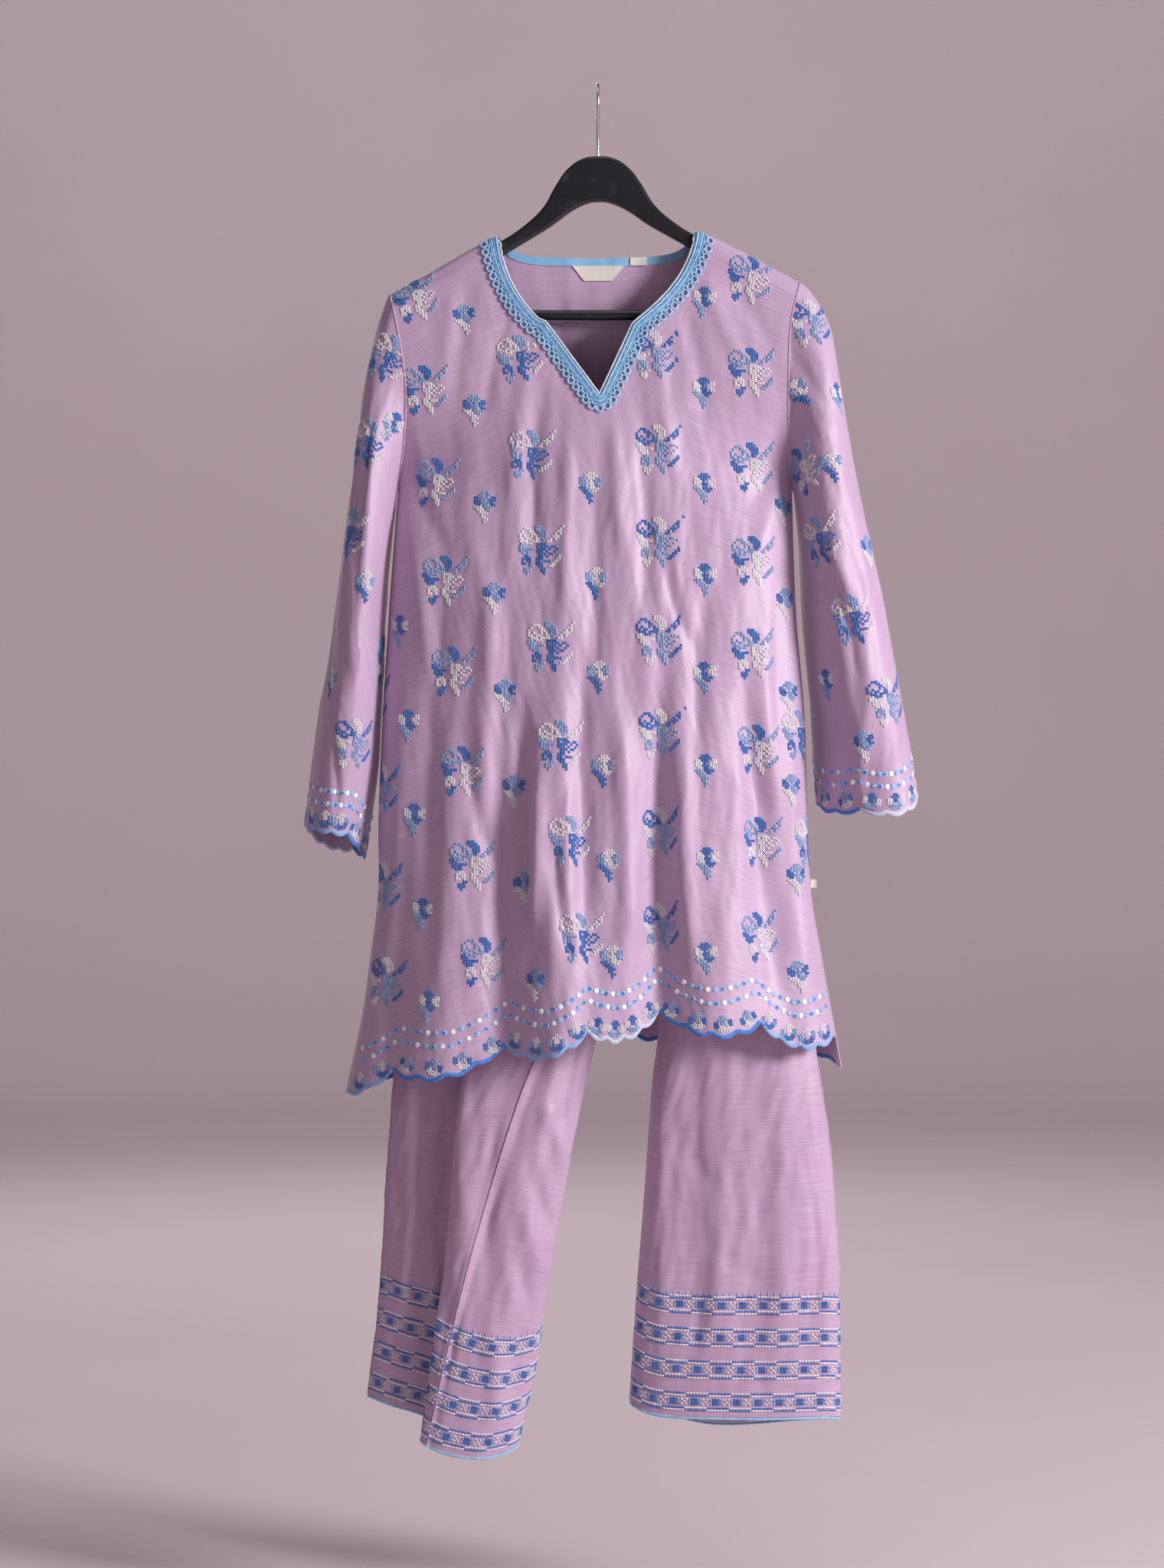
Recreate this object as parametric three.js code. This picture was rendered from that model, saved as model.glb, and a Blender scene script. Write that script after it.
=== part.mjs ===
// Salwar kameez suit on its hanger: a lilac A-line kurta over wide trousers, as sewn pieces.
// Millimetres, +Z up, the front faces -Y. Names say left and right as seen from the front.
// The origin is the point inside the hook's bend that rests on a rail.
import * as THREE from 'three';

// ---------------------------------------------------------------- driving dimensions
const SEAM_GAP = 0.3;
const ARMHOLE_GAP = 1.9;
const FACET_CLEARANCE = 1.7;
const CLOTH_WALL = 1.2;
const TRIM_WALL = 1.4;
const LABEL_WALL = 1.0;

const WOOD_THICKNESS = 12;
const WOOD_ROUNDING = 3.5;
const HANGER_TILT = THREE.MathUtils.degToRad(1.2);
const HANGER_TOP_Z = -67.7;
const WIRE_RADIUS = 1.5;
const HOOK_RADIUS = 19;
const BAR_RADIUS = 5;
const BAR_HALF_LENGTH = 159.4;
const BAR_Z = -219;

const SHOULDER_ROUND = 11;
const UNDERARM_Z = -386;
const NECK_LEFT = { x: -95, z: -143.6 };
const NECK_RIGHT = { x: 93.5, z: -139.3 };
const NOTCH_LEFT = { x: -50, z: -228.5 };
const NOTCH_RIGHT = { x: 33.5, z: -230 };
const NECK_POINT = { x: 1.5, z: -300 };
const BACK_NECK_Z = -163;
const LACE_WIDTH = 18;
const PIPING_WIDTH = 1.8;
const TRIM_END_DROP = 2.2;
const SHOULDER_SLOPE = 0.5;
const NECK_BAND_HEIGHT = 8;

const WAIST_TOP_Z = -290;
const WAISTBAND_HEIGHT = 32;
const CROTCH_Z = -640;
const LOOP_X = 122;
const LOOP_WIDTH = 6;
const PIPING_HEIGHT = 2.4;

const SMALL_ARCS = 4;
const SCALLOP_DROP = 16;
const ARC_DROP = 4.5;

// ---------------------------------------------------------------- finishes
const finish = (color, roughness, metalness = 0) => ({ color, roughness, metalness });
const FINISHES = {
  kurtaCloth: finish(0xb386ab, 0.62),
  trouserCloth: finish(0xb583ac, 0.58),
  blueTrim: finish(0x8cc0e1, 0.7),
  whitePiping: finish(0xdfe6ee, 0.6),
  labelCloth: finish(0xe9e4d8, 0.8),
  blackWood: finish(0x15171b, 0.42),
  hookWire: finish(0xc9ccd0, 0.25, 1),
};

// ---------------------------------------------------------------- small helpers
const vec = (x, y, z) => new THREE.Vector3(x, y, z);
const mix = (a, b, t) => a + (b - a) * t;
const clamp01 = (t) => Math.min(Math.max(t, 0), 1);
const ease = (t) => clamp01(t) ** 2 * (3 - 2 * clamp01(t));
const steps = (count, from = 0, to = 1) =>
  Array.from({ length: count + 1 }, (_, i) => mix(from, to, i / count));

/** A smooth function through one named column of a table, read along its key column. */
function column(table, key, name) {
  const rows = [...table].sort((p, q) => p[key] - q[key]);
  const at = rows.map((row) => row[key]);
  const value = rows.map((row) => row[name]);
  const last = rows.length - 1;
  const slope = value.map((_, i) => {
    const before = Math.max(i - 1, 0);
    const after = Math.min(i + 1, last);
    return (value[after] - value[before]) / (at[after] - at[before]);
  });
  return (k) => {
    if (k <= at[0]) return value[0] + slope[0] * (k - at[0]);
    if (k >= at[last]) return value[last] + slope[last] * (k - at[last]);
    let i = 0;
    while (at[i + 1] < k) i += 1;
    const span = at[i + 1] - at[i];
    const t = (k - at[i]) / span;
    const rise = value[i + 1] - value[i];
    const bendIn = slope[i] * span - rise;
    const bendOut = rise - slope[i + 1] * span;
    return value[i] + rise * t + t * (1 - t) * (bendIn * (1 - t) + bendOut * t);
  };
}

/** The smaller of two depths, with a soft change from one to the other. */
function softMin(a, b, softness) {
  const h = clamp01(0.5 + (0.5 * (b - a)) / softness);
  return mix(b, a, h) - softness * h * (1 - h);
}

/** Direction square to a surface(u, v) point, by short differences inside its range. */
function squareTo(surface, u, v, uRange, vRange) {
  const du = (uRange[1] - uRange[0]) * 0.002;
  const dv = (vRange[1] - vRange[0]) * 0.002;
  const alongU = surface(Math.min(u + du, uRange[1]), v).sub(surface(Math.max(u - du, uRange[0]), v));
  const alongV = surface(u, Math.min(v + dv, vRange[1])).sub(surface(u, Math.max(v - dv, vRange[0])));
  return alongU.cross(alongV).normalize();
}

const group = new THREE.Group();

function addMesh(name, geometry, look) {
  const mesh = new THREE.Mesh(geometry, new THREE.MeshStandardMaterial(FINISHES[look]));
  mesh.name = name;
  group.add(mesh);
  return mesh;
}

/**
 * A cloth wall on the middle surface(u, v): two skins half the wall to each side, closed at
 * the edges. lift moves the whole wall along the surface's own square direction; ring joins
 * the last column to the first.
 */
function cloth(name, look, surface, us, vs, { wall = CLOTH_WALL, lift = 0, ring = false } = {}) {
  const vRange = [vs[0], vs[vs.length - 1]];
  const columns = us.length;
  const rows = vs.length;
  const points = [];
  for (const half of [wall / 2, -wall / 2]) {
    for (const v of vs) {
      for (const u of us) {
        const uRange = ring ? [u - 1, u + 1] : [us[0], us[us.length - 1]];
        const square = squareTo(surface, u, v, uRange, vRange);
        const p = surface(u, v).addScaledVector(square, lift + half);
        points.push(p.x, p.y, p.z);
      }
    }
  }
  const skin = columns * rows;
  const id = (side, i, j) => side * skin + i * columns + (j % columns);
  const faces = [];
  const quad = (a, b, c, d) => faces.push(a, b, c, a, c, d);
  const lastColumn = ring ? columns : columns - 1;
  for (let i = 0; i < rows - 1; i += 1) {
    for (let j = 0; j < lastColumn; j += 1) {
      quad(id(0, i, j), id(0, i, j + 1), id(0, i + 1, j + 1), id(0, i + 1, j));
      quad(id(1, i, j), id(1, i + 1, j), id(1, i + 1, j + 1), id(1, i, j + 1));
    }
  }
  for (let j = 0; j < lastColumn; j += 1) {
    quad(id(0, 0, j), id(1, 0, j), id(1, 0, j + 1), id(0, 0, j + 1));
    quad(id(0, rows - 1, j), id(0, rows - 1, j + 1), id(1, rows - 1, j + 1), id(1, rows - 1, j));
  }
  for (let i = 0; !ring && i < rows - 1; i += 1) {
    quad(id(0, i, 0), id(0, i + 1, 0), id(1, i + 1, 0), id(1, i, 0));
    const e = columns - 1;
    quad(id(0, i, e), id(1, i, e), id(1, i + 1, e), id(0, i + 1, e));
  }
  const geometry = new THREE.BufferGeometry();
  geometry.setAttribute('position', new THREE.Float32BufferAttribute(points, 3));
  geometry.setIndex(faces);
  return addMesh(name, geometry, look);
}

// ---------------------------------------------------------------- hanger
function hangerWood() {
  // Right half of the symmetric outline, from the head down to the arm's end and back
  const upper = [
    [14, -69.5], [29, -79], [41, -95], [53, -115], [70, -131], [92, -145.5], [112, -154.5], [150, -174], [174, -188.5],
  ];
  const end = [[178, -193], [177.5, -221], [173, -226], [164, -226], [160, -222]];
  const lower = [[160, -205], [150, -197], [120, -179], [92, -160.5], [50, -136], [14, -113.5]];
  const outline = [...upper, ...end, ...lower];
  const shape = new THREE.Shape();
  shape.moveTo(0, HANGER_TOP_Z);
  outline.forEach(([x, z]) => shape.lineTo(x, z));
  shape.lineTo(0, -111);
  [...outline].reverse().forEach(([x, z]) => shape.lineTo(-x, z));
  const geometry = new THREE.ExtrudeGeometry(shape, {
    depth: WOOD_THICKNESS - 2 * WOOD_ROUNDING,
    bevelThickness: WOOD_ROUNDING,
    bevelSize: WOOD_ROUNDING,
    bevelOffset: -WOOD_ROUNDING,
    bevelSegments: 2,
  });
  geometry.translate(0, -HANGER_TOP_Z, WOOD_ROUNDING - WOOD_THICKNESS / 2);
  const wood = addMesh('hanger_wood', geometry, 'blackWood');
  wood.rotation.x = Math.PI / 2;
  const tilted = new THREE.Group();
  tilted.add(wood);
  tilted.rotation.y = -HANGER_TILT;
  tilted.position.z = HANGER_TOP_Z;
  group.add(tilted);
}

function hangerBar() {
  const geometry = new THREE.CylinderGeometry(BAR_RADIUS, BAR_RADIUS, 2 * BAR_HALF_LENGTH, 16);
  const bar = addMesh('hanger_bar', geometry, 'blackWood');
  bar.rotation.z = Math.PI / 2;
  bar.position.set(3, 0, BAR_Z);
}

function hangerHook() {
  // A question mark in the plane across the rail: open end behind, shank in the middle below
  const centreZ = WIRE_RADIUS - HOOK_RADIUS;
  const route = steps(13, -40, 215).map((degrees) => {
    const angle = THREE.MathUtils.degToRad(degrees);
    return vec(0, HOOK_RADIUS * Math.cos(angle), centreZ + HOOK_RADIUS * Math.sin(angle));
  });
  route.push(vec(0, -7, -36), vec(0, -1.2, -42), vec(0, 0, -49), vec(0, 0, -58), vec(0, 0, HANGER_TOP_Z + SEAM_GAP));
  const section = new THREE.Shape().absarc(0, 0, WIRE_RADIUS, 0, 2 * Math.PI, false);
  const geometry = new THREE.ExtrudeGeometry(section, {
    extrudePath: new THREE.CatmullRomCurve3(route, false, 'centripetal'),
    steps: 32,
    curveSegments: 4,
  });
  addMesh('hanger_hook', geometry, 'hookWire');
}

// ---------------------------------------------------------------- kurta body
// Flat outline from the front: side edges, and how far the front and back stand out
const BODY_SECTIONS = [
  { z: -150, left: -209, right: 200, front: 11, back: 10, armhole: 11 },
  { z: -190, left: -199.5, right: 191, front: 13, back: 12, armhole: 12 },
  { z: -230, left: -190, right: 182, front: 20, back: 17, armhole: 18 },
  { z: -285, left: -181.5, right: 179.5, front: 31, back: 26, armhole: 24 },
  { z: -330, left: -182, right: 180, front: 41, back: 34, armhole: 20 },
  { z: -386, left: -189.5, right: 184.5, front: 49, back: 41, armhole: 0 },
  { z: -440, left: -194, right: 186, front: 54, back: 46, armhole: 0 },
  { z: -510, left: -199, right: 189, front: 59, back: 50, armhole: 0 },
  { z: -600, left: -204.5, right: 196.5, front: 63, back: 54, armhole: 0 },
  { z: -700, left: -208.5, right: 199.5, front: 68, back: 58, armhole: 0 },
  { z: -770, left: -209, right: 203, front: 72, back: 62, armhole: 0 },
  { z: -835, left: -217, right: 214, front: 76, back: 66, armhole: 0 },
  { z: -885, left: -224, right: 223, front: 79, back: 69, armhole: 0 },
  { z: -955, left: -239, right: 236, front: 82, back: 72, armhole: 0 },
];
const bodyLeft = column(BODY_SECTIONS, 'z', 'left');
const bodyRight = column(BODY_SECTIONS, 'z', 'right');
const bodyDepth = { front: column(BODY_SECTIONS, 'z', 'front'), back: column(BODY_SECTIONS, 'z', 'back') };
const armholeColumn = column(BODY_SECTIONS, 'z', 'armhole');
const armholeDepth = (z) => (z < UNDERARM_Z ? 0 : Math.max(armholeColumn(z), 0));

// Shoulder seams, carried on across the neck opening
const SHOULDER_LINE = [
  { x: -210, z: -207.5 }, { x: -197, z: -200 }, { x: -155, z: -176 }, { x: -113, z: -151.8 },
  { x: -95, z: -143.6 }, { x: -50, z: -120 }, { x: 0, z: -100 }, { x: 50, z: -118 },
  { x: 93.5, z: -139.3 }, { x: 112, z: -146 }, { x: 150, z: -165.5 }, { x: 191, z: -188 }, { x: 205, z: -197 },
];
const shoulderZ = column(SHOULDER_LINE, 'x', 'z');

// Largest folds: where each runs, how high it stands (+) or sinks (-), its half width
const FRONT_FOLDS = [
  { topX: -45, hemX: -32, startZ: -400, height: 15, width: 27 },
  { topX: 50, hemX: 57, startZ: -460, height: -19, width: 21 },
  { topX: 112, hemX: 118, startZ: -500, height: 10, width: 25 },
  { topX: -88, hemX: -90, startZ: -540, height: -13, width: 19 },
  { topX: -128, hemX: -152, startZ: -520, height: 10, width: 24 },
  { topX: 160, hemX: 183, startZ: -600, height: -8, width: 17 },
  { topX: -172, hemX: -198, startZ: -620, height: -8, width: 14 },
];
const BACK_FOLDS = [
  { topX: -110, hemX: -125, startZ: -420, height: 12, width: 28 },
  { topX: -40, hemX: -45, startZ: -520, height: -14, width: 22 },
  { topX: 30, hemX: 28, startZ: -400, height: 13, width: 27 },
  { topX: 95, hemX: 105, startZ: -560, height: -12, width: 22 },
  { topX: 150, hemX: 170, startZ: -500, height: 8, width: 22 },
];
const HEM_Z = -920;

function foldDepth(folds, x, z) {
  return folds.reduce((sum, fold) => {
    const fall = ease((fold.startZ - z) / (fold.startZ - HEM_Z));
    const middle = mix(fold.topX, fold.hemX, clamp01((fold.startZ - z) / (fold.startZ - HEM_Z)));
    return sum + fold.height * fall * Math.exp(-(((x - middle) / fold.width) ** 2));
  }, 0);
}

/** Depth of the cloth's middle from the side seams' plane, at across (-1 to 1) and height z. */
function bodyBulge(part, across, z) {
  const x = mix(bodyLeft(z), bodyRight(z), (across + 1) / 2);
  const edge = armholeDepth(z);
  const sideRound = mix(1, 0.4, ease((-330 - z) / 110));
  const round = Math.max(1 - across * across, 0) ** sideRound;
  const folds = foldDepth(part === 'front' ? FRONT_FOLDS : BACK_FOLDS, x, z);
  const section = edge + (bodyDepth[part](z) - edge) * round + folds * round;
  const below = Math.max(shoulderZ(x) - z, 0);
  const overWood = below < SHOULDER_ROUND
    ? Math.sqrt(2 * SHOULDER_ROUND * below - below * below)
    : SHOULDER_ROUND + 3 * (below - SHOULDER_ROUND);
  return Math.max(softMin(section, overWood, 4), 0);
}

function bodyPoint(part, across, z) {
  const x = mix(bodyLeft(z), bodyRight(z), (across + 1) / 2);
  const outward = part === 'front' ? -1 : 1;
  return vec(x, outward * (SEAM_GAP / 2 + 0.1 + bodyBulge(part, across, z)), z);
}

const acrossOf = (x, z) => (2 * x - bodyLeft(z) - bodyRight(z)) / (bodyRight(z) - bodyLeft(z));

// ---- neckline: a round from each shoulder to its notch, then a straight V
const neckRoundLeft = new THREE.QuadraticBezierCurve(
  new THREE.Vector2(NECK_LEFT.x, NECK_LEFT.z), new THREE.Vector2(-91, -192), new THREE.Vector2(-57, -225.5));
const neckRoundRight = new THREE.QuadraticBezierCurve(
  new THREE.Vector2(NECK_RIGHT.x, NECK_RIGHT.z), new THREE.Vector2(89.5, -185), new THREE.Vector2(39, -225));
const ROUND_STEPS = [0, 0.07, 0.15, 0.24, 0.38, 0.56, 0.78, 1];
const NECKLINE = [
  ...ROUND_STEPS.map((t) => neckRoundLeft.getPoint(t)),
  new THREE.Vector2(NOTCH_LEFT.x, NOTCH_LEFT.z),
  new THREE.Vector2(-25, -263),
  new THREE.Vector2(NECK_POINT.x, NECK_POINT.z),
  new THREE.Vector2(18, -264),
  new THREE.Vector2(NOTCH_RIGHT.x, NOTCH_RIGHT.z),
  ...ROUND_STEPS.map((t) => neckRoundRight.getPoint(t)).reverse(),
];

function frontTop(x) {
  if (x <= NECK_LEFT.x || x >= NECK_RIGHT.x) return shoulderZ(x);
  let i = 0;
  while (NECKLINE[i + 1].x < x) i += 1;
  const [p, q] = [NECKLINE[i], NECKLINE[i + 1]];
  return mix(p.y, q.y, (x - p.x) / (q.x - p.x));
}

function backTop(x) {
  const neck = x < 0 ? NECK_LEFT : NECK_RIGHT;
  const reach = Math.abs(x / neck.x);
  if (reach >= 1) return shoulderZ(x);
  const rise = neck.z - BACK_NECK_Z;
  return BACK_NECK_Z + rise * (0.2 * reach ** 2 + 0.8 * reach ** 8);
}

/** Height where the column at this place across meets the panel's top edge. */
function topOf(topEdge, across) {
  let [low, high] = [-330, -110];
  for (let i = 0; i < 40; i += 1) {
    const z = (low + high) / 2;
    const x = mix(bodyLeft(z), bodyRight(z), (across + 1) / 2);
    if (z > topEdge(x)) high = z;
    else low = z;
  }
  return low;
}

// ---- scalloped hems: where two scallops meet, across the panel, and the height there
const FRONT_SCALLOPS = [
  { across: -1.16, z: -950 }, { across: -0.82, z: -934 }, { across: -0.375, z: -909 },
  { across: -0.04, z: -895 }, { across: 0.26, z: -877 }, { across: 0.68, z: -888 },
  { across: 0.985, z: -903 }, { across: 1.3, z: -915 },
];
const BACK_SCALLOPS = [
  { across: -1.18, z: -948 }, { across: -0.78, z: -936 }, { across: -0.35, z: -912 },
  { across: 0.06, z: -896 }, { across: 0.46, z: -900 }, { across: 0.86, z: -914 }, { across: 1.26, z: -925 },
];

function scallopedHem(scallops, across) {
  let i = 0;
  while (i < scallops.length - 2 && scallops[i + 1].across < across) i += 1;
  const t = (across - scallops[i].across) / (scallops[i + 1].across - scallops[i].across);
  const drop = SCALLOP_DROP * Math.sin(Math.PI * clamp01(t)) ** 0.8;
  const arcs = ARC_DROP * Math.abs(Math.sin(SMALL_ARCS * Math.PI * t));
  return mix(scallops[i].z, scallops[i + 1].z, t) - drop - arcs;
}

/** Columns at even places along every scallop, at the side seams and at the extra places. */
function bodyColumns(scallops, perScallop, extra) {
  const found = [-1, -0.993, 0.993, 1, ...extra];
  for (let i = 0; i < scallops.length - 1; i += 1) {
    for (const t of steps(perScallop)) {
      const across = mix(scallops[i].across, scallops[i + 1].across, t);
      const clear = found.every((other) => Math.abs(other - across) > 0.013);
      if (Math.abs(across) < 0.98 && clear) found.push(across);
    }
  }
  return found.sort((p, q) => p - q);
}

const TOP_ROWS = 3;
const PANEL_ROWS = 8;
const BODY_ROWS = steps(TOP_ROWS + PANEL_ROWS, 0, TOP_ROWS + PANEL_ROWS);

function bodyPanel(part, topEdge, scallops) {
  return (across, row) => {
    const top = topOf(topEdge, across);
    const hem = scallopedHem(scallops, across);
    const turn = (Math.PI / 2) * clamp01(row / TOP_ROWS);
    const rounded = SHOULDER_ROUND * (1 - Math.cos(turn));
    const down = clamp01((row - TOP_ROWS) / PANEL_ROWS) ** 1.45;
    return bodyPoint(part, across, mix(top - rounded, hem, down));
  };
}

const frontPanel = bodyPanel('front', frontTop, FRONT_SCALLOPS);
const backPanel = bodyPanel('back', backTop, BACK_SCALLOPS);

function kurtaBody() {
  const neckPlaces = NECKLINE.map((point) => acrossOf(point.x, point.y));
  cloth('kurta_front', 'kurtaCloth', frontPanel, bodyColumns(FRONT_SCALLOPS, 2 * SMALL_ARCS, neckPlaces), BODY_ROWS);
  const backPlaces = [NECK_LEFT.x, NECK_RIGHT.x].flatMap((x) =>
    [1, 0.985, 0.95, 0.88].map((reach) => acrossOf(x * reach, backTop(x * reach))));
  cloth('kurta_back', 'kurtaCloth', backPanel, bodyColumns(BACK_SCALLOPS, SMALL_ARCS, backPlaces), BODY_ROWS);
}

// ---------------------------------------------------------------- sleeves
// Rings down each sleeve: top line, underarm line, half depth, turn and tilt of the ring
const LEFT_SLEEVE = [
  { topX: -200, topZ: -202, underX: -190.5, underZ: -387, depth: 25, skew: 0, drop: 0 },
  { topX: -211, topZ: -233, underX: -193, underZ: -398, depth: 32, skew: 0, drop: 0 },
  { topX: -221, topZ: -272, underX: -195, underZ: -414, depth: 42, skew: 0, drop: 0 },
  { topX: -229, topZ: -330, underX: -198, underZ: -440, depth: 52, skew: 0, drop: 0 },
  { topX: -236, topZ: -388, underX: -201, underZ: -470, depth: 58, skew: 0, drop: 0 },
  { topX: -246.5, topZ: -470, underX: -204, underZ: -515, depth: 61, skew: 0, drop: 0 },
  { topX: -257, topZ: -550, underX: -206, underZ: -570, depth: 61, skew: 0, drop: -2 },
  { topX: -266, topZ: -597, underX: -208, underZ: -612, depth: 60, skew: 0, drop: -4 },
  { topX: -272, topZ: -645, underX: -211, underZ: -656, depth: 58, skew: 0, drop: -6 },
  { topX: -280, topZ: -703, underX: -223, underZ: -727, depth: 56, skew: 0, drop: -9 },
];
const RIGHT_SLEEVE = [
  { topX: 193, topZ: -190, underX: 185.5, underZ: -387, depth: 25, skew: 0, drop: 0 },
  { topX: 208, topZ: -201, underX: 188, underZ: -398, depth: 32, skew: 0, drop: 0 },
  { topX: 222, topZ: -232, underX: 190, underZ: -414, depth: 42, skew: 0, drop: 0 },
  { topX: 232, topZ: -290, underX: 193, underZ: -440, depth: 52, skew: 2, drop: 0 },
  { topX: 244, topZ: -362, underX: 195, underZ: -468, depth: 58, skew: 4, drop: 2 },
  { topX: 258, topZ: -430, underX: 197, underZ: -500, depth: 61, skew: 6, drop: 4 },
  { topX: 273, topZ: -505, underX: 201, underZ: -545, depth: 61, skew: 8, drop: 6 },
  { topX: 285, topZ: -570, underX: 206, underZ: -592, depth: 60, skew: 10, drop: 9 },
  { topX: 294, topZ: -620, underX: 209, underZ: -636, depth: 58, skew: 12, drop: 12 },
  { topX: 302, topZ: -666, underX: 213, underZ: -680, depth: 56, skew: 14, drop: 16 },
];
const SLEEVE_SIDES = { left: -1, right: 1 };
const CUFF_SCALLOPS = 3;
const CUFF_DROP = 7;
const BODY_CLEARANCE = 2.4;

/** Half loop of the armhole edge: down the front for a turn up to half, up the back after. */
function armholePoint(side, turn) {
  const edge = side < 0 ? bodyLeft : bodyRight;
  const tip = side < 0 ? -200.5 : -189;
  const z = mix(tip, UNDERARM_Z, (1 - Math.cos(turn)) / 2);
  const away = Math.sin(turn) < 0 ? 1 : -1;
  const depth = bodyBulge(away < 0 ? 'front' : 'back', side, z);
  return vec(edge(z) + side * ARMHOLE_GAP, away * (0.25 + depth), z);
}

/** Where the kurta's side stands at this depth and height, so that a sleeve stays clear. */
function bodySideAt(side, y, z) {
  const depth = bodyDepth[y < 0 ? 'front' : 'back'](z);
  const across = Math.sqrt(Math.max(1 - Math.min(Math.abs(y) / depth, 1) ** 2.5, 0));
  const middle = (bodyLeft(z) + bodyRight(z)) / 2;
  return middle + (side * across * (bodyRight(z) - bodyLeft(z))) / 2;
}

function sleeveSurface(sideName) {
  const side = SLEEVE_SIDES[sideName];
  const rings = (side < 0 ? LEFT_SLEEVE : RIGHT_SLEEVE).map((ring, i) => ({ ...ring, row: i }));
  const last = rings.length - 1;
  const read = Object.fromEntries(
    ['topX', 'topZ', 'underX', 'underZ', 'depth', 'skew', 'drop'].map((name) => [name, column(rings, 'row', name)]));
  return (turns, length) => {
    const turn = -side * 2 * Math.PI * turns;
    const row = length * last;
    const [c, s] = [Math.cos(turn), Math.sin(turn)];
    const away = (1 + c) / 2;
    const x = mix(read.underX(row), read.topX(row), away) + read.skew(row) * s;
    const z = mix(read.underZ(row), read.topZ(row), away) - read.drop(row) * s;
    const ring = vec(x, 12 * ease(length * 2) - read.depth(row) * s, z);
    const point = armholePoint(side, turn).lerp(ring, ease(row / 2.2));
    if (row > 0.6) {
      const limit = bodySideAt(side, point.y, point.z) + side * BODY_CLEARANCE;
      const clear = side < 0 ? Math.min(point.x, limit) : Math.max(point.x, limit);
      point.x = mix(point.x, clear, ease((row - 0.6) / 0.6));
    }
    const cuff = ease((length - 0.86) / 0.14);
    const arc = CUFF_SCALLOPS * turns;
    point.z -= cuff * (CUFF_DROP * Math.abs(Math.sin(Math.PI * arc)) + 3 * Math.abs(Math.sin(SMALL_ARCS * Math.PI * arc)));
    return point;
  };
}

function sleeves() {
  const around = steps(24).slice(0, -1);
  for (const side of Object.keys(SLEEVE_SIDES)) {
    cloth(`sleeve_${side}`, 'kurtaCloth', sleeveSurface(side), around, [0, 0.045, ...steps(9, 0.11, 1)], { ring: true });
  }
}

// ---------------------------------------------------------------- neck trims and labels
const frontAt = (x, z) => bodyPoint('front', acrossOf(x, z), z);
const backAt = (x, z) => bodyPoint('back', acrossOf(x, z), z);

/** Points beside the neckline, this far out from its edge along its mitred square. */
function besideNeckline(distance) {
  const last = NECKLINE.length - 1;
  return NECKLINE.map((point, i) => {
    const before = NECKLINE[Math.max(i - 1, 0)];
    const after = NECKLINE[Math.min(i + 1, last)];
    const run = after.clone().sub(before).normalize();
    const reach = point.x === NECK_POINT.x ? 1.12 : 1;
    // Near a shoulder the trim's end turns to lie along the shoulder seam
    const fromShoulder = Math.min(point.distanceTo(NECKLINE[0]), point.distanceTo(NECKLINE[last]));
    const x = point.x + run.y * distance * reach;
    const z = point.y - run.x * distance * reach - SHOULDER_SLOPE * distance * clamp01(1 - fromShoulder / 30);
    return new THREE.Vector2(x, Math.min(z, shoulderZ(x) - TRIM_END_DROP));
  });
}

/** A strip on the front panel between two distances from the neckline. */
function neckStrip(from, to) {
  const [inner, outer] = [besideNeckline(from), besideNeckline(to)];
  const last = inner.length - 1;
  return (place, across) => {
    const i = Math.min(Math.floor(place), last - 1);
    const edge = inner[i].clone().lerp(inner[i + 1], place - i);
    const far = outer[i].clone().lerp(outer[i + 1], place - i);
    const at = edge.lerp(far, across);
    return frontAt(at.x, Math.min(at.y, shoulderZ(at.x) - TRIM_END_DROP));
  };
}

function neckTrims() {
  const last = NECKLINE.length - 1;
  const places = NECKLINE.map((_, i) => i);
  // The wide lace passes by the close points at the shoulders
  const lacePlaces = places.filter((i) => i !== 1 && i !== last - 1);
  const laceLift = -(CLOTH_WALL / 2 + FACET_CLEARANCE + TRIM_WALL / 2);
  cloth('neck_lace', 'blueTrim', neckStrip(0.2, LACE_WIDTH), lacePlaces, steps(2), { wall: TRIM_WALL, lift: laceLift });
  cloth('neck_piping', 'whitePiping', neckStrip(-PIPING_WIDTH - 0.4, -0.4), places, [0, 1], { wall: 1.6, lift: laceLift / 2 });
  const bandLift = -(CLOTH_WALL / 2 + SEAM_GAP + LABEL_WALL / 2);
  const onBack = (fromTop, toTop) => (x, down) => backAt(x, backTop(x) - mix(fromTop, toTop, down));
  const bandPlaces = steps(14, -84, 82);
  cloth('neck_back_band', 'blueTrim', onBack(0.6, NECK_BAND_HEIGHT), bandPlaces, [0, 1], { wall: LABEL_WALL, lift: bandLift });
  const label = (spread, down) => {
    const x = 0.5 + spread * mix(25, 13.5, down);
    return backAt(x, BACK_NECK_Z - mix(8.6, 22, down));
  };
  cloth('neck_label', 'labelCloth', label, steps(2, -1, 1), [0, 1], { wall: LABEL_WALL, lift: bandLift });
  const tagLift = bandLift - LABEL_WALL - SEAM_GAP;
  const tag = (x, down) => backAt(x, mix(-157.5, -170, down));
  cloth('care_tag', 'labelCloth', tag, [31, 39, 47], [0, 1], { wall: LABEL_WALL, lift: tagLift });
}

function sideTag() {
  const [length, width, height] = [6, 1.2, 9];
  const tag = addMesh('side_tag', new THREE.BoxGeometry(length, width, height), 'labelCloth');
  tag.position.set(bodyRight(-761) + 2.5 * FACET_CLEARANCE + length / 2, 0, -761);
}

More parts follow.
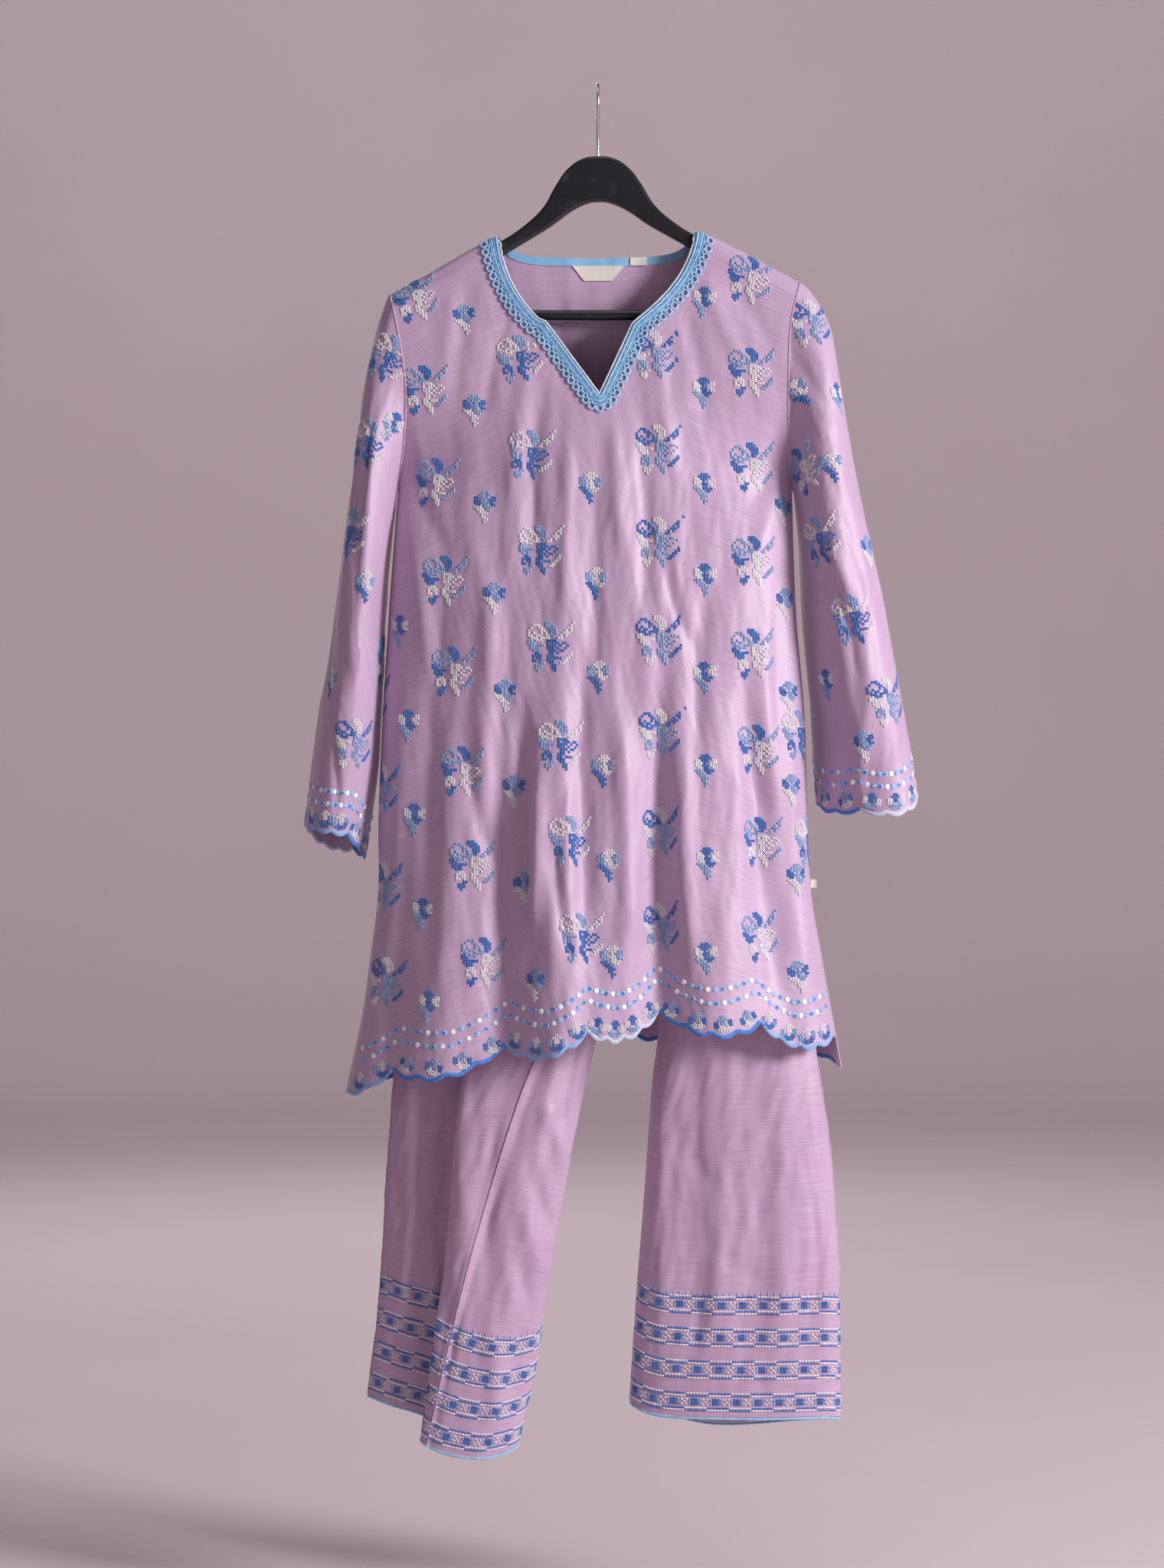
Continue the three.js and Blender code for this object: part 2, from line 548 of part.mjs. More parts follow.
// ---------------------------------------------------------------- trousers
// Each leg from the waist to the hem: inner and outer edges and half depth
const RIGHT_LEG = [
  { z: -322, inner: -3, outer: 142, depth: 14 },
  { z: -400, inner: 2, outer: 163, depth: 19 },
  { z: -500, inner: 10, outer: 175, depth: 23 },
  { z: -560, inner: 17, outer: 180, depth: 24 },
  { z: -615, inner: 23.5, outer: 184, depth: 25.5 },
  { z: -640, inner: 26, outer: 186, depth: 26 },
  { z: -750, inner: 43, outer: 191, depth: 27 },
  { z: -889, inner: 57, outer: 203, depth: 28 },
  { z: -957, inner: 51, outer: 213, depth: 29 },
  { z: -1054, inner: 44, outer: 225, depth: 30 },
  { z: -1148, inner: 36.5, outer: 230, depth: 31 },
  { z: -1270, inner: 28.5, outer: 231, depth: 32 },
];
const LEFT_LEG = [
  { z: -322, inner: -3, outer: -148, depth: 14 },
  { z: -400, inner: 2, outer: -165, depth: 19 },
  { z: -500, inner: 10, outer: -177, depth: 23 },
  { z: -560, inner: 17, outer: -181, depth: 24 },
  { z: -615, inner: 23.5, outer: -185, depth: 25.5 },
  { z: -640, inner: 26, outer: -186, depth: 26 },
  { z: -750, inner: 24, outer: -190, depth: 30 },
  { z: -901, inner: 1, outer: -193, depth: 33 },
  { z: -960, inner: -13, outer: -196, depth: 34 },
  { z: -1041, inner: -29, outer: -201, depth: 35 },
  { z: -1151, inner: -47, outer: -208, depth: 36 },
  { z: -1245, inner: -63, outer: -219, depth: 37 },
  { z: -1300, inner: -76, outer: -224, depth: 38 },
];
// The twisted leg's ring: across from the outer (0) to the inner edge (1), and how far forward
const FOLDED_RING = [
  { name: 'inner edge', across: 1, forward: 0 },
  { name: 'front by the seam', across: 0.93, forward: 0.72 },
  { name: 'front', across: 0.74, forward: 1 },
  { name: 'front left', across: 0.53, forward: 1 },
  { name: 'lip', across: 0.4, forward: 0.86 },
  { name: 'under the lip', across: 0.385, forward: 0.55 },
  { name: 'pocket', across: 0.5, forward: 0.34 },
  { name: 'return', across: 0.36, forward: 0.02 },
  { name: 'rear left', across: 0.16, forward: 0.06 },
  { name: 'outer edge', across: 0, forward: -0.36 },
  { name: 'back left', across: 0.14, forward: -0.86 },
  { name: 'back', across: 0.5, forward: -1 },
  { name: 'back right', across: 0.88, forward: -0.74 },
];
const OUTER_TURN = 9 / FOLDED_RING.length;
const foldedRing = new THREE.CatmullRomCurve3(
  FOLDED_RING.map((point) => vec(point.across, point.forward, 0)), true, 'centripetal');
// Twist: how far round the ring the inner leg seam has come forward
const LEFT_TWIST = [
  { z: -640, turn: 0 }, { z: -760, turn: 0.07 }, { z: -925, turn: 0.165 },
  { z: -1045, turn: 0.21 }, { z: -1173, turn: 0.262 }, { z: -1300, turn: 0.3 },
];
const leftTwist = column(LEFT_TWIST, 'z', 'turn');

/** Plain leg ring: half a turn from the inner edge along the front to the outer edge. */
function plainRing(turns) {
  const angle = 2 * Math.PI * turns;
  const s = Math.sin(angle);
  return { across: (1 + Math.cos(angle)) / 2, forward: Math.sign(s) * Math.abs(s) ** 0.75 };
}

function legReader(table) {
  const [inner, outer, depth] = ['inner', 'outer', 'depth'].map((name) => column(table, 'z', name));
  return (ring, turns, z, side) => {
    // Above the crotch the inner edge is open: front and back stay apart down the middle
    const open = ease((z - CROTCH_Z) / 90);
    const nearInner = ease(4 * ring.across - 2);
    const facing = turns % 1 < 0.5 ? 1 : -1;
    const forward = mix(ring.forward, facing * Math.max(Math.abs(ring.forward), 0.96), open * nearInner);
    const apart = SEAM_GAP / 2 + (CLOTH_WALL + 0.4) * (1 - open) ** 0.5;
    const x = mix(outer(z), inner(z) + side * apart, ring.across);
    return vec(x, -forward * depth(z), z);
  };
}
const readRight = legReader(RIGHT_LEG);
const readLeft = legReader(LEFT_LEG);

const rightLeg = (turns, z) => readRight(plainRing(turns), turns, z, 1);

function leftLeg(turns, z) {
  const folded = ease((-660 - z) / 200);
  // The plain ring reaches its outer edge at half a turn, the folded ring at OUTER_TURN
  const whole = Math.floor(turns);
  const part = turns - whole;
  const plainTurns = part < OUTER_TURN ? (0.5 * part) / OUTER_TURN : 0.5 + (0.5 * (part - OUTER_TURN)) / (1 - OUTER_TURN);
  const plain = plainRing(plainTurns);
  const bent = foldedRing.getPoint(part);
  const ring = { across: mix(plain.across, bent.x, folded), forward: mix(plain.forward, bent.y, folded) };
  return readLeft(ring, plainTurns, z, -1);
}

// Hems, round each leg: turns from the inner edge and the height there
const RIGHT_HEM = [
  { turn: -0.1, z: -1262 }, { turn: 0, z: -1253 }, { turn: 0.12, z: -1262 }, { turn: 0.25, z: -1264 },
  { turn: 0.4, z: -1265 }, { turn: 0.5, z: -1269 }, { turn: 0.62, z: -1274 }, { turn: 0.78, z: -1280 },
  { turn: 0.9, z: -1262 }, { turn: 1, z: -1253 },
];
const LEFT_HEM = [
  { turn: -0.1, z: -1284 }, { turn: 0, z: -1291 }, { turn: 0.15, z: -1300 }, { turn: 0.3, z: -1288 },
  { turn: 0.4, z: -1279 }, { turn: 0.52, z: -1268 }, { turn: 0.6, z: -1258 }, { turn: 0.69, z: -1250 },
  { turn: 0.8, z: -1264 }, { turn: 0.9, z: -1284 }, { turn: 1, z: -1291 }, { turn: 1.15, z: -1300 }, { turn: 1.35, z: -1283 },
];
const LEGS = {
  left: {
    point: leftLeg,
    hem: column(LEFT_HEM, 'turn', 'z'),
    outerTurn: OUTER_TURN,
    seamTurn: 0.0004,
    twist: leftTwist,
    frontColumns: 20,
    backColumns: 12,
    pipingColumns: 40,
  },
  right: {
    point: rightLeg,
    hem: column(RIGHT_HEM, 'turn', 'z'),
    outerTurn: 0.5,
    seamTurn: 0.00015,
    twist: () => 0,
    frontColumns: 10,
    backColumns: 10,
    pipingColumns: 24,
  },
};
const LEG_TOP_Z = WAIST_TOP_Z - WAISTBAND_HEIGHT - SEAM_GAP;
const LEG_HEIGHTS = [LEG_TOP_Z, -430, -530, -565, -595, -620, -645, -690, -770];
const HEM_ROWS = 5;

/** Height on a leg: whole numbers are the shared heights of LEG_HEIGHTS, then down to the hem. */
function legZ(row, hemZ) {
  const last = LEG_HEIGHTS.length - 1;
  if (row >= last) return mix(LEG_HEIGHTS[last], hemZ, (row - last) / HEM_ROWS);
  const i = Math.floor(row);
  return mix(LEG_HEIGHTS[i], LEG_HEIGHTS[i + 1], row - i);
}

function legPanel(leg, isBack) {
  const { point, hem, outerTurn, twist, seamTurn } = leg;
  return (across, row) => {
    const z = legZ(row, hem(outerTurn));
    const seam = z < CROTCH_Z ? twist(z) : 0;
    const [start, end] = isBack ? [outerTurn, 1 + seam] : [seam, outerTurn];
    const turns = mix(start + seamTurn, end - seamTurn, across);
    return point(turns, legZ(row, hem(turns)));
  };
}

function trousers() {
  const rowCount = LEG_HEIGHTS.length - 1 + HEM_ROWS;
  const rows = steps(rowCount, 0, rowCount);
  for (const [side, leg] of Object.entries(LEGS)) {
    cloth(`trouser_front_${side}`, 'trouserCloth', legPanel(leg, false), steps(leg.frontColumns), rows);
    cloth(`trouser_back_${side}`, 'trouserCloth', legPanel(leg, true), steps(leg.backColumns), rows);
    const edging = (turns, down) => {
      const hem = leg.hem(turns);
      return leg.point(turns, hem).setZ(hem - CLOTH_WALL / 2 - SEAM_GAP - PIPING_HEIGHT * down);
    };
    const around = steps(leg.pipingColumns).slice(0, -1);
    cloth(`trouser_piping_${side}`, 'blueTrim', edging, around, [0, 1], { wall: 1.8, ring: true });
  }
}

function waistband() {
  const gathers = 26;
  const surface = (turns, down) => {
    const angle = -2 * Math.PI * turns;
    const ripple = 1.1 * Math.cos(gathers * angle);
    const s = Math.sin(angle);
    const y = -(12.5 + ripple) * Math.sign(s) * Math.abs(s) ** 0.6;
    return vec(-3 - 145 * Math.cos(angle), y, WAIST_TOP_Z - WAISTBAND_HEIGHT * down);
  };
  cloth('trouser_waistband', 'trouserCloth', surface, steps(52).slice(0, -1), [0, 1], { wall: 1.6, ring: true });
}

function hangingLoops() {
  // A ribbon over the bar, both ends sewn down at the waistband's top
  const inside = BAR_RADIUS + 0.5;
  const outside = inside + 1.2;
  const foot = WAIST_TOP_Z + SEAM_GAP + 0.7;
  for (const [name, x] of [['left', -LOOP_X], ['right', LOOP_X]]) {
    const ribbon = new THREE.Shape();
    ribbon.moveTo(-outside, foot - BAR_Z);
    ribbon.lineTo(-outside, 0);
    ribbon.absarc(0, 0, outside, Math.PI, 0, true);
    ribbon.lineTo(outside, foot - BAR_Z);
    ribbon.lineTo(inside, foot - BAR_Z);
    ribbon.lineTo(inside, 0);
    ribbon.absarc(0, 0, inside, 0, Math.PI, false);
    ribbon.lineTo(-inside, foot - BAR_Z);
    const geometry = new THREE.ExtrudeGeometry(ribbon, { depth: LOOP_WIDTH, bevelEnabled: false, curveSegments: 8 });
    geometry.translate(0, 0, -LOOP_WIDTH / 2);
    const loop = addMesh(`hanging_loop_${name}`, geometry, 'blueTrim');
    loop.quaternion.setFromRotationMatrix(new THREE.Matrix4().makeBasis(vec(0, 1, 0), vec(0, 0, 1), vec(1, 0, 0)));
    loop.position.set(x, 0, BAR_Z);
  }
}

hangerWood();
hangerBar();
hangerHook();
kurtaBody();
sleeves();
neckTrims();
sideTag();
trousers();
waistband();
hangingLoops();

export default group;
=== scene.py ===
"""Salwar kameez suit on its hanger: cloth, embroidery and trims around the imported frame.

Shapes are worked out in millimetres, in the frame's own axes, and become metres when a
mesh is made. The front faces -Y, +Z is up, and left and right are as seen from the front.
"""
import logging
import math
from dataclasses import dataclass, field
from enum import Enum, StrEnum
from typing import Callable, Sequence

import bmesh
import bpy
import numpy as np
from mathutils import Matrix, Vector


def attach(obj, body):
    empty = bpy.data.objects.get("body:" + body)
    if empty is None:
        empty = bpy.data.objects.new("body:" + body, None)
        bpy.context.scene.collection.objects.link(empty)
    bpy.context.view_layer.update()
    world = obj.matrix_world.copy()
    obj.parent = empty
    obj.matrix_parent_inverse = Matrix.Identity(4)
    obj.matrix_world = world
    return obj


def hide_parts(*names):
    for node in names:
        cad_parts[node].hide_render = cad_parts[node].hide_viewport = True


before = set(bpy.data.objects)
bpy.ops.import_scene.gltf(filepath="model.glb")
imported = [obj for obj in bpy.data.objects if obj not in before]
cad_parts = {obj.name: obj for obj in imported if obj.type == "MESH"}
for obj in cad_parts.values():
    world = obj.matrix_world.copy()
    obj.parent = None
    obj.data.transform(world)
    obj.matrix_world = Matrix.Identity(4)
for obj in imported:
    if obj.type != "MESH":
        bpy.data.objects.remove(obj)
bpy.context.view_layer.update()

LOG = logging.getLogger("suit")
Array = np.ndarray
Reader = Callable[[Array], Array]
Look = bpy.types.Material

MM = 0.001
SEAM_GAP = 0.3
ARMHOLE_GAP = 1.9
CLOTH_WALL = 1.1
FAR_AWAY = 4000.0


class Thread(Enum):
    """The embroidery thread's colours."""

    BLUE = "blue"
    LIGHT = "light"
    WHITE = "white"


class Side(StrEnum):
    """A side as the viewer sees it."""

    LEFT = "left"
    RIGHT = "right"


class Half(StrEnum):
    """The front or the back of a tube of cloth."""

    FRONT = "front"
    BACK = "back"


class Facing(Enum):
    """Which side of a grid's own square direction is the cloth's right side."""

    WITH = 1
    AGAINST = -1


# ------------------------------------------------------------------ numbers
def mix(a: Array, b: Array, t: Array) -> Array:
    """Goes from a to b as t goes from 0 to 1."""
    return a + (b - a) * t


def ease(t: Array) -> Array:
    """Smooth step of t between 0 and 1."""
    t = np.clip(t, 0.0, 1.0)
    return t * t * (3 - 2 * t)


def soft_min(a: Array, b: Array, softness: float) -> Array:
    """The smaller of two depths, with a soft change from one to the other."""
    h = np.clip(0.5 + 0.5 * (b - a) / softness, 0.0, 1.0)
    return mix(b, a, h) - softness * h * (1 - h)


def unit(v: Array) -> Array:
    """Vectors in the last axis, made one long."""
    return v / np.maximum(np.linalg.norm(v, axis=-1, keepdims=True), 1e-9)


def run_along(points: Array) -> Array:
    """Length run so far at each point of a line."""
    return np.concatenate([[0], np.cumsum(np.linalg.norm(np.diff(points, axis=0), axis=1))])


def row_by_row(places: Array, at: Array, values: Array) -> Array:
    """Every column of values, read along a line at other places."""
    return np.stack([np.interp(places, at, values[:, k]) for k in range(values.shape[1])], axis=1)


@dataclass(frozen=True)
class Table:
    """A short table with named columns."""

    names: str
    rows: tuple

    def column(self, name: str) -> Array:
        """One named column, in the table's order."""
        at = self.names.split().index(name)
        return np.array([row[at] for row in self.rows], float)

    def read(self, key: str, name: str) -> Reader:
        """A smooth function through one column, read along another.

        Args:
            key: column that is the function's input.
            name: column that is its value.

        Returns:
            The function, which runs on in a straight line past both ends.
        """
        at = self.column(key)
        order = np.argsort(at)
        at = at[order]
        value = self.column(name)[order]
        last = len(at) - 1
        before = np.maximum(np.arange(last + 1) - 1, 0)
        after = np.minimum(np.arange(last + 1) + 1, last)
        slope = (value[after] - value[before]) / (at[after] - at[before])

        def reader(q: Array) -> Array:
            """The value at q.

            Args:
                q: where to read.

            Returns:
                The values there.
            """
            q = np.asarray(q, float)
            i = np.clip(np.searchsorted(at, q, side="right") - 1, 0, last - 1)
            span = at[i + 1] - at[i]
            t = (q - at[i]) / span
            rise = value[i + 1] - value[i]
            bend_in = slope[i] * span - rise
            bend_out = rise - slope[i + 1] * span
            inside = value[i] + rise * t + t * (1 - t) * (bend_in * (1 - t) + bend_out * t)
            low = value[0] + slope[0] * (q - at[0])
            high = value[last] + slope[last] * (q - at[last])
            return np.where(q <= at[0], low, np.where(q >= at[last], high, inside))

        return reader


@dataclass(frozen=True)
class Crease:
    """A soft ridge (+) or trough (-) from one flat place to another, in millimetres."""

    x: float
    z: float
    to_x: float
    to_z: float
    height: float
    width: float
    bow: float = 0.0

    def field(self, a: Array, b: Array) -> Array:
        """How far the crease moves the cloth out at flat places (a, b).

        Args:
            a: places across, in millimetres.
            b: places down, in millimetres.

        Returns:
            The height at each place.
        """
        run = np.array([self.to_x - self.x, self.to_z - self.z])
        length = float(np.hypot(*run))
        run = run / length
        along = ((a - self.x) * run[0] + (b - self.z) * run[1]) / length
        aside = (a - self.x) * run[1] - (b - self.z) * run[0]
        aside = aside - self.bow * np.sin(math.pi * np.clip(along, 0, 1))
        fade = ease(along / 0.3) * ease((1 - along) / 0.35)
        return self.height * fade * np.exp(-((aside / self.width) ** 2))


def crease_rows(*rows: Sequence[float]) -> tuple[Crease, ...]:
    """Creases from rows of x, z, to_x, to_z, height, width and bow."""
    return tuple(Crease(*row) for row in rows)


def creased(creases: Sequence[Crease], a: Array, b: Array) -> Array:
    """Sum of all the creases at flat places (a, b).

    Args:
        creases: the creases.
        a: places across, in millimetres.
        b: places down, in millimetres.

    Returns:
        The height at each place.
    """
    total = np.zeros(np.broadcast(a, b).shape)
    for crease in creases:
        total = total + crease.field(a, b)
    return total


def crumple(a: Array, b: Array, seed: int, length: float, stretch: float) -> Array:
    """Uneven small waves, from about -1 to 1, that run mostly down the cloth.

    Args:
        a: places across, in millimetres.
        b: places down, in millimetres.
        seed: which pattern.
        length: usual distance from wave to wave.
        stretch: how much longer the waves are down the cloth than across.

    Returns:
        The wave's height at each place.
    """
    rng = np.random.default_rng(seed)
    total = np.zeros(np.broadcast(a, b).shape)
    for _ in range(14):
        wave = 2 * math.pi / (length * rng.uniform(0.6, 1.9))
        lean = rng.normal(0, 0.55)
        bend = rng.uniform(0.4, 1.2) * length * np.sin(b / (length * stretch) + rng.uniform(0, 6.3))
        phase = rng.uniform(0, 2 * math.pi)
        total = total + np.sin(wave * (a * math.cos(lean) + bend + b * math.sin(lean) / stretch) + phase)
    return total / 4.5


WAVE_COLUMNS = "height length stretch seed_step"
BODY_WAVES = Table(WAVE_COLUMNS, ((0.9, 30, 4.2, 0), (0.3, 13, 3.2, 40)))
SLEEVE_WAVES = Table(WAVE_COLUMNS, ((0.8, 28, 3.2, 0), (0.4, 12, 2.4, 5)))
LEG_WAVES = Table(WAVE_COLUMNS, ((0.8, 30, 4.0, 0), (0.4, 12, 2.6, 3)))


def waved(height: Array, a: Array, b: Array, seed: int, waves: Table) -> Array:
    """A height with uneven small waves added to it.

    Args:
        height: the height so far, in millimetres.
        a: places across, in millimetres.
        b: places down, in millimetres.
        seed: which pattern.
        waves: the waves' heights and lengths.

    Returns:
        The new height at each place.
    """
    for size, length, stretch, seed_step in waves.rows:
        height = height + size * crumple(a, b, seed + seed_step, length, stretch)
    return height


# ------------------------------------------------------------------ sheets of cloth as grids
@dataclass
class Grid:
    """Cloth as rows and columns of points on its middle, in millimetres.

    Fields:
        points: rows x columns x 3.
        facing: which side is the right side.
        ring: the last column joins the first.
    """

    points: Array
    facing: Facing
    ring: bool = False

    def __post_init__(self) -> None:
        """Works out the frames and the lengths along the cloth."""
        self.refresh()

    def refresh(self) -> None:
        """Works out normals, tangents and running lengths from the points."""
        points = self.points
        if self.ring:
            along = np.roll(points, -1, axis=1) - np.roll(points, 1, axis=1)
        else:
            along = np.gradient(points, axis=1)
        down = np.gradient(points, axis=0)
        self.along = unit(along)
        self.down = unit(down)
        self.out = unit(np.cross(along, down)) * self.facing.value
        wide = np.concatenate([points, points[:, :1]], axis=1) if self.ring else points
        steps = np.linalg.norm(np.diff(wide, axis=1), axis=-1)
        self.across_mm = np.concatenate([np.zeros((len(points), 1)), np.cumsum(steps, axis=1)], axis=1)
        drops = np.linalg.norm(np.diff(points, axis=0), axis=-1)
        self.down_mm = np.concatenate([np.zeros((1, points.shape[1])), np.cumsum(drops, axis=0)])

    def move_out(self, height: Array) -> None:
        """Moves every point out along its normal."""
        self.points = self.points + self.out * height[..., None]
        self.refresh()

    def sample(self, column: Array, row: Array) -> tuple[Array, Array, Array]:
        """Points, normals and sideways directions at fractional columns and rows.

        Args:
            column: fractional column numbers.
            row: fractional row numbers.

        Returns:
            Points, right-side normals, and directions towards the viewer's right.
        """
        rows, columns = self.points.shape[:2]
        c = np.asarray(column, float)
        c = np.mod(c, columns) if self.ring else np.clip(c, 0, columns - 1)
        r = np.clip(np.asarray(row, float), 0, rows - 1)
        c0 = np.floor(c).astype(int)
        c0 = np.mod(c0, columns) if self.ring else np.minimum(c0, columns - 2)
        c1 = np.mod(c0 + 1, columns)
        r0 = np.minimum(np.floor(r).astype(int), rows - 2)
        fc = (c - np.floor(c) if self.ring else c - c0)[..., None]
        fr = (r - r0)[..., None]

        def blend(values: Array) -> Array:
            """Values between the four nearest points.

            Args:
                values: one value for each point of the grid.

            Returns:
                The value at each place.
            """
            top = mix(values[r0, c0], values[r0, c1], fc)
            low = mix(values[r0 + 1, c0], values[r0 + 1, c1], fc)
            return mix(top, low, fr)

        normal = unit(blend(self.out))
        return blend(self.points), normal, unit(np.cross(normal, blend(self.down)))

    def walk(self, column: float, row: float, right: Array, down: Array) -> tuple[Array, Array]:
        """Places that lie so many millimetres to the right of and below a place.

        Args:
            column: fractional column of the place.
            row: fractional row of the place.
            right: distances towards the viewer's right.
            down: distances down the cloth.

        Returns:
            Their fractional columns and rows.
        """
        rows, columns = self.points.shape[:2]
        _, normal, side = self.sample(np.array(column), np.array(row))
        ways = (side, np.cross(side, normal))
        steps = int(np.max(np.hypot(right, down)) / 5.0) + 1
        c, r = np.full(len(right), float(column)), np.full(len(right), float(row))
        for _ in range(steps):
            start, here, _ = self.sample(c, r)
            on_cloth = [unit(way - here * np.sum(way * here, axis=-1, keepdims=True)) for way in ways]
            goal = start + (on_cloth[0] * right[:, None] + on_cloth[1] * down[:, None]) / steps
            for _ in range(3):
                step_c, step_r = self.step_towards(goal, c, r)
                c, r = c + step_c, r + step_r
        return c, r

    def step_towards(self, goal: Array, c: Array, r: Array) -> tuple[Array, Array]:
        """Change of column and row that takes places closest to goal points.

        Args:
            goal: points to reach.
            c: fractional columns.
            r: fractional rows.

        Returns:
            The changes of column and of row.
        """
        rows, columns = self.points.shape[:2]
        near_c = c if self.ring else np.clip(c, 0.3, columns - 1.3)
        near_r = np.clip(r, 0.3, rows - 1.3)
        miss = goal - self.sample(c, r)[0]
        by_c = (self.sample(near_c + 0.25, near_r)[0] - self.sample(near_c - 0.25, near_r)[0]) * 2
        by_r = (self.sample(near_c, near_r + 0.25)[0] - self.sample(near_c, near_r - 0.25)[0]) * 2
        cc, rr, cr = (np.sum(p * q, axis=1) for p, q in ((by_c, by_c), (by_r, by_r), (by_c, by_r)))
        pull_c, pull_r = np.sum(by_c * miss, axis=1), np.sum(by_r * miss, axis=1)
        area = np.maximum(cc * rr - cr * cr, 1e-6)
        return (pull_c * rr - pull_r * cr) / area, (pull_r * cc - pull_c * cr) / area

    def row_above_hem(self, column: Array, distance: Array) -> Array:
        """Fractional rows that lie so far above the hem, measured down the cloth.

        Args:
            column: fractional columns.
            distance: how far above the hem, in millimetres.

        Returns:
            The fractional rows.
        """
        rows, columns = self.points.shape[:2]
        numbers = np.arange(rows)
        low = np.floor(column).astype(int)
        found = np.empty(len(low))
        for i, (c, share, d) in enumerate(zip(low, column - low, distance)):
            ends = []
            for near in (c, c + 1):
                near = near % columns if self.ring else min(max(near, 0), columns - 1)
                run = self.down_mm[:, near]
                ends.append(np.interp(run[-1] - d, run, numbers))
            found[i] = mix(ends[0], ends[1], share)
        return found

    def nearest(self, x: float, z: float, in_front: bool = False) -> tuple[float, float]:
        """Column and row of the point nearest to (x, z) as seen from the front or back.

        Args:
            x: its sideways place.
            z: its height.
            in_front: whether only cloth that faces the viewer counts.

        Returns:
            The column and row.
        """
        gap = (self.points[..., 0] - x) ** 2 + (self.points[..., 2] - z) ** 2
        if in_front:
            gap = gap + np.where(self.out[..., 1] < -0.05, 0.0, FAR_AWAY)
        row, column = np.unravel_index(np.argmin(gap), gap.shape)
        return float(column), float(row)


def quad_mesh(name: str, points: Array, quads: Array, uv: Array | None = None) -> bpy.types.Mesh:
    """A smooth mesh from points in millimetres.

    Args:
        name: the mesh's name.
        points: vertices x 3.
        quads: faces x 4 vertex numbers.
        uv: vertices x 2 in metres, for the map named cut.

    Returns:
        The mesh, in metres.
    """
    mesh = bpy.data.meshes.new(name)
    mesh.vertices.add(len(points))
    mesh.vertices.foreach_set("co", (points * MM).astype(np.float32).ravel())
    mesh.loops.add(quads.size)
    mesh.loops.foreach_set("vertex_index", quads.astype(np.int32).ravel())
    mesh.polygons.add(len(quads))
    mesh.polygons.foreach_set("loop_start", np.arange(0, quads.size, 4, dtype=np.int32))
    mesh.polygons.foreach_set("loop_total", np.full(len(quads), 4, np.int32))
    mesh.polygons.foreach_set("use_smooth", np.ones(len(quads), bool))
    mesh.update(calc_edges=True)
    if uv is not None:
        layer = mesh.uv_layers.new(name="cut")
        layer.data.foreach_set("uv", uv[quads.ravel()].astype(np.float32).ravel())
    mesh.validate()
    mesh.set_sharp_from_angle(angle=math.radians(60))
    return mesh


def shell(name: str, grid: Grid, wall: float = CLOTH_WALL) -> bpy.types.Mesh:
    """The grid as a closed wall of cloth, half the wall to each side of its middle.

    Args:
        name: the new piece's name.
        grid: the middle of the cloth.
        wall: the cloth's thickness, in millimetres.

    Returns:
        A closed mesh, in metres, with the map named cut.
    """
    rows, columns = grid.points.shape[:2]
    out = grid.out * grid.facing.value
    skins = [grid.points + out * wall / 2, grid.points - out * wall / 2]
    seam = grid.ring
    if seam:
        # The first column comes again at the end, so that the flat map has no jump
        skins = [np.concatenate([skin, skin[:, :1]], axis=1) for skin in skins]
        columns += 1
    count = rows * columns
    ids = np.arange(count).reshape(rows, columns)
    a, b = ids[:-1, :-1].ravel(), ids[:-1, 1:].ravel()
    c, d = ids[1:, 1:].ravel(), ids[1:, :-1].ravel()
    faces = [np.stack([a, b, c, d], 1), np.stack([a, d, c, b], 1) + count]
    top, low = ids[0], ids[-1]
    faces.append(np.stack([top[:-1], top[:-1] + count, top[1:] + count, top[1:]], 1))
    faces.append(np.stack([low[:-1], low[1:], low[1:] + count, low[:-1] + count], 1))
    if not seam:
        left, right = ids[:, 0], ids[:, -1]
        faces.append(np.stack([left[:-1], left[1:], left[1:] + count, left[:-1] + count], 1))
        faces.append(np.stack([right[:-1], right[:-1] + count, right[1:] + count, right[1:]], 1))
    across = grid.across_mm if seam else grid.across_mm[:, :columns]
    down = grid.down_mm
    if seam:
        down = np.concatenate([down, down[:, :1]], axis=1)
    flat = np.stack([across.ravel(), down.ravel()], 1) * MM
    mesh = quad_mesh(name, np.concatenate([s.reshape(-1, 3) for s in skins]), np.concatenate(faces),
                     np.concatenate([flat, flat]))
    if seam:
        merge_doubles(mesh)
    return mesh


def merge_doubles(mesh: bpy.types.Mesh, distance: float = 1e-6) -> None:
    """Joins points that lie in one place.

    Args:
        mesh: the mesh.
        distance: how near points are joined, in metres.
    """
    work = bmesh.new()
    work.from_mesh(mesh)
    bmesh.ops.remove_doubles(work, verts=work.verts, dist=distance)
    work.to_mesh(mesh)
    work.free()
    mesh.set_sharp_from_angle(angle=math.radians(60))


# ------------------------------------------------------------------ repeated parts by node trees
def feed(tree: bpy.types.NodeTree, socket: bpy.types.NodeSocket, value: object) -> None:
    """Links an output to a socket, or gives the socket a plain value.

    Args:
        tree: the node tree.
        socket: an input of one of its nodes.
        value: an output socket or a plain value.
    """
    if isinstance(value, bpy.types.NodeSocket):
        tree.links.new(value, socket)
    else:
        socket.default_value = value


def new_node(tree: bpy.types.NodeTree, kind: str, links: dict | None, settings: dict) -> bpy.types.Node:
    """Adds a node to a tree.

    Args:
        tree: the node tree.
        kind: the node's full type.
        links: input name or number to an output socket or a plain value.
        settings: the node's own properties.

    Returns:
        The node.
    """
    node = tree.nodes.new(kind)
    for label, value in settings.items():
        setattr(node, label, value)
    for key, value in (links or {}).items():
        feed(tree, node.inputs[key], value)
    return node


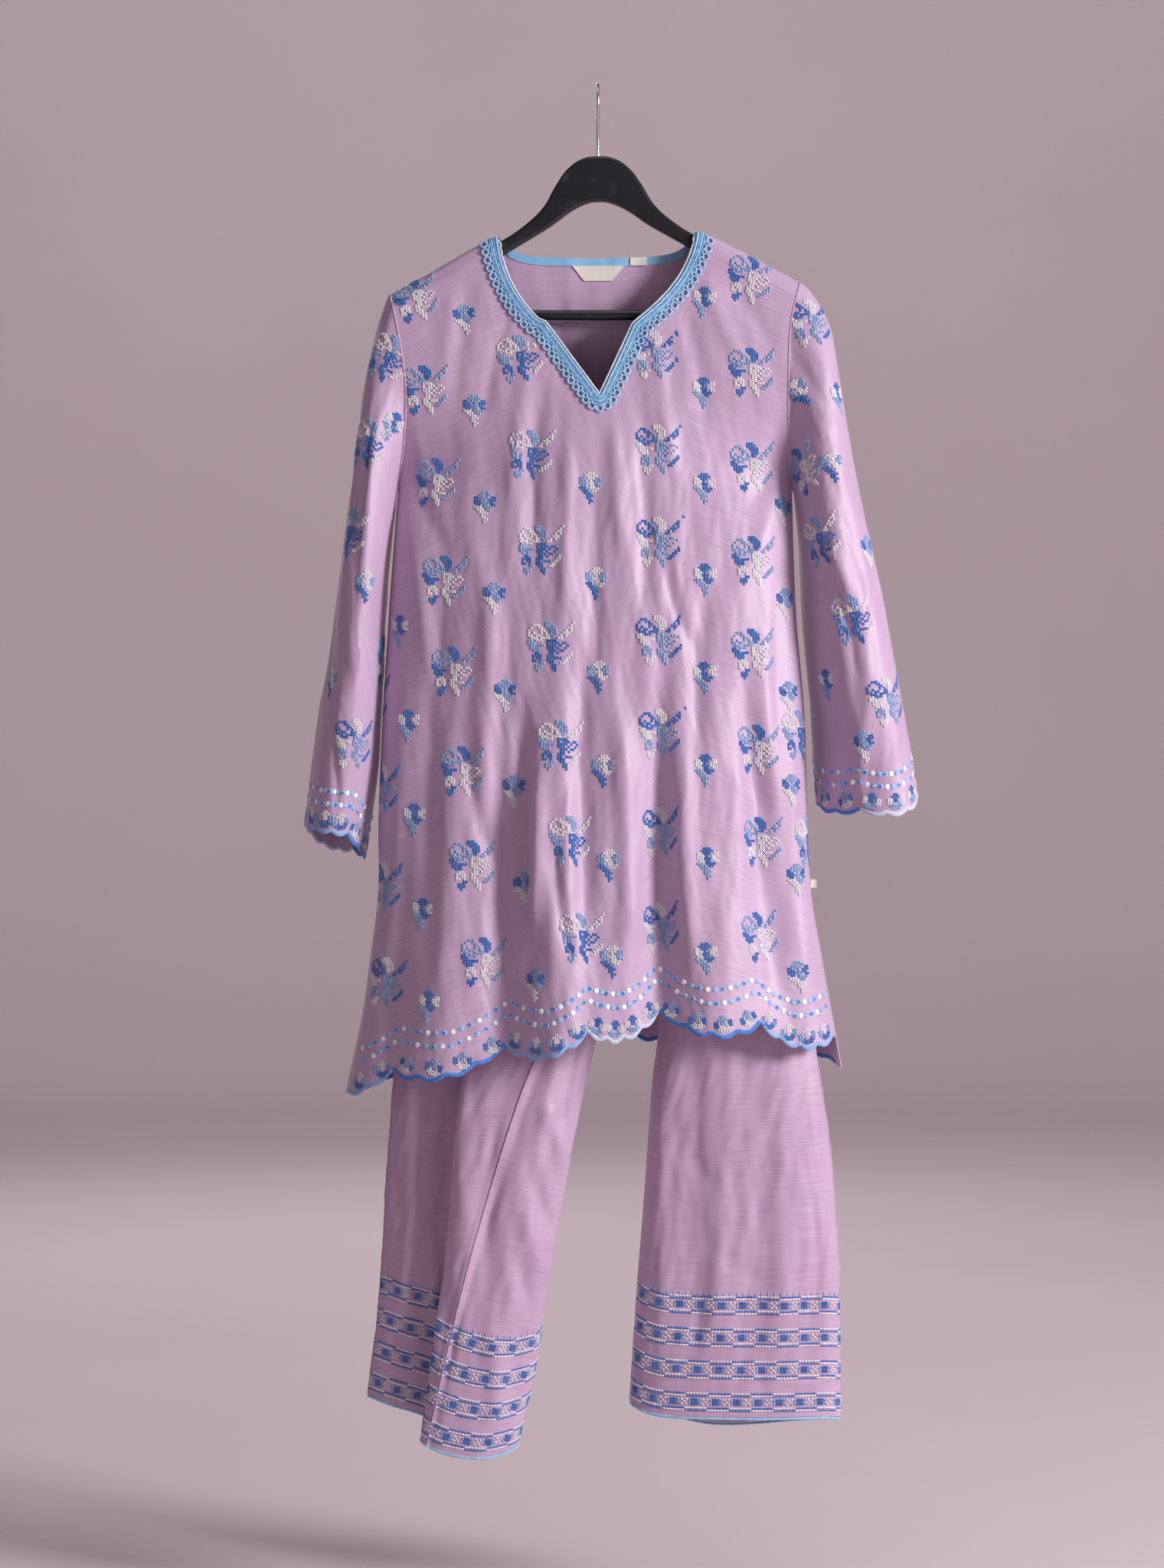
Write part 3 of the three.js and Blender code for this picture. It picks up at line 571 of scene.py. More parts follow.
class RepeatTree:
    """A node tree that puts one small shape on every point of a mesh.

    Each point's turn and size come from its attributes turned and size. The named inputs are
    the shape's sizes in metres; the last of them is the material.
    """

    def __init__(self, name: str, sizes: dict[str, float]) -> None:
        """Starts the tree with its named inputs.

        Args:
            name: the tree's name.
            sizes: named inputs with their first values, in metres.
        """
        self.tree = bpy.data.node_groups.new(name, "GeometryNodeTree")
        sockets = self.tree.interface
        sockets.new_socket("Geometry", in_out="INPUT", socket_type="NodeSocketGeometry")
        for label, value in sizes.items():
            socket = sockets.new_socket(label, in_out="INPUT", socket_type="NodeSocketFloat")
            socket.default_value = value
        sockets.new_socket("Finish", in_out="INPUT", socket_type="NodeSocketMaterial")
        sockets.new_socket("Geometry", in_out="OUTPUT", socket_type="NodeSocketGeometry")
        self.inputs = self.tree.nodes.new("NodeGroupInput")

    def node(self, kind: str, links: dict | None = None, **settings: object) -> bpy.types.Node:
        """Adds a node.

        Args:
            kind: the node's type, without its usual prefix.
            links: input name or number to an output socket or a plain value.
            settings: the node's own properties.

        Returns:
            The node.
        """
        prefix = "" if kind.startswith(("Function", "Shader")) else "GeometryNode"
        return new_node(self.tree, prefix + kind, links, settings)

    def vector(self, x: object = 0.0, y: object = 0.0, z: object = 0.0) -> bpy.types.NodeSocket:
        """A vector socket from three sockets or numbers."""
        return self.node("ShaderNodeCombineXYZ", {"X": x, "Y": y, "Z": z}).outputs[0]

    def finish(self, geometry: bpy.types.NodeSocket) -> None:
        """Realizes, gives the material and ends the tree.

        Args:
            geometry: what the tree has made.
        """
        real = self.node("RealizeInstances", {0: geometry})
        smooth = self.node("SetShadeSmooth", {0: real.outputs[0]})
        finish = self.inputs.outputs["Finish"]
        dressed = self.node("SetMaterial", {0: smooth.outputs[0], "Material": finish})
        end = self.tree.nodes.new("NodeGroupOutput")
        self.tree.links.new(dressed.outputs[0], end.inputs[0])

    def on_points(self, shape: bpy.types.NodeSocket) -> None:
        """Puts the shape on every point, turned and sized by the point's attributes.

        Args:
            shape: the shape to put on every point.
        """
        turned = self.node("InputNamedAttribute", {"Name": "turned"}, data_type="FLOAT_VECTOR")
        size = self.node("InputNamedAttribute", {"Name": "size"}, data_type="FLOAT")
        turn = self.node("FunctionNodeEulerToRotation", {0: turned.outputs[0]})
        cloud = self.node("MeshToPoints", {0: self.inputs.outputs["Geometry"]})
        placed = self.node("InstanceOnPoints", {
            "Points": cloud.outputs[0],
            "Instance": shape,
            "Rotation": turn.outputs[0],
            "Scale": size.outputs[0],
        })
        self.finish(placed.outputs[0])

    def run(self, name: str, source: bpy.types.Mesh, finish: Look,
            sizes: dict[str, float]) -> bpy.types.Mesh:
        """Evaluates the tree on a mesh.

        Args:
            name: the new mesh's name.
            source: points or edges that the tree works on.
            finish: the material.
            sizes: values for the named inputs, in metres.

        Returns:
            A plain mesh.
        """
        carrier = bpy.data.objects.new(name, source)
        bpy.context.scene.collection.objects.link(carrier)
        modifier = carrier.modifiers.new("repeat", "NODES")
        modifier.node_group = self.tree
        for item in self.tree.interface.items_tree:
            if item.in_out != "INPUT":
                continue
            if item.name in sizes:
                modifier[item.identifier] = sizes[item.name]
            if item.name == "Finish":
                modifier[item.identifier] = finish
        graph = bpy.context.evaluated_depsgraph_get()
        mesh = bpy.data.meshes.new_from_object(carrier.evaluated_get(graph))
        mesh.name = name
        bpy.data.objects.remove(carrier)
        bpy.data.meshes.remove(source)
        return mesh


def stitch_tree(name: str, angles: Sequence[float], width: float = 0.00102) -> RepeatTree:
    """A tree that sews one stitch of straight three-sided arms on every point.

    Args:
        name: the tree's name.
        angles: turn of each arm about the stitch's middle, in degrees.
        width: the thread's width, in metres.

    Returns:
        The tree.
    """
    tree = RepeatTree(name, {"Arm length": 0.0031, "Thread width": width, "Thread height": 0.0016})
    get = tree.inputs.outputs
    size = tree.vector(get["Arm length"], get["Thread width"], get["Thread height"])
    prism = tree.node("MeshCylinder", {"Vertices": 3, "Radius": 0.5, "Depth": 1.0})
    lying = tree.node("Transform", {0: prism.outputs[0], "Rotation": (0.0, math.pi / 2, 0.0)})
    sized = tree.node("Transform", {0: lying.outputs[0], "Scale": size})
    arms = tree.node("JoinGeometry")
    for angle in angles:
        arm = tree.node("Transform", {0: sized.outputs[0], "Rotation": (0.0, 0.0, math.radians(angle))})
        tree.tree.links.new(arm.outputs[0], arms.inputs[0])
    tree.on_points(arms.outputs[0])
    return tree


def dot_tree(name: str = "satin dots", width: float = 0.0054, height: float = 0.0012) -> RepeatTree:
    """A tree that sews a low satin dot on every point.

    Args:
        name: the tree's name.
        width: its width, in metres.
        height: its height, in metres.

    Returns:
        The tree.
    """
    tree = RepeatTree(name, {"Dot width": width, "Dot height": height})
    get = tree.inputs.outputs
    ball = tree.node("MeshUVSphere", {"Segments": 9, "Rings": 5, "Radius": 0.5})
    size = tree.vector(get["Dot width"], get["Dot width"], get["Dot height"])
    low = tree.node("Transform", {0: ball.outputs[0], "Scale": size})
    tree.on_points(low.outputs[0])
    return tree


def loop_tree() -> RepeatTree:
    """A tree that lays a round loop of cord on every point.

    Returns:
        The tree.
    """
    tree = RepeatTree("cord loops", {"Loop radius": 0.003, "Cord radius": 0.001})
    get = tree.inputs.outputs
    line = tree.node("CurvePrimitiveCircle", {"Resolution": 16, "Radius": get["Loop radius"]})
    section = tree.node("CurvePrimitiveCircle", {"Resolution": 6, "Radius": get["Cord radius"]})
    cord = tree.node("CurveToMesh", {"Curve": line.outputs[0], "Profile Curve": section.outputs[0]})
    tree.on_points(cord.outputs[0])
    return tree


def cord_tree() -> RepeatTree:
    """A tree that lays a round cord along a line of edges.

    Returns:
        The tree.
    """
    tree = RepeatTree("cords", {"Cord radius": 0.001, "Sides": 8.0})
    get = tree.inputs.outputs
    line = tree.node("MeshToCurve", {0: get["Geometry"]})
    circle = {"Resolution": get["Sides"], "Radius": get["Cord radius"]}
    section = tree.node("CurvePrimitiveCircle", circle)
    cord = tree.node("CurveToMesh", {
        "Curve": line.outputs[0],
        "Profile Curve": section.outputs[0],
        "Fill Caps": True,
    })
    tree.finish(cord.outputs[0])
    return tree


def point_mesh(points: Array, normals: Array, sides: Array, turn: Array, size: Array) -> bpy.types.Mesh:
    """Loose points with the attributes turned and size.

    Args:
        points: places in millimetres.
        normals: directions away from the cloth.
        sides: directions towards the viewer's right, on the cloth.
        turn: turn of each stitch about its normal, in radians.
        size: size of each, where 1 is the tree's own.

    Returns:
        A mesh with points only.
    """
    mesh = bpy.data.meshes.new("places")
    mesh.vertices.add(len(points))
    mesh.vertices.foreach_set("co", (points * MM).astype(np.float32).ravel())
    other = np.cross(normals, sides)
    c, s = np.cos(turn)[:, None], np.sin(turn)[:, None]
    x_axis = sides * c + other * s
    y_axis = other * c - sides * s
    euler = np.empty((len(points), 3), np.float32)
    for i, axes in enumerate(np.stack([x_axis, y_axis, normals], axis=2)):
        euler[i] = Matrix(axes.tolist()).to_euler()
    turned = mesh.attributes.new("turned", "FLOAT_VECTOR", "POINT")
    turned.data.foreach_set("vector", euler.ravel())
    sized = mesh.attributes.new("size", "FLOAT", "POINT")
    sized.data.foreach_set("value", np.asarray(size, np.float32))
    return mesh


def line_mesh(lines: Sequence[Array], closed: bool = False) -> bpy.types.Mesh:
    """Lines of points in millimetres as one mesh of edges.

    Args:
        lines: lines of points, in millimetres.
        closed: whether each line's end joins its start.

    Returns:
        A mesh of edges, in metres.
    """
    points, edges, start = [], [], 0
    for line in lines:
        count = len(line)
        points.append(line)
        edges += [(start + i, start + i + 1) for i in range(count - 1)]
        if closed:
            edges.append((start + count - 1, start))
        start += count
    mesh = bpy.data.meshes.new("lines")
    mesh.from_pydata((np.concatenate(points) * MM).tolist(), edges, [])
    return mesh


# ------------------------------------------------------------------ finishes
class Sketch:
    """Short hand for adding nodes to a material or a shader group."""

    def __init__(self, tree: bpy.types.NodeTree) -> None:
        """Works on one node tree."""
        self.tree = tree

    def add(self, kind: str, links: dict | None = None, **settings: object) -> bpy.types.Node:
        """Adds a shader node with its links or plain values, and its own properties."""
        return new_node(self.tree, "ShaderNode" + kind, links, settings)

    def math(self, operation: str, a: object, b: object = 0.0) -> bpy.types.NodeSocket:
        """One arithmetic step on two sockets or numbers."""
        return self.add("Math", {0: a, 1: b}, operation=operation).outputs[0]

    def blend(self, factor: object, a: object, b: object) -> bpy.types.NodeSocket:
        """A colour between a and b.

        Args:
            factor: the share of b.
            a: the colour at 0.
            b: the colour at 1.

        Returns:
            The colour's socket.
        """
        node = self.add("Mix", data_type="RGBA")
        sockets = [s for s in node.inputs if s.enabled]
        for socket, value in zip(sockets, (factor, a, b)):
            feed(self.tree, socket, value)
        return next(s for s in node.outputs if s.enabled)

    def noise(self, where: object, scale: float, detail: float = 2.0) -> bpy.types.NodeSocket:
        """Plain noise at a place."""
        return self.add("TexNoise", {"Vector": where, "Scale": scale, "Detail": detail}).outputs["Fac"]

    def stretched(self, where: object, scale: tuple[float, float, float]) -> bpy.types.NodeSocket:
        """A place scaled by its own factor along each axis."""
        return self.add("Mapping", {"Vector": where, "Scale": scale}).outputs[0]

    def span(self, value: object, low: float, high: float, to_low: float = 0.0,
             to_high: float = 1.0) -> bpy.types.NodeSocket:
        """A value between two limits, moved between two other ones."""
        return self.add("MapRange", {0: value, 1: low, 2: high, 3: to_low, 4: to_high}).outputs[0]

    def dress(self, shader: bpy.types.Node, bump: tuple[object, float, float],
              inputs: dict[str, object]) -> None:
        """Gives a shader its bump and its other inputs.

        Args:
            shader: the material's shader.
            bump: the height's socket, the strength and the distance in metres.
            inputs: input name to an output socket or a plain value.
        """
        height, strength, distance = bump
        normal = self.add("Bump", {"Height": height, "Strength": strength, "Distance": distance})
        for label, value in {**inputs, "Normal": normal.outputs[0]}.items():
            feed(self.tree, shader.inputs[label], value)


def linear(red: int, green: int, blue: int) -> tuple[float, float, float, float]:
    """A screen colour from 0 to 255 as the linear colour that a shader takes."""
    parts = [v / 255 for v in (red, green, blue)]
    return (*[v / 12.92 if v <= 0.04045 else ((v + 0.055) / 1.055) ** 2.4 for v in parts], 1.0)


def shader_group(name: str, inputs: dict[str, float],
                 outputs: Sequence[str]) -> tuple[bpy.types.NodeTree, Sketch]:
    """An empty shader group with a Place input, float inputs and float outputs.

    Args:
        name: the group's name.
        inputs: float inputs with their first values.
        outputs: names of the float outputs.

    Returns:
        The group's tree, and a sketch on it.
    """
    tree = bpy.data.node_groups.new(name, "ShaderNodeTree")
    tree.interface.new_socket("Place", in_out="INPUT", socket_type="NodeSocketVector")
    for label, value in inputs.items():
        socket = tree.interface.new_socket(label, in_out="INPUT", socket_type="NodeSocketFloat")
        socket.default_value = value
    for label in outputs:
        tree.interface.new_socket(label, in_out="OUTPUT", socket_type="NodeSocketFloat")
    return tree, Sketch(tree)


def weave_group() -> bpy.types.NodeTree:
    """Plain weave with uneven yarns: its height, its tone with a little painted shade between the yarns,
    and where the slubs lie.

    Returns:
        The group.
    """
    tree, s = shader_group("plain weave", {"Yarns per metre": 1900.0, "Unevenness": 0.5},
                           ("Height", "Tone", "Slub"))
    given = s.tree.nodes.new("NodeGroupInput").outputs
    axes = s.add("SeparateXYZ", {0: given["Place"]}).outputs
    wander = s.math("MULTIPLY", s.noise(s.stretched(given["Place"], (60.0, 300.0, 1.0)), 1.0), 0.003)
    turns = s.math("MULTIPLY", given["Yarns per metre"], 2 * math.pi)
    warp = s.math("SINE", s.math("MULTIPLY", axes[0], turns))
    weft = s.math("SINE", s.math("MULTIPLY", s.math("ADD", axes[1], wander), turns))
    crossed = s.math("MULTIPLY", s.math("MULTIPLY", warp, weft), 0.5)
    slub = s.noise(s.stretched(given["Place"], (26.0, 760.0, 1.0)), 1.0, 3.0)
    fine = s.noise(s.stretched(given["Place"], (900.0, 60.0, 1.0)), 1.0, 2.0)
    uneven = s.math("MULTIPLY", s.math("ADD", slub, s.math("MULTIPLY", fine, 0.45)), given["Unevenness"])
    end = s.tree.nodes.new("NodeGroupOutput")
    s.tree.links.new(s.math("ADD", s.math("MULTIPLY", crossed, 0.35), uneven), end.inputs["Height"])
    # Tone: the slubs' uneven colour, plus painted shade that darkens the cloth where the weave's yarns
    # dip
    s.tree.links.new(s.math("ADD", s.math("MULTIPLY", crossed, 0.12), slub), end.inputs["Tone"])
    s.tree.links.new(slub, end.inputs["Slub"])
    return tree


def strand_group() -> bpy.types.NodeTree:
    """Twisted thread: fine slanting strands as height, and an uneven tone.

    Returns:
        The group.
    """
    tree, s = shader_group("thread strands", {"Strands per metre": 1500.0}, ("Height", "Tone"))
    given = s.tree.nodes.new("NodeGroupInput").outputs
    axes = s.add("SeparateXYZ", {0: given["Place"]}).outputs
    slant = s.math("ADD", axes[0], s.math("MULTIPLY", axes[2], 0.8))
    turns = s.math("MULTIPLY", given["Strands per metre"], 2 * math.pi)
    ridge = s.math("SINE", s.math("MULTIPLY", slant, turns))
    tone = s.noise(given["Place"], 320.0, 3.0)
    end = s.tree.nodes.new("NodeGroupOutput")
    s.tree.links.new(s.math("ADD", s.math("MULTIPLY", ridge, 0.5), tone), end.inputs["Height"])
    s.tree.links.new(tone, end.inputs["Tone"])
    return tree


@dataclass(frozen=True)
class Groups:
    """The shader groups that several finishes share."""

    weave: bpy.types.NodeTree
    strand: bpy.types.NodeTree


def new_look(name: str) -> tuple[Look, Sketch, bpy.types.Node]:
    """A node material with only a shader and its output.

    Args:
        name: the material's name.

    Returns:
        The material, a sketch on its nodes, and its shader.
    """
    look = bpy.data.materials.new(name)
    look.use_nodes = True
    sketch = Sketch(look.node_tree)
    shader = look.node_tree.nodes["Principled BSDF"]
    return look, sketch, shader


@dataclass(frozen=True)
class WovenFinish:
    """Woven cloth on the map named cut.

    Fields:
        light: colour of the lighter slubs and patches, and painted light on the raised yarns.
        deep: colour of the darker slubs and patches, and painted shade between the yarns.
        roughness: how matt it is.
        sheen: weight of the soft gloss at glancing angles.
        yarns: yarns per metre.
        relief: depth of the weave in metres.
    """

    name: str
    light: tuple[float, float, float, float]
    deep: tuple[float, float, float, float]
    roughness: float = 0.5
    sheen: float = 0.35
    yarns: float = 1900.0
    relief: float = 0.00012

    def make(self, groups: Groups) -> Look:
        """Builds the material.

        Args:
            groups: the shared shader groups.

        Returns:
            The material.
        """
        look, s, shader = new_look(self.name)
        place = s.add("UVMap", uv_map="cut").outputs[0]
        weave = s.add("Group", node_tree=groups.weave)
        s.tree.links.new(place, weave.inputs["Place"])
        weave.inputs["Yarns per metre"].default_value = self.yarns
        cloud = s.noise(place, 9.0, 3.0)
        # The weave's tone carries the slubs and a little painted shade between the raised yarns; the
        # cloud adds uneven patches
        spread = s.span(weave.outputs["Tone"], 0.3, 0.72)
        patches = s.span(cloud, 0.3, 0.7, 0.25, 0.75)
        tone = s.math("ADD", s.math("MULTIPLY", spread, 0.55), s.math("MULTIPLY", patches, 0.45))
        s.dress(shader, (weave.outputs["Height"], 0.55, self.relief), {
            "Base Color": s.blend(tone, self.deep, self.light),
            "Roughness": s.math("ADD", s.math("MULTIPLY", weave.outputs["Slub"], 0.16),
                                self.roughness - 0.08),
            "Sheen Weight": self.sheen,
            "Sheen Roughness": 0.45,
            "Sheen Tint": (1.0, 0.92, 0.98, 1.0),
            "Specular IOR Level": 0.42,
        })
        return look


@dataclass(frozen=True)
class ThreadFinish:
    """Embroidery and braid thread."""

    name: str
    light: tuple[float, float, float, float]
    deep: tuple[float, float, float, float]
    roughness: float = 0.5
    strands: float = 1500.0

    def make(self, groups: Groups) -> Look:
        """Builds the material.

        Args:
            groups: the shared shader groups.

        Returns:
            The material.
        """
        look, s, shader = new_look(self.name)
        place = s.add("TexCoord").outputs["Object"]
        strand = s.add("Group", node_tree=groups.strand)
        s.tree.links.new(place, strand.inputs["Place"])
        strand.inputs["Strands per metre"].default_value = self.strands
        s.dress(shader, (strand.outputs["Height"], 0.5, 0.00025), {
            "Base Color": s.blend(s.span(strand.outputs["Tone"], 0.32, 0.68), self.deep, self.light),
            "Roughness": s.math("ADD", s.math("MULTIPLY", strand.outputs["Tone"], 0.2),
                                self.roughness - 0.1),
            "Sheen Weight": 0.25,
            "Specular IOR Level": 0.5,
        })
        return look


@dataclass(frozen=True)
class SatinStitchFinish:
    """Close satin stitches across an edge, on the map named cut, with painted shade in the grooves
    between the stitches.
    """

    name: str
    light: tuple[float, float, float, float]
    deep: tuple[float, float, float, float]
    pitch: float = 0.0011

    def make(self, groups: Groups) -> Look:
        """Builds the material.

        Args:
            groups: the shared shader groups, not used here.

        Returns:
            The material.
        """
        look, s, shader = new_look(self.name)
        place = s.add("UVMap", uv_map="cut").outputs[0]
        axes = s.add("SeparateXYZ", {0: place}).outputs
        wander = s.math("MULTIPLY", s.noise(s.stretched(place, (500.0, 90.0, 1.0)), 1.0), 0.0006)
        turns = 2 * math.pi / self.pitch
        ridge = s.math("SINE", s.math("MULTIPLY", s.math("ADD", axes[0], wander), turns))
        loose = s.noise(s.stretched(place, (1300.0, 120.0, 1.0)), 1.0, 2.0)
        height = s.math("ADD", s.math("MULTIPLY", ridge, 0.5), loose)
        # Painted light and shade: the colour follows the stitches' height, light on their ridges and dark
        # in the grooves between them, with the loose threads' uneven tone
        s.dress(shader, (height, 0.7, 0.0003), {
            "Base Color": s.blend(s.span(height, 0.0, 1.0), self.deep, self.light),
            "Roughness": s.math("ADD", s.math("MULTIPLY", loose, 0.2), 0.34),
            "Sheen Weight": 0.2,
        })
        return look


@dataclass(frozen=True)
class PaintedWoodFinish:
    """Black satin paint on wood, a little worn."""

    name: str = "black painted wood"

    def make(self, groups: Groups) -> Look:
        """Builds the material.

        Args:
            groups: the shared shader groups, not used here.

        Returns:
            The material.
        """
        look, s, shader = new_look(self.name)
        place = s.add("TexCoord").outputs["Object"]
        grain = s.noise(s.stretched(place, (9.0, 60.0, 90.0)), 1.0, 5.0)
        dust = s.noise(place, 46.0, 5.0)
        dust_mask = s.span(dust, 0.56, 0.72)
        scratch = s.noise(s.stretched(place, (160.0, 160.0, 1400.0)), 1.0, 2.0)
        scratch_mask = s.span(scratch, 0.7, 0.76, 0.0, 0.7)
        mask = s.math("MAXIMUM", s.math("MULTIPLY", dust_mask, 0.35), scratch_mask)
        black = s.blend(grain, linear(17, 19, 24), linear(31, 34, 40))
        s.dress(shader, (grain, 0.35, 0.0006), {
            "Base Color": s.blend(mask, black, linear(74, 76, 82)),
            "Roughness": s.math("ADD", s.math("MULTIPLY", mask, 0.3), 0.34),
            "Coat Weight": 0.15,
        })
        return look


@dataclass(frozen=True)
class WireFinish:
    """Bright drawn steel wire with faint draw lines."""

    name: str = "bright wire"

    def make(self, groups: Groups) -> Look:
        """Builds the material.

        Args:
            groups: the shared shader groups, not used here.

        Returns:
            The material.
        """
        look, s, shader = new_look(self.name)
        place = s.add("TexCoord").outputs["Object"]
        lines = s.noise(s.stretched(place, (2600.0, 2600.0, 60.0)), 1.0, 3.0)
        stain = s.noise(place, 90.0, 3.0)
        s.dress(shader, (lines, 0.2, 0.0001), {
            "Base Color": s.blend(stain, linear(176, 178, 182), linear(214, 216, 220)),
            "Roughness": s.math("ADD", s.math("MULTIPLY", lines, 0.22), 0.16),
            "Metallic": 1.0,
        })
        return look


@dataclass(frozen=True)
class Looks:
    """Every finish of the suit, by what it is on."""

    kurta: Look
    trousers: Look
    thread: dict[Thread, Look]
    satin: dict[Thread, Look]
    braid: Look
    braid_dark: Look
    piping: Look
    tape: Look
    label: Look
    wood: Look
    wire: Look
    seam: Look


BLUE_LIGHT, BLUE_DEEP = linear(70, 144, 226), linear(34, 102, 198)
PALE_LIGHT, PALE_DEEP = linear(178, 208, 246), linear(126, 168, 228)
WHITE_LIGHT, WHITE_DEEP = linear(255, 255, 255), linear(238, 238, 246)


def make_looks() -> Looks:
    """Builds all the finishes.

    Returns:
        The finishes, by what they are on.
    """
    groups = Groups(weave_group(), strand_group())
    thread = {
        Thread.BLUE: ThreadFinish("blue thread", BLUE_LIGHT, BLUE_DEEP),
        Thread.LIGHT: ThreadFinish("light blue thread", PALE_LIGHT, PALE_DEEP),
        Thread.WHITE: ThreadFinish("white thread", WHITE_LIGHT, WHITE_DEEP, 0.6),
    }
    # Each satin edge's first colour is painted light on the stitches' ridges, its second painted shade in
    # the grooves between them
    satin = {
        Thread.BLUE: SatinStitchFinish("blue satin edge", BLUE_LIGHT, BLUE_DEEP),
        Thread.LIGHT: SatinStitchFinish(
            "light blue satin edge", linear(160, 196, 240), linear(108, 152, 216)),
        Thread.WHITE: SatinStitchFinish("white satin edge", linear(226, 230, 244), linear(160, 176, 214)),
    }
    made = {
        "kurta": WovenFinish("lilac kurta cloth", linear(204, 177, 207), linear(174, 141, 174), 0.4,
                             0.25),
        "trousers": WovenFinish("lilac trouser cloth", linear(206, 177, 207), linear(178, 143, 177), 0.38,
                                0.22),
        "braid": ThreadFinish("light blue cord", linear(172, 210, 238), linear(124, 178, 222), 0.5,
                              700.0),
        "braid_dark": ThreadFinish("blue braid", linear(132, 180, 220), linear(84, 136, 194), 0.55,
                                   700.0),
        "piping": ThreadFinish("white piping cord", linear(236, 240, 248), linear(196, 210, 230), 0.55,
                               900.0),
        "tape": WovenFinish("light blue tape", linear(150, 202, 238), linear(118, 176, 222), 0.6, 0.2,
                            1500.0),
        "label": WovenFinish("cream label cloth", linear(238, 234, 226), linear(214, 208, 198), 0.75, 0.1,
                             1500.0),
        "wood": PaintedWoodFinish(),
        "wire": WireFinish(),
        "seam": ThreadFinish("lilac sewing thread", linear(206, 174, 204), linear(176, 140, 174), 0.6),
    }
    return Looks(
        thread={key: finish.make(groups) for key, finish in thread.items()},
        satin={key: finish.make(groups) for key, finish in satin.items()},
        **{key: finish.make(groups) for key, finish in made.items()},
    )


# ------------------------------------------------------------------ pieces
def add_piece(name: str, mesh: bpy.types.Mesh, look: Look,
              nodes: Sequence[str] = ()) -> bpy.types.Object:
    """Links a finished mesh as a piece of the frame's only body.

    Args:
        name: the piece's name.
        mesh: its mesh, in metres.
        look: its material, if the mesh has none yet.
        nodes: frame nodes that it stands for.

    Returns:
        The object.
    """
    if not mesh.materials:
        mesh.materials.append(look)
    piece = bpy.data.objects.new(name, mesh)
    bpy.context.scene.collection.objects.link(piece)
    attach(piece, "root")
    if nodes:
        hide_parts(*nodes)
    faces = sum(len(face.vertices) - 2 for face in mesh.polygons)
    LOG.info("%s: %d triangles", name, faces)
    return piece


def lay_cord(cords: RepeatTree, name: str, lines: Sequence[Array], look: Look, radius: float,
             sides: int = 8, nodes: Sequence[str] = (), closed: bool = False) -> bpy.types.Object:
    """Lays a round cord along lines, as one piece.

    Args:
        cords: the tree that makes cords.
        name: the piece's name.
        lines: lines of points in millimetres.
        look: its material.
        radius: the cord's radius in millimetres.
        sides: how many flat sides stand for its round.
        nodes: frame nodes that it stands for.
        closed: whether each line's end joins its start.

    Returns:
        The object.
    """
    sizes = {"Cord radius": radius * MM, "Sides": float(sides)}
    mesh = cords.run(name, line_mesh(lines, closed), look, sizes)
    return add_piece(name, mesh, look, nodes)


# ------------------------------------------------------------------ the kurta's form
BODY = Table("z left right front back armhole", (
    (-150, -209, 200, 11, 10, 11),
    (-190, -199.5, 191, 13, 12, 12),
    (-230, -190, 182, 20, 17, 18),
    (-285, -181.5, 179.5, 31, 26, 24),
    (-330, -182, 180, 41, 34, 20),
    (-386, -189.5, 184.5, 49, 41, 0),
    (-440, -194, 186, 54, 46, 0),
    (-510, -199, 189, 59, 50, 0),
    (-600, -204.5, 196.5, 63, 54, 0),
    (-700, -208.5, 199.5, 68, 58, 0),
    (-770, -209, 203, 72, 62, 0),
    (-835, -217, 214, 76, 66, 0),
    (-885, -224, 223, 79, 69, 0),
    (-955, -239, 236, 82, 72, 0),
))
SHOULDER = Table("x z", (
    (-210, -207.5), (-197, -200), (-155, -176), (-113, -151.8), (-95, -143.6), (-50, -120), (0, -100),
    (50, -118), (93.5, -139.3), (112, -146), (150, -165.5), (191, -188), (205, -197),
))
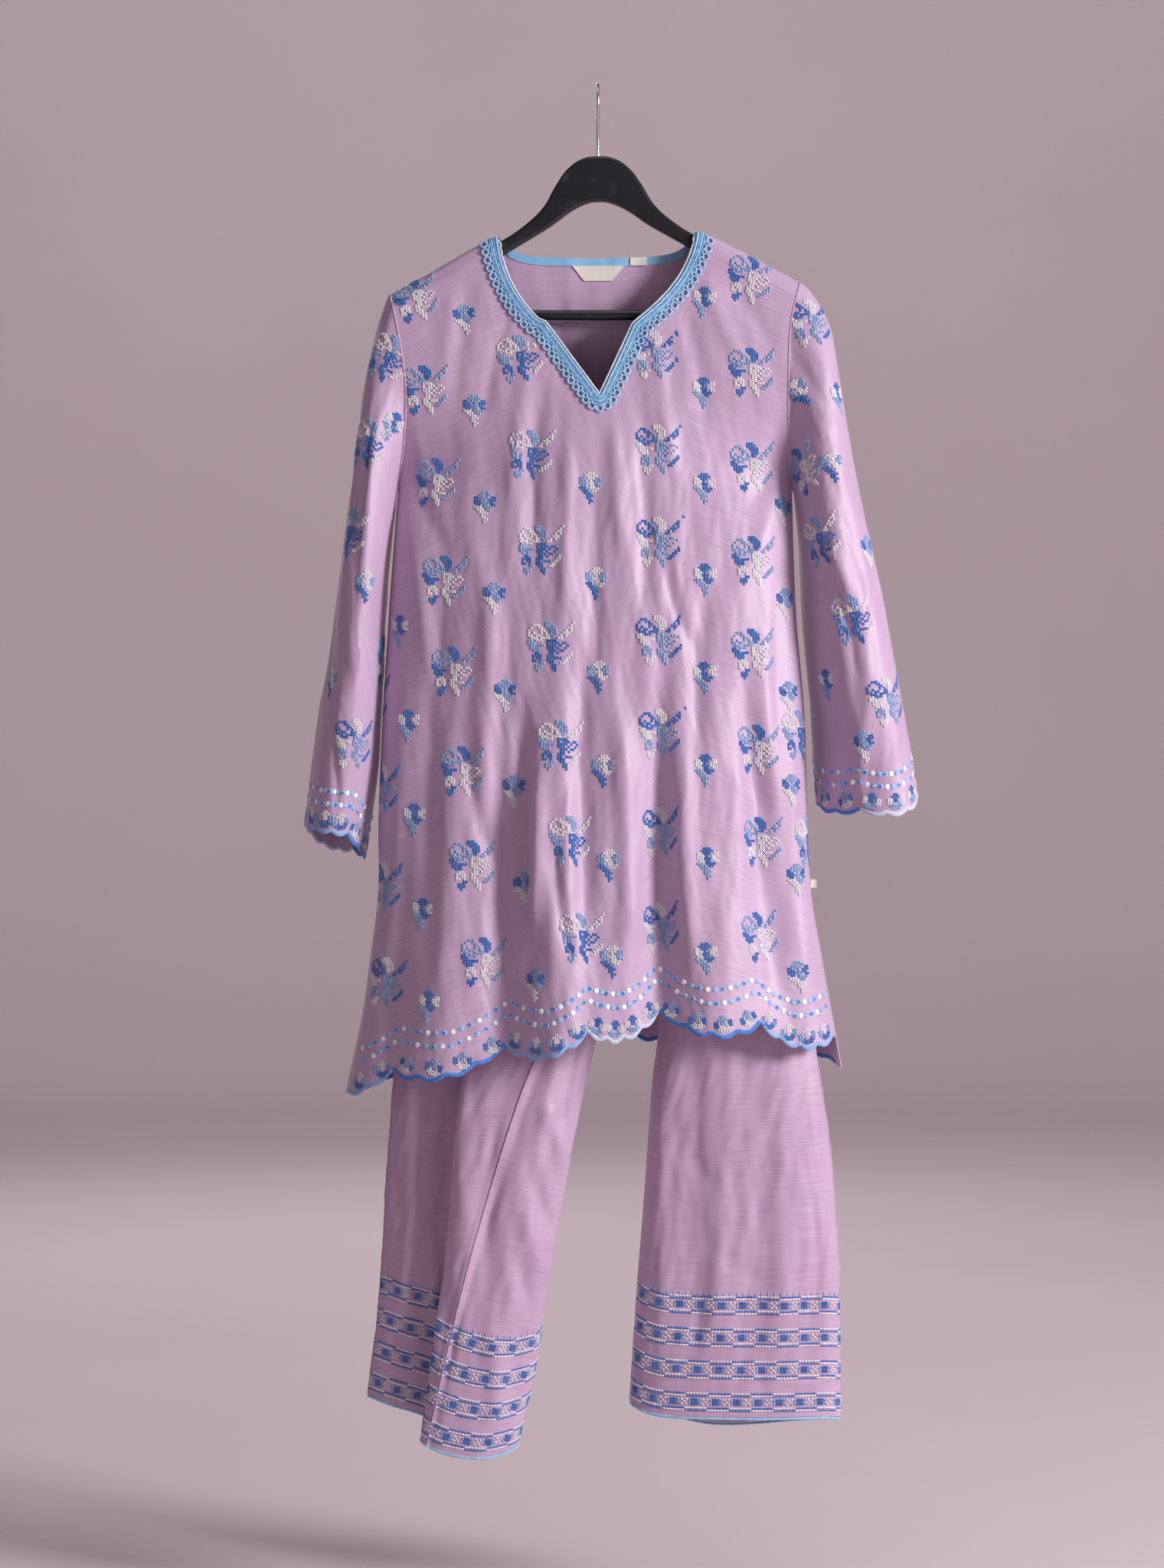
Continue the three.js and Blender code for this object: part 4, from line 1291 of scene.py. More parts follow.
# Each fold: where it runs, the height it starts at, how far it stands out, its half width
FOLD_COLUMNS = "top_x hem_x start_z height width"
FRONT_FOLDS = Table(FOLD_COLUMNS, (
    (-45, -32, -400, 15, 27),
    (50, 57, -460, -19, 21),
    (112, 118, -500, 10, 25),
    (-88, -90, -540, -13, 19),
    (-128, -152, -520, 10, 24),
    (160, 183, -600, -8, 17),
    (-172, -198, -620, -8, 14),
))
BACK_FOLDS = Table(FOLD_COLUMNS, (
    (-110, -125, -420, 12, 28),
    (-40, -45, -520, -14, 22),
    (30, 28, -400, 13, 27),
    (95, 105, -560, -12, 22),
    (150, 170, -500, 8, 22),
))
FRONT_CREASES = crease_rows(
    (-80, -205, -112, -345, -2.6, 6, 4),
    (-70, -232, -88, -440, 2.6, 8, -5),
    (-50, -262, -62, -480, -3.4, 8, 4),
    (-30, -292, -36, -560, 2.8, 8, -4),
    (0, -322, -2, -600, -2.6, 9, 3),
    (16, -300, 26, -470, 2.8, 8, 3),
    (36, -262, 44, -520, -3.2, 8, -4),
    (58, -232, 78, -400, 3.2, 8, 5),
    (78, -196, 104, -350, -3.6, 8, -5),
    (98, -166, 150, -290, 3.2, 8, 6),
    (112, -156, 166, -250, -3.6, 7, 5),
    (130, -170, 178, -330, -3.0, 8, -8),
    (-118, -168, -134, -330, -2.6, 8, 5),
    (-140, -182, -150, -300, 2.4, 8, -4),
    (-182, -262, -146, -410, 2.8, 8, 8),
    (-186, -330, -132, -470, -3.0, 9, 6),
    (-188, -388, -150, -640, 3.6, 9, -6),
    (176, -300, 138, -420, -3.2, 8, -8),
    (180, -352, 124, -500, 3.2, 9, -6),
    (182, -392, 168, -640, -3.6, 9, 5),
    (-146, -420, -160, -890, -4.0, 11, 5),
    (-104, -430, -112, -720, 3.4, 10, -5),
    (-70, -560, -62, -880, -5.0, 9, 5),
    (-56, -640, -76, -870, 4.4, 8, -7),
    (-14, -500, -6, -880, -4.2, 10, 4),
    (18, -560, 26, -880, 4.4, 10, -5),
    (82, -600, 92, -880, 4.6, 9, 5),
    (104, -470, 96, -640, -3.0, 9, 6),
    (138, -540, 150, -890, -4.6, 10, -4),
    (160, -470, 172, -760, 3.6, 9, 5),
    (186, -610, 204, -900, 3.6, 9, 4),
    (-186, -540, -206, -900, 4.0, 10, -5),
    (-120, -610, -88, -760, -2.6, 8, 10),
    (60, -420, 100, -560, -2.2, 7, 10),
    (120, -640, 176, -790, 2.4, 8, -10),
    (-40, -700, -20, -850, -2.6, 7, 6),
    (148, -600, 168, -905, -7.5, 12, -3),
    (-92, -600, -84, -905, -3.5, 9, 3),
    (56, -560, 62, -905, -3.5, 10, 2),
)
BACK_CREASES = crease_rows(
    (-70, -190, -84, -400, -2.6, 8, 5),
    (-36, -176, -42, -330, 2.4, 8, -4),
    (0, -172, 4, -380, -2.8, 8, 4),
    (38, -176, 46, -340, 2.4, 8, 4),
    (72, -190, 92, -420, -2.8, 8, -5),
    (-140, -200, -160, -480, 3.2, 10, 6),
    (138, -196, 156, -470, 3.2, 10, -6),
    (-180, -350, -120, -520, -3.0, 9, 8),
    (178, -350, 120, -520, -3.0, 9, -8),
    (-80, -450, -88, -880, 4.4, 11, -6),
    (-8, -480, -6, -870, -4.4, 11, 5),
    (66, -520, 70, -880, 4.2, 10, 5),
    (130, -560, 142, -890, -4.2, 10, -5),
    (-150, -560, -166, -900, -4.2, 10, 5),
    (-188, -520, -206, -900, 3.8, 10, -4),
    (186, -560, 202, -900, 3.8, 10, 4),
)
SCALLOP_COLUMNS = "across z"
FRONT_SCALLOPS = Table(SCALLOP_COLUMNS, (
    (-1.16, -950), (-0.82, -934), (-0.375, -909), (-0.04, -895),
    (0.26, -877), (0.68, -888), (0.985, -903), (1.3, -915),
))
BACK_SCALLOPS = Table(SCALLOP_COLUMNS, (
    (-1.18, -948), (-0.78, -936), (-0.35, -912), (0.06, -896), (0.46, -900), (0.86, -914), (1.26, -925),
))


@dataclass
class BodyForm:
    """The kurta's body: how far front and back stand from the plane of the side seams."""

    shoulder_round: float = 11.0
    underarm_z: float = -386.0
    fold_end_z: float = -920.0

    def __post_init__(self) -> None:
        """Reads the tables."""
        self.left = BODY.read("z", "left")
        self.right = BODY.read("z", "right")
        self.depths = {side: BODY.read("z", side) for side in Half}
        self.armhole = BODY.read("z", "armhole")
        self.shoulder = SHOULDER.read("x", "z")

    def x_at(self, across: Array, z: Array) -> Array:
        """Sideways place of a share across, -1 to 1, at a height."""
        return mix(self.left(z), self.right(z), (across + 1) / 2)

    def across_of(self, x: Array, z: Array) -> Array:
        """Share across of a sideways place at a height."""
        return (2 * x - self.left(z) - self.right(z)) / (self.right(z) - self.left(z))

    def bulge(self, side: Half, across: Array, z: Array) -> Array:
        """Depth of the cloth's middle from the side seams' plane.

        Args:
            side: front or back.
            across: shares across, from -1 to 1.
            z: heights, in millimetres.

        Returns:
            The depth at each place, in millimetres.
        """
        x = self.x_at(across, z)
        edge = np.where(z < self.underarm_z, 0.0, np.maximum(self.armhole(z), 0.0))
        side_round = mix(1.0, 0.4, ease((-330 - z) / 110))
        around = np.maximum(1 - across * across, 0.0) ** side_round
        section = edge + (self.depths[side](z) - edge) * around + self.folds(side, x, z) * around
        below = np.maximum(self.shoulder(x) - z, 0.0)
        arc = np.sqrt(np.maximum(2 * self.shoulder_round * below - below * below, 0.0))
        past = self.shoulder_round + 3 * (below - self.shoulder_round)
        over_wood = np.where(below < self.shoulder_round, arc, past)
        return np.maximum(soft_min(section, over_wood, 4.0), 0.0)

    def folds(self, side: Half, x: Array, z: Array) -> Array:
        """Sum of the largest folds.

        Args:
            side: front or back.
            x: sideways places, in millimetres.
            z: heights, in millimetres.

        Returns:
            Their height at each place, in millimetres.
        """
        table = FRONT_FOLDS if side is Half.FRONT else BACK_FOLDS
        total = np.zeros(np.broadcast(x, z).shape)
        for top_x, hem_x, start_z, height, width in table.rows:
            share = (start_z - z) / (start_z - self.fold_end_z)
            middle = mix(top_x, hem_x, np.clip(share, 0, 1))
            total = total + height * ease(share) * np.exp(-(((x - middle) / width) ** 2))
        return total

    def point(self, side: Half, across: Array, z: Array) -> Array:
        """Points on the middle of the front or back.

        Args:
            side: front or back.
            across: shares across, from -1 to 1.
            z: heights, in millimetres.

        Returns:
            The points, with x, y and z in the last axis.
        """
        x = self.x_at(across, z)
        outward = -1 if side is Half.FRONT else 1
        y = outward * (SEAM_GAP / 2 + 0.1 + self.bulge(side, across, z))
        return np.stack(np.broadcast_arrays(x, y, z), axis=-1)


def bezier(start: Sequence[float], pull: Sequence[float], end: Sequence[float], count: int) -> Array:
    """Points along a curve with one control point.

    Args:
        start: where it starts.
        pull: the control point.
        end: where it ends.
        count: how many points.

    Returns:
        The points, count x 2.
    """
    t = np.linspace(0, 1, count)[:, None]
    a, b, c = (np.array(p, float) for p in (start, pull, end))
    return a * (1 - t) ** 2 + b * 2 * t * (1 - t) + c * t * t


@dataclass
class Neckline:
    """The open neck: a round from each shoulder to its notch, then a straight V."""

    form: BodyForm
    left: tuple[float, float] = (-95.0, -143.6)
    right: tuple[float, float] = (93.5, -139.3)
    back_z: float = -163.0
    end_drop: float = 2.2

    def __post_init__(self) -> None:
        """Lays out the edge from the left shoulder round to the right one."""
        self.edge = np.concatenate([
            bezier(self.left, (-91, -192), (-57, -225.5), 26),
            np.array([(-50, -228.5), (-25, -263), (1.5, -300), (18, -264), (33.5, -230)]),
            bezier(self.right, (89.5, -185), (39, -225), 26)[::-1],
        ])

    def front_top(self, x: Array) -> Array:
        """Height of the front's top edge."""
        inside = np.interp(x, self.edge[:, 0], self.edge[:, 1])
        return np.where((x <= self.left[0]) | (x >= self.right[0]), self.form.shoulder(x), inside)

    def back_top(self, x: Array) -> Array:
        """Height of the back's top edge.

        Args:
            x: sideways places, in millimetres.

        Returns:
            The height at each place.
        """
        x = np.asarray(x, float)
        neck_x = np.where(x < 0, self.left[0], self.right[0])
        neck_z = np.where(x < 0, self.left[1], self.right[1])
        reach = np.abs(x / neck_x)
        inside = self.back_z + (neck_z - self.back_z) * (0.2 * reach ** 2 + 0.8 * reach ** 8)
        return np.where(reach >= 1, self.form.shoulder(x), inside)

    def beside(self, distance: float, step: float = 1.6) -> Array:
        """Places (x, z) along the neckline, this far out from its edge.

        Args:
            distance: how far out, in millimetres.
            step: distance from place to place, in millimetres.

        Returns:
            The places, count x 2.
        """
        at = run_along(self.edge)
        places = np.linspace(0, at[-1], int(at[-1] / step))
        dense = row_by_row(places, at, self.edge)
        run = np.gradient(dense, axis=0)
        square = unit(np.stack([run[:, 1], -run[:, 0]], axis=1))
        window = np.hanning(13) / np.hanning(13).sum()
        padded = np.pad(square, ((6, 6), (0, 0)), mode="edge")
        square = unit(np.stack([np.convolve(padded[:, k], window, mode="valid") for k in (0, 1)], axis=1))
        from_end = np.minimum(places, places[-1] - places)
        moved = dense + square * distance
        moved[:, 1] -= 0.5 * distance * np.clip(1 - from_end / 30, 0, 1)
        moved[:, 1] = np.minimum(moved[:, 1], self.form.shoulder(moved[:, 0]) - self.end_drop)
        return moved


@dataclass
class Scallops:
    """A scalloped hem: big scallops, each with four small arcs."""

    table: Table
    drop: float = 16.0
    arc_drop: float = 4.5
    arcs: int = 4

    def share(self, across: Array) -> tuple[Array, Array]:
        """Which scallop a place is in, and how far along it, 0 to 1.

        Args:
            across: shares across, from -1 to 1.

        Returns:
            The scallop's number, and the share along it.
        """
        bounds = self.table.column("across")
        i = np.clip(np.searchsorted(bounds, across, side="right") - 1, 0, len(bounds) - 2)
        return i, (across - bounds[i]) / (bounds[i + 1] - bounds[i])

    def below(self, t: Array) -> Array:
        """How far the edge hangs below the line through the scallop's ends."""
        big = self.drop * np.sin(math.pi * np.clip(t, 0, 1)) ** 0.8
        return big + self.arc_drop * np.abs(np.sin(self.arcs * math.pi * t))

    def hem(self, across: Array) -> Array:
        """Height of the edge.

        Args:
            across: shares across, from -1 to 1.

        Returns:
            The height at each place.
        """
        heights = self.table.column("z")
        i, t = self.share(across)
        return mix(heights[i], heights[i + 1], t) - self.below(t)


def even_columns(first: float, last: float, count: int, extra: Array) -> Array:
    """Even places with extra ones put in where they aren't too close.

    Args:
        first: the first place.
        last: the last place.
        count: how many even places.
        extra: places that must be there.

    Returns:
        The places, in order.
    """
    found = list(np.linspace(first, last, count))
    pitch = (last - first) / count
    for place in extra:
        near = min(found, key=lambda other: abs(other - place))
        if abs(near - place) > 0.12 * pitch:
            found.append(place)
    return np.array(sorted(found))


TOP_ROWS = 8


def body_panel(form: BodyForm, side: Half, top_edge: Reader, scallops: Scallops, columns: Array,
               rows: int) -> Grid:
    """The front or back as a grid, from its top edge to its hem.

    Args:
        form: the body's form.
        side: front or back.
        top_edge: height of the top edge at a sideways place.
        scallops: the hem.
        columns: shares across.
        rows: rows below the rounded shoulder.

    Returns:
        The grid, with its creases.
    """
    low, high = np.full(len(columns), -330.0), np.full(len(columns), -110.0)
    for _ in range(40):
        middle = (low + high) / 2
        above = middle > top_edge(form.x_at(columns, middle))
        high = np.where(above, middle, high)
        low = np.where(above, low, middle)
    hem = scallops.hem(columns)
    turn = np.concatenate([np.linspace(0, 1, TOP_ROWS + 1)[:-1], np.ones(rows + 1)]) * math.pi / 2
    down = np.concatenate([np.zeros(TOP_ROWS), np.linspace(0, 1, rows + 1)])
    top = low[None, :] - form.shoulder_round * (1 - np.cos(turn))[:, None]
    z = mix(top, hem[None, :], down[:, None])
    across = np.broadcast_to(columns, z.shape)
    facing = Facing.AGAINST if side is Half.FRONT else Facing.WITH
    grid = Grid(form.point(side, across, z), facing)
    x = grid.points[..., 0]
    inner = np.maximum(1 - across ** 2, 0) ** 0.5
    calm = ease((form.shoulder(x) - z - 14) / 40) * inner
    creases = FRONT_CREASES if side is Half.FRONT else BACK_CREASES
    seed = 3 if side is Half.FRONT else 8
    height = waved(1.5 * creased(creases, x, z), x, z, seed, BODY_WAVES)
    loose = mix(0.45, 1.0, ease((-250 - z) / 300))
    grid.move_out(height * calm * loose)
    return grid


# ------------------------------------------------------------------ embroidery
BOUQUET = (
    ".......###........t",
    "..ooo..####......t.",
    ".o..oo..####....tt.",
    "o....oo..###...t.t.",
    "o.o..o.o.###..ttt..",
    "oo.oo..oo##..t.t...",
    ".ooo.oooo...tt.....",
    "##.ooo..****.......",
    "###.....*.***.**...",
    ".######.****.*..*..",
    ".####...***.*..*...",
    "..###....***.**....",
    "...ll....**.*....t.",
    "..llll..***.....tt.",
    "..l.ll..**.***.tt..",
    "..ll.l..***...tt...",
    ".....##..**..tt....",
    "...###....**.......",
    "...###....**.......",
    "....#......*.......",
)
BUD = (
    "...ooo...",
    "..ooooo..",
    "##.ooo.##",
    "###.o.###",
    "###ooo##.",
    ".##.oo.##",
    "***.oooo.",
    ".***.oo..",
    "..***....",
    "...***...",
    "...**....",
    "....**...",
    "....*....",
)
POD = (
    "...oo...",
    "..oooo..",
    "##.oo.##",
    "##.oo.##",
    "##*..*##",
    ".******.",
    "..****..",
)
CELL = 2.35


class Colourway(Enum):
    """Which thread each part of a motif is sewn in: ring, blocks, flower, twigs, leaf."""

    ROSE_LIGHT = {"o": Thread.LIGHT, "#": Thread.BLUE, "*": Thread.WHITE, "t": Thread.LIGHT,
                  "l": Thread.WHITE}
    ROSE_WHITE = {"o": Thread.WHITE, "#": Thread.LIGHT, "*": Thread.BLUE, "t": Thread.WHITE,
                  "l": Thread.BLUE}
    ROSE_BLUE = {"o": Thread.BLUE, "#": Thread.WHITE, "*": Thread.LIGHT, "t": Thread.BLUE,
                 "l": Thread.LIGHT}


class Motif(Enum):
    """The charts, cell by cell."""

    BOUQUET = BOUQUET
    BUD = BUD
    POD = POD


def chart_cells(motif: Motif, colours: Colourway) -> dict[Thread, Array]:
    """Sideways and downward place of every stitch of a chart about its middle, by thread.

    Args:
        motif: the chart.
        colours: the thread of each part of the chart.

    Returns:
        For each thread, distances right and down, in millimetres.
    """
    chart = motif.value
    middle = ((len(chart[0]) - 1) / 2, (len(chart) - 1) / 2)
    cells: dict[Thread, list] = {thread: [] for thread in Thread}
    for row, line in enumerate(chart):
        for column, role in enumerate(line):
            if role != ".":
                cells[colours.value[role]].append((column - middle[0], row - middle[1]))
    return {thread: np.array(found).reshape(-1, 2) * CELL for thread, found in cells.items()}


@dataclass(frozen=True)
class MotifRun:
    """One column of a motif down a panel, from its first place to its last."""

    motif: Motif
    colours: Colourway
    x: float
    z: float
    to_x: float
    to_z: float
    count: int
    turn: float = 0.0

    def places(self) -> list[tuple[float, float]]:
        """Middle of every motif."""
        shares = np.linspace(0, 1, self.count) if self.count > 1 else [0.0]
        return [(mix(self.x, self.to_x, t), mix(self.z, self.to_z, t)) for t in shares]


def lone_motif(motif: Motif, colours: Colourway, x: float, z: float, turn: float = 0.0) -> MotifRun:
    """A run of a single motif."""
    return MotifRun(motif, colours, x, z, x, z, 1, turn)


FRONT_MOTIFS = (
    MotifRun(Motif.BOUQUET, Colourway.ROSE_LIGHT, -172, -203, -107, -833, 8),
    MotifRun(Motif.BOUQUET, Colourway.ROSE_WHITE, -72, -263, -15, -811, 7),
    MotifRun(Motif.BOUQUET, Colourway.ROSE_BLUE, 56, -260, 61, -799, 7),
    MotifRun(Motif.BOUQUET, Colourway.ROSE_LIGHT, 146, -186, 152, -811, 8),
    MotifRun(Motif.BUD, Colourway.ROSE_LIGHT, -126, -226, -58, -852, 8),
    MotifRun(Motif.BUD, Colourway.ROSE_WHITE, -6, -388, 14, -833, 6),
    MotifRun(Motif.BUD, Colourway.ROSE_BLUE, 100, -209, 101, -831, 8),
    MotifRun(Motif.BUD, Colourway.ROSE_BLUE, -186, -523, -158, -875, 5),
    MotifRun(Motif.BUD, Colourway.ROSE_LIGHT, 175, -407, 190, -846, 6),
    MotifRun(Motif.BOUQUET, Colourway.ROSE_BLUE, -204, -584, -200, -852, 4),
    MotifRun(Motif.BOUQUET, Colourway.ROSE_WHITE, 193, -620, 200, -722, 2),
)


class Embroidery:
    """Collects stitches for one panel, then sews them by thread."""

    def __init__(self, grid: Grid, wall: float = CLOTH_WALL) -> None:
        """Starts with nothing sewn.

        Args:
            grid: the cloth that is sewn on.
            wall: the cloth's thickness, in millimetres.
        """
        self.grid = grid
        self.lift = wall / 2
        self.places: dict[tuple[str, Thread], list] = {}

    def sew(self, kind: str, thread: Thread, column: Array, row: Array, turn: Array, size: Array) -> None:
        """Adds stitches at fractional columns and rows.

        Args:
            kind: the kind of stitch.
            thread: the thread's colour.
            column: fractional columns.
            row: fractional rows.
            turn: each stitch's turn, in radians.
            size: sizes, where 1 is the tree's own.
        """
        column = np.atleast_1d(np.asarray(column, float))
        row = np.atleast_1d(np.asarray(row, float))
        turn = np.broadcast_to(turn, column.shape)
        size = np.broadcast_to(size, column.shape)
        self.places.setdefault((kind, thread), []).append((column, row, turn, size))

    def add_motif(self, motif: Motif, colours: Colourway, column: float, row: float, turn: float,
                  scale: float = 1.0) -> None:
        """Adds one motif about a place, turned by an angle in radians.

        Args:
            motif: the chart.
            colours: the thread of each part of the chart.
            column: the middle's fractional column.
            row: the middle's fractional row.
            turn: its turn, in radians.
            scale: size, where 1 is the chart's own.
        """
        rows, columns = self.grid.points.shape[:2]
        c, s = math.cos(turn), math.sin(turn)
        for thread, cells in chart_cells(motif, colours).items():
            if not len(cells):
                continue
            right = (cells[:, 0] * c - cells[:, 1] * s) * scale
            down = (cells[:, 0] * s + cells[:, 1] * c) * scale
            found_columns, found_rows = self.grid.walk(column, row, right, down)
            kept = (found_rows > 1) & (found_rows < rows - 1.5)
            if not self.grid.ring:
                kept &= (found_columns > 0.6) & (found_columns < columns - 1.6)
            self.sew("cross", thread, found_columns[kept], found_rows[kept], -turn, scale)

    def add_runs(self, runs: Sequence[MotifRun], in_front: bool = False) -> None:
        """Adds columns of motifs by their places seen from the front.

        Args:
            runs: the runs of motifs.
            in_front: whether only cloth that faces the viewer counts.
        """
        for run in runs:
            for x, z in run.places():
                column, row = self.grid.nearest(x, z, in_front)
                self.add_motif(run.motif, run.colours, column, row, run.turn)

    def pieces(self, name: str, trees: dict[str, RepeatTree], looks: Looks) -> list[bpy.types.Object]:
        """Sews everything: one piece for each thread, with all its kinds of stitch.

        Args:
            name: the start of each piece's name.
            trees: the tree for each kind of stitch.
            looks: the suit's finishes.

        Returns:
            The pieces.
        """
        lifts = {"cross": 0.1, "dash": 0.1, "dot": 0.05, "small dot": 0.35}
        made = []
        for thread in Thread:
            meshes = []
            for kind, tree in trees.items():
                found = self.places.get((kind, thread))
                if not found:
                    continue
                column, row, turn, size = (np.concatenate(part) for part in zip(*found))
                points, normals, sides = self.grid.sample(column, row)
                points = points + normals * (self.lift + lifts[kind])
                source = point_mesh(points, normals, sides, turn, size)
                meshes.append(tree.run(f"{name} {kind}", source, looks.thread[thread], {}))
            if meshes:
                mesh = joined(f"{name}_{thread.value}_thread", meshes)
                made.append(add_piece(mesh.name, mesh, looks.thread[thread]))
        return made


def joined(name: str, meshes: Sequence[bpy.types.Mesh]) -> bpy.types.Mesh:
    """Several meshes of one finish as one mesh.

    Args:
        name: the new piece's name.
        meshes: the meshes, which are removed.

    Returns:
        The new mesh.
    """
    work = bmesh.new()
    for mesh in meshes:
        work.from_mesh(mesh)
    whole = bpy.data.meshes.new(name)
    work.to_mesh(whole)
    work.free()
    for look in meshes[0].materials:
        whole.materials.append(look)
    for mesh in meshes:
        bpy.data.meshes.remove(mesh)
    whole.polygons.foreach_set("use_smooth", np.ones(len(whole.polygons), bool))
    return whole


BORDER_COLOURS = {Thread.BLUE: Colourway.ROSE_LIGHT, Thread.LIGHT: Colourway.ROSE_WHITE,
                  Thread.WHITE: Colourway.ROSE_BLUE}


@dataclass
class Border:
    """A scalloped border: satin edge, pods along it, and two swags of dots above.

    Fields:
        grid: the cloth it is sewn on.
        to_column: from a place along the hem to a column of the grid.
        ends: places where the scallops meet.
        below: how far the edge hangs below the line through a scallop's ends.
        colours: the satin edge's thread for each scallop.
        limits: first and last place that the cloth has.
        swag: how high the upper and lower swag hang in the middle, and rise at the ends.
    """

    grid: Grid
    to_column: Reader
    ends: Array
    below: Reader
    colours: Sequence[Thread]
    limits: tuple[float, float]
    swag: tuple[tuple[float, float], tuple[float, float]] = ((25.5, 14.5), (12.5, 16.0))
    dots: int = 13

    def heights(self, t: Array, level: int) -> Array:
        """Height of a swag above the edge, at a share along the scallop."""
        low, rise = self.swag[level]
        return low + rise * np.abs(2 * t - 1) ** 1.7 + self.below(t)

    def inside(self, places: Array) -> Array:
        """Which places are on the cloth."""
        return (places > self.limits[0]) & (places < self.limits[1])

    def sew(self, work: Embroidery) -> list[Array]:
        """Sews pods and dots, and returns the lines of thread between the dots.

        Args:
            work: the embroidery that takes the stitches.

        Returns:
            The lines, in millimetres.
        """
        lines = []
        for i, (start, end) in enumerate(zip(self.ends[:-1], self.ends[1:])):
            for level in (0, 1):
                lines += self.sew_swag(work, start, end, level, i)
            self.sew_pods(work, start, end, BORDER_COLOURS[self.colours[i % len(self.colours)]])
        return lines

    def sew_swag(self, work: Embroidery, start: float, end: float, level: int, first: int) -> list[Array]:
        """Sews one swag of dots between two scallop ends.

        Args:
            work: the embroidery that takes the stitches.
            start: where the scallop starts.
            end: where the scallop ends.
            level: 0 for the upper swag, 1 for the lower.
            first: the scallop's number, which shifts the colours.

        Returns:
            The line of the swag's thread, if it is on the cloth.
        """
        t = (np.arange(self.dots) + 0.5) / self.dots
        kept = self.inside(mix(start, end, t))
        t = t[kept]
        if len(t) < 2:
            return []
        columns = self.to_column(mix(start, end, t))
        rows = self.grid.row_above_hem(columns, self.heights(t, level))
        order = (np.arange(self.dots)[kept] + first + level) % 3
        for kind, thread, chosen in (
            ("dot", Thread.LIGHT, order != 1),
            ("small dot", Thread.BLUE, order == 0),
            ("dot", Thread.WHITE, order == 1),
        ):
            if chosen.any():
                work.sew(kind, thread, columns[chosen], rows[chosen], 0.0, 1.0)
        fine = np.linspace(t[0], t[-1], 40)
        columns = self.to_column(mix(start, end, fine))
        rows = self.grid.row_above_hem(columns, self.heights(fine, level))
        points, normals, _ = self.grid.sample(columns, rows)
        return [points + normals * (CLOTH_WALL / 2 + 0.1)]

    def sew_pods(self, work: Embroidery, start: float, end: float, colours: Colourway) -> None:
        """Sews four pods above the small arcs of a scallop.

        Args:
            work: the embroidery that takes the stitches.
            start: where the scallop starts.
            end: where the scallop ends.
            colours: the thread of each part of the chart.
        """
        pods = 4
        for k in range(pods):
            t = (k + 0.5) / pods
            place = mix(start, end, t)
            if not self.inside(np.array(place)):
                continue
            column = float(self.to_column(np.array(place)))
            row = float(self.grid.row_above_hem(np.array([column]), np.array([14.0]))[0])
            tilt = 0.42 * (2 * t - 1) * -self.grid.facing.value
            work.add_motif(Motif.POD, colours, column, row, -tilt, 0.94)

    def satin_edge(self, name: str, looks: Looks) -> list[bpy.types.Object]:
        """Sews the satin edge, one piece for each thread.

        Args:
            name: the start of each piece's name.
            looks: the suit's finishes.

        Returns:
            The pieces.
        """
        found: dict[Thread, list] = {}
        for i, (start, end) in enumerate(zip(self.ends[:-1], self.ends[1:])):
            places = np.linspace(start, end, 81)
            places = places[self.inside(places)]
            if len(places) > 4:
                thread = self.colours[i % len(self.colours)]
                found.setdefault(thread, []).append(self.edge_tube(self.to_column(places)))
        made = []
        for thread, meshes in found.items():
            mesh = joined(f"{name}_edge_{thread.value}", meshes)
            made.append(add_piece(mesh.name, mesh, looks.satin[thread]))
        return made

    def edge_tube(self, columns: Array) -> bpy.types.Mesh:
        """A flat tube of satin stitches round the cloth's edge.

        Args:
            columns: fractional columns along the edge.

        Returns:
            The mesh, in metres.
        """
        half_width, half_height, sides = 2.2, 1.05, 8
        rows = self.grid.points.shape[0]
        points, normals, _ = self.grid.sample(columns, np.full(len(columns), rows - 1.0))
        above, _, _ = self.grid.sample(columns, np.full(len(columns), rows - 1.6))
        run = np.gradient(points, axis=0)
        square = unit(np.cross(normals, run))
        square = square * np.sign(np.sum(square * (above - points), axis=1, keepdims=True))
        padded = np.pad(square, ((3, 3), (0, 0)), mode="edge")
        square = unit(sum(padded[k:k + len(square)] for k in range(7)))
        middle = points + square * (half_width - 0.4)
        angles = np.arange(sides) * 2 * math.pi / sides
        rings = (middle[:, None] + square[:, None] * (np.cos(angles) * half_width)[None, :, None]
                 + normals[:, None] * (np.sin(angles) * half_height)[None, :, None])
        return tube_from_rings("edge", rings)


def tube_from_rings(name: str, rings: Array) -> bpy.types.Mesh:
    """A closed tube from rings of points, with a running map named cut.

    Args:
        name: the mesh's name.
        rings: rings x sides x 3, in millimetres.

    Returns:
        The mesh, in metres.
    """
    count, sides = rings.shape[:2]
    ids = np.arange(count * sides).reshape(count, sides)
    after = np.roll(ids, -1, axis=1)
    quads = np.stack([ids[:-1].ravel(), after[:-1].ravel(), after[1:].ravel(), ids[1:].ravel()], 1)
    caps = []
    for ring in (ids[0], ids[-1]):
        for k in range(sides // 2 - 1):
            caps.append((ring[k], ring[k + 1], ring[sides - 2 - k], ring[sides - 1 - k]))
    middle = rings.mean(axis=1)
    run = run_along(middle)
    uv = np.stack([np.repeat(run, sides), np.tile(np.arange(sides) * 0.7, count)], 1) * MM
    mesh = quad_mesh(name, rings.reshape(-1, 3), np.concatenate([quads, np.array(caps)]), uv)
    work = bmesh.new()
    work.from_mesh(mesh)
    bmesh.ops.recalc_face_normals(work, faces=work.faces)
    work.to_mesh(mesh)
    work.free()
    return mesh


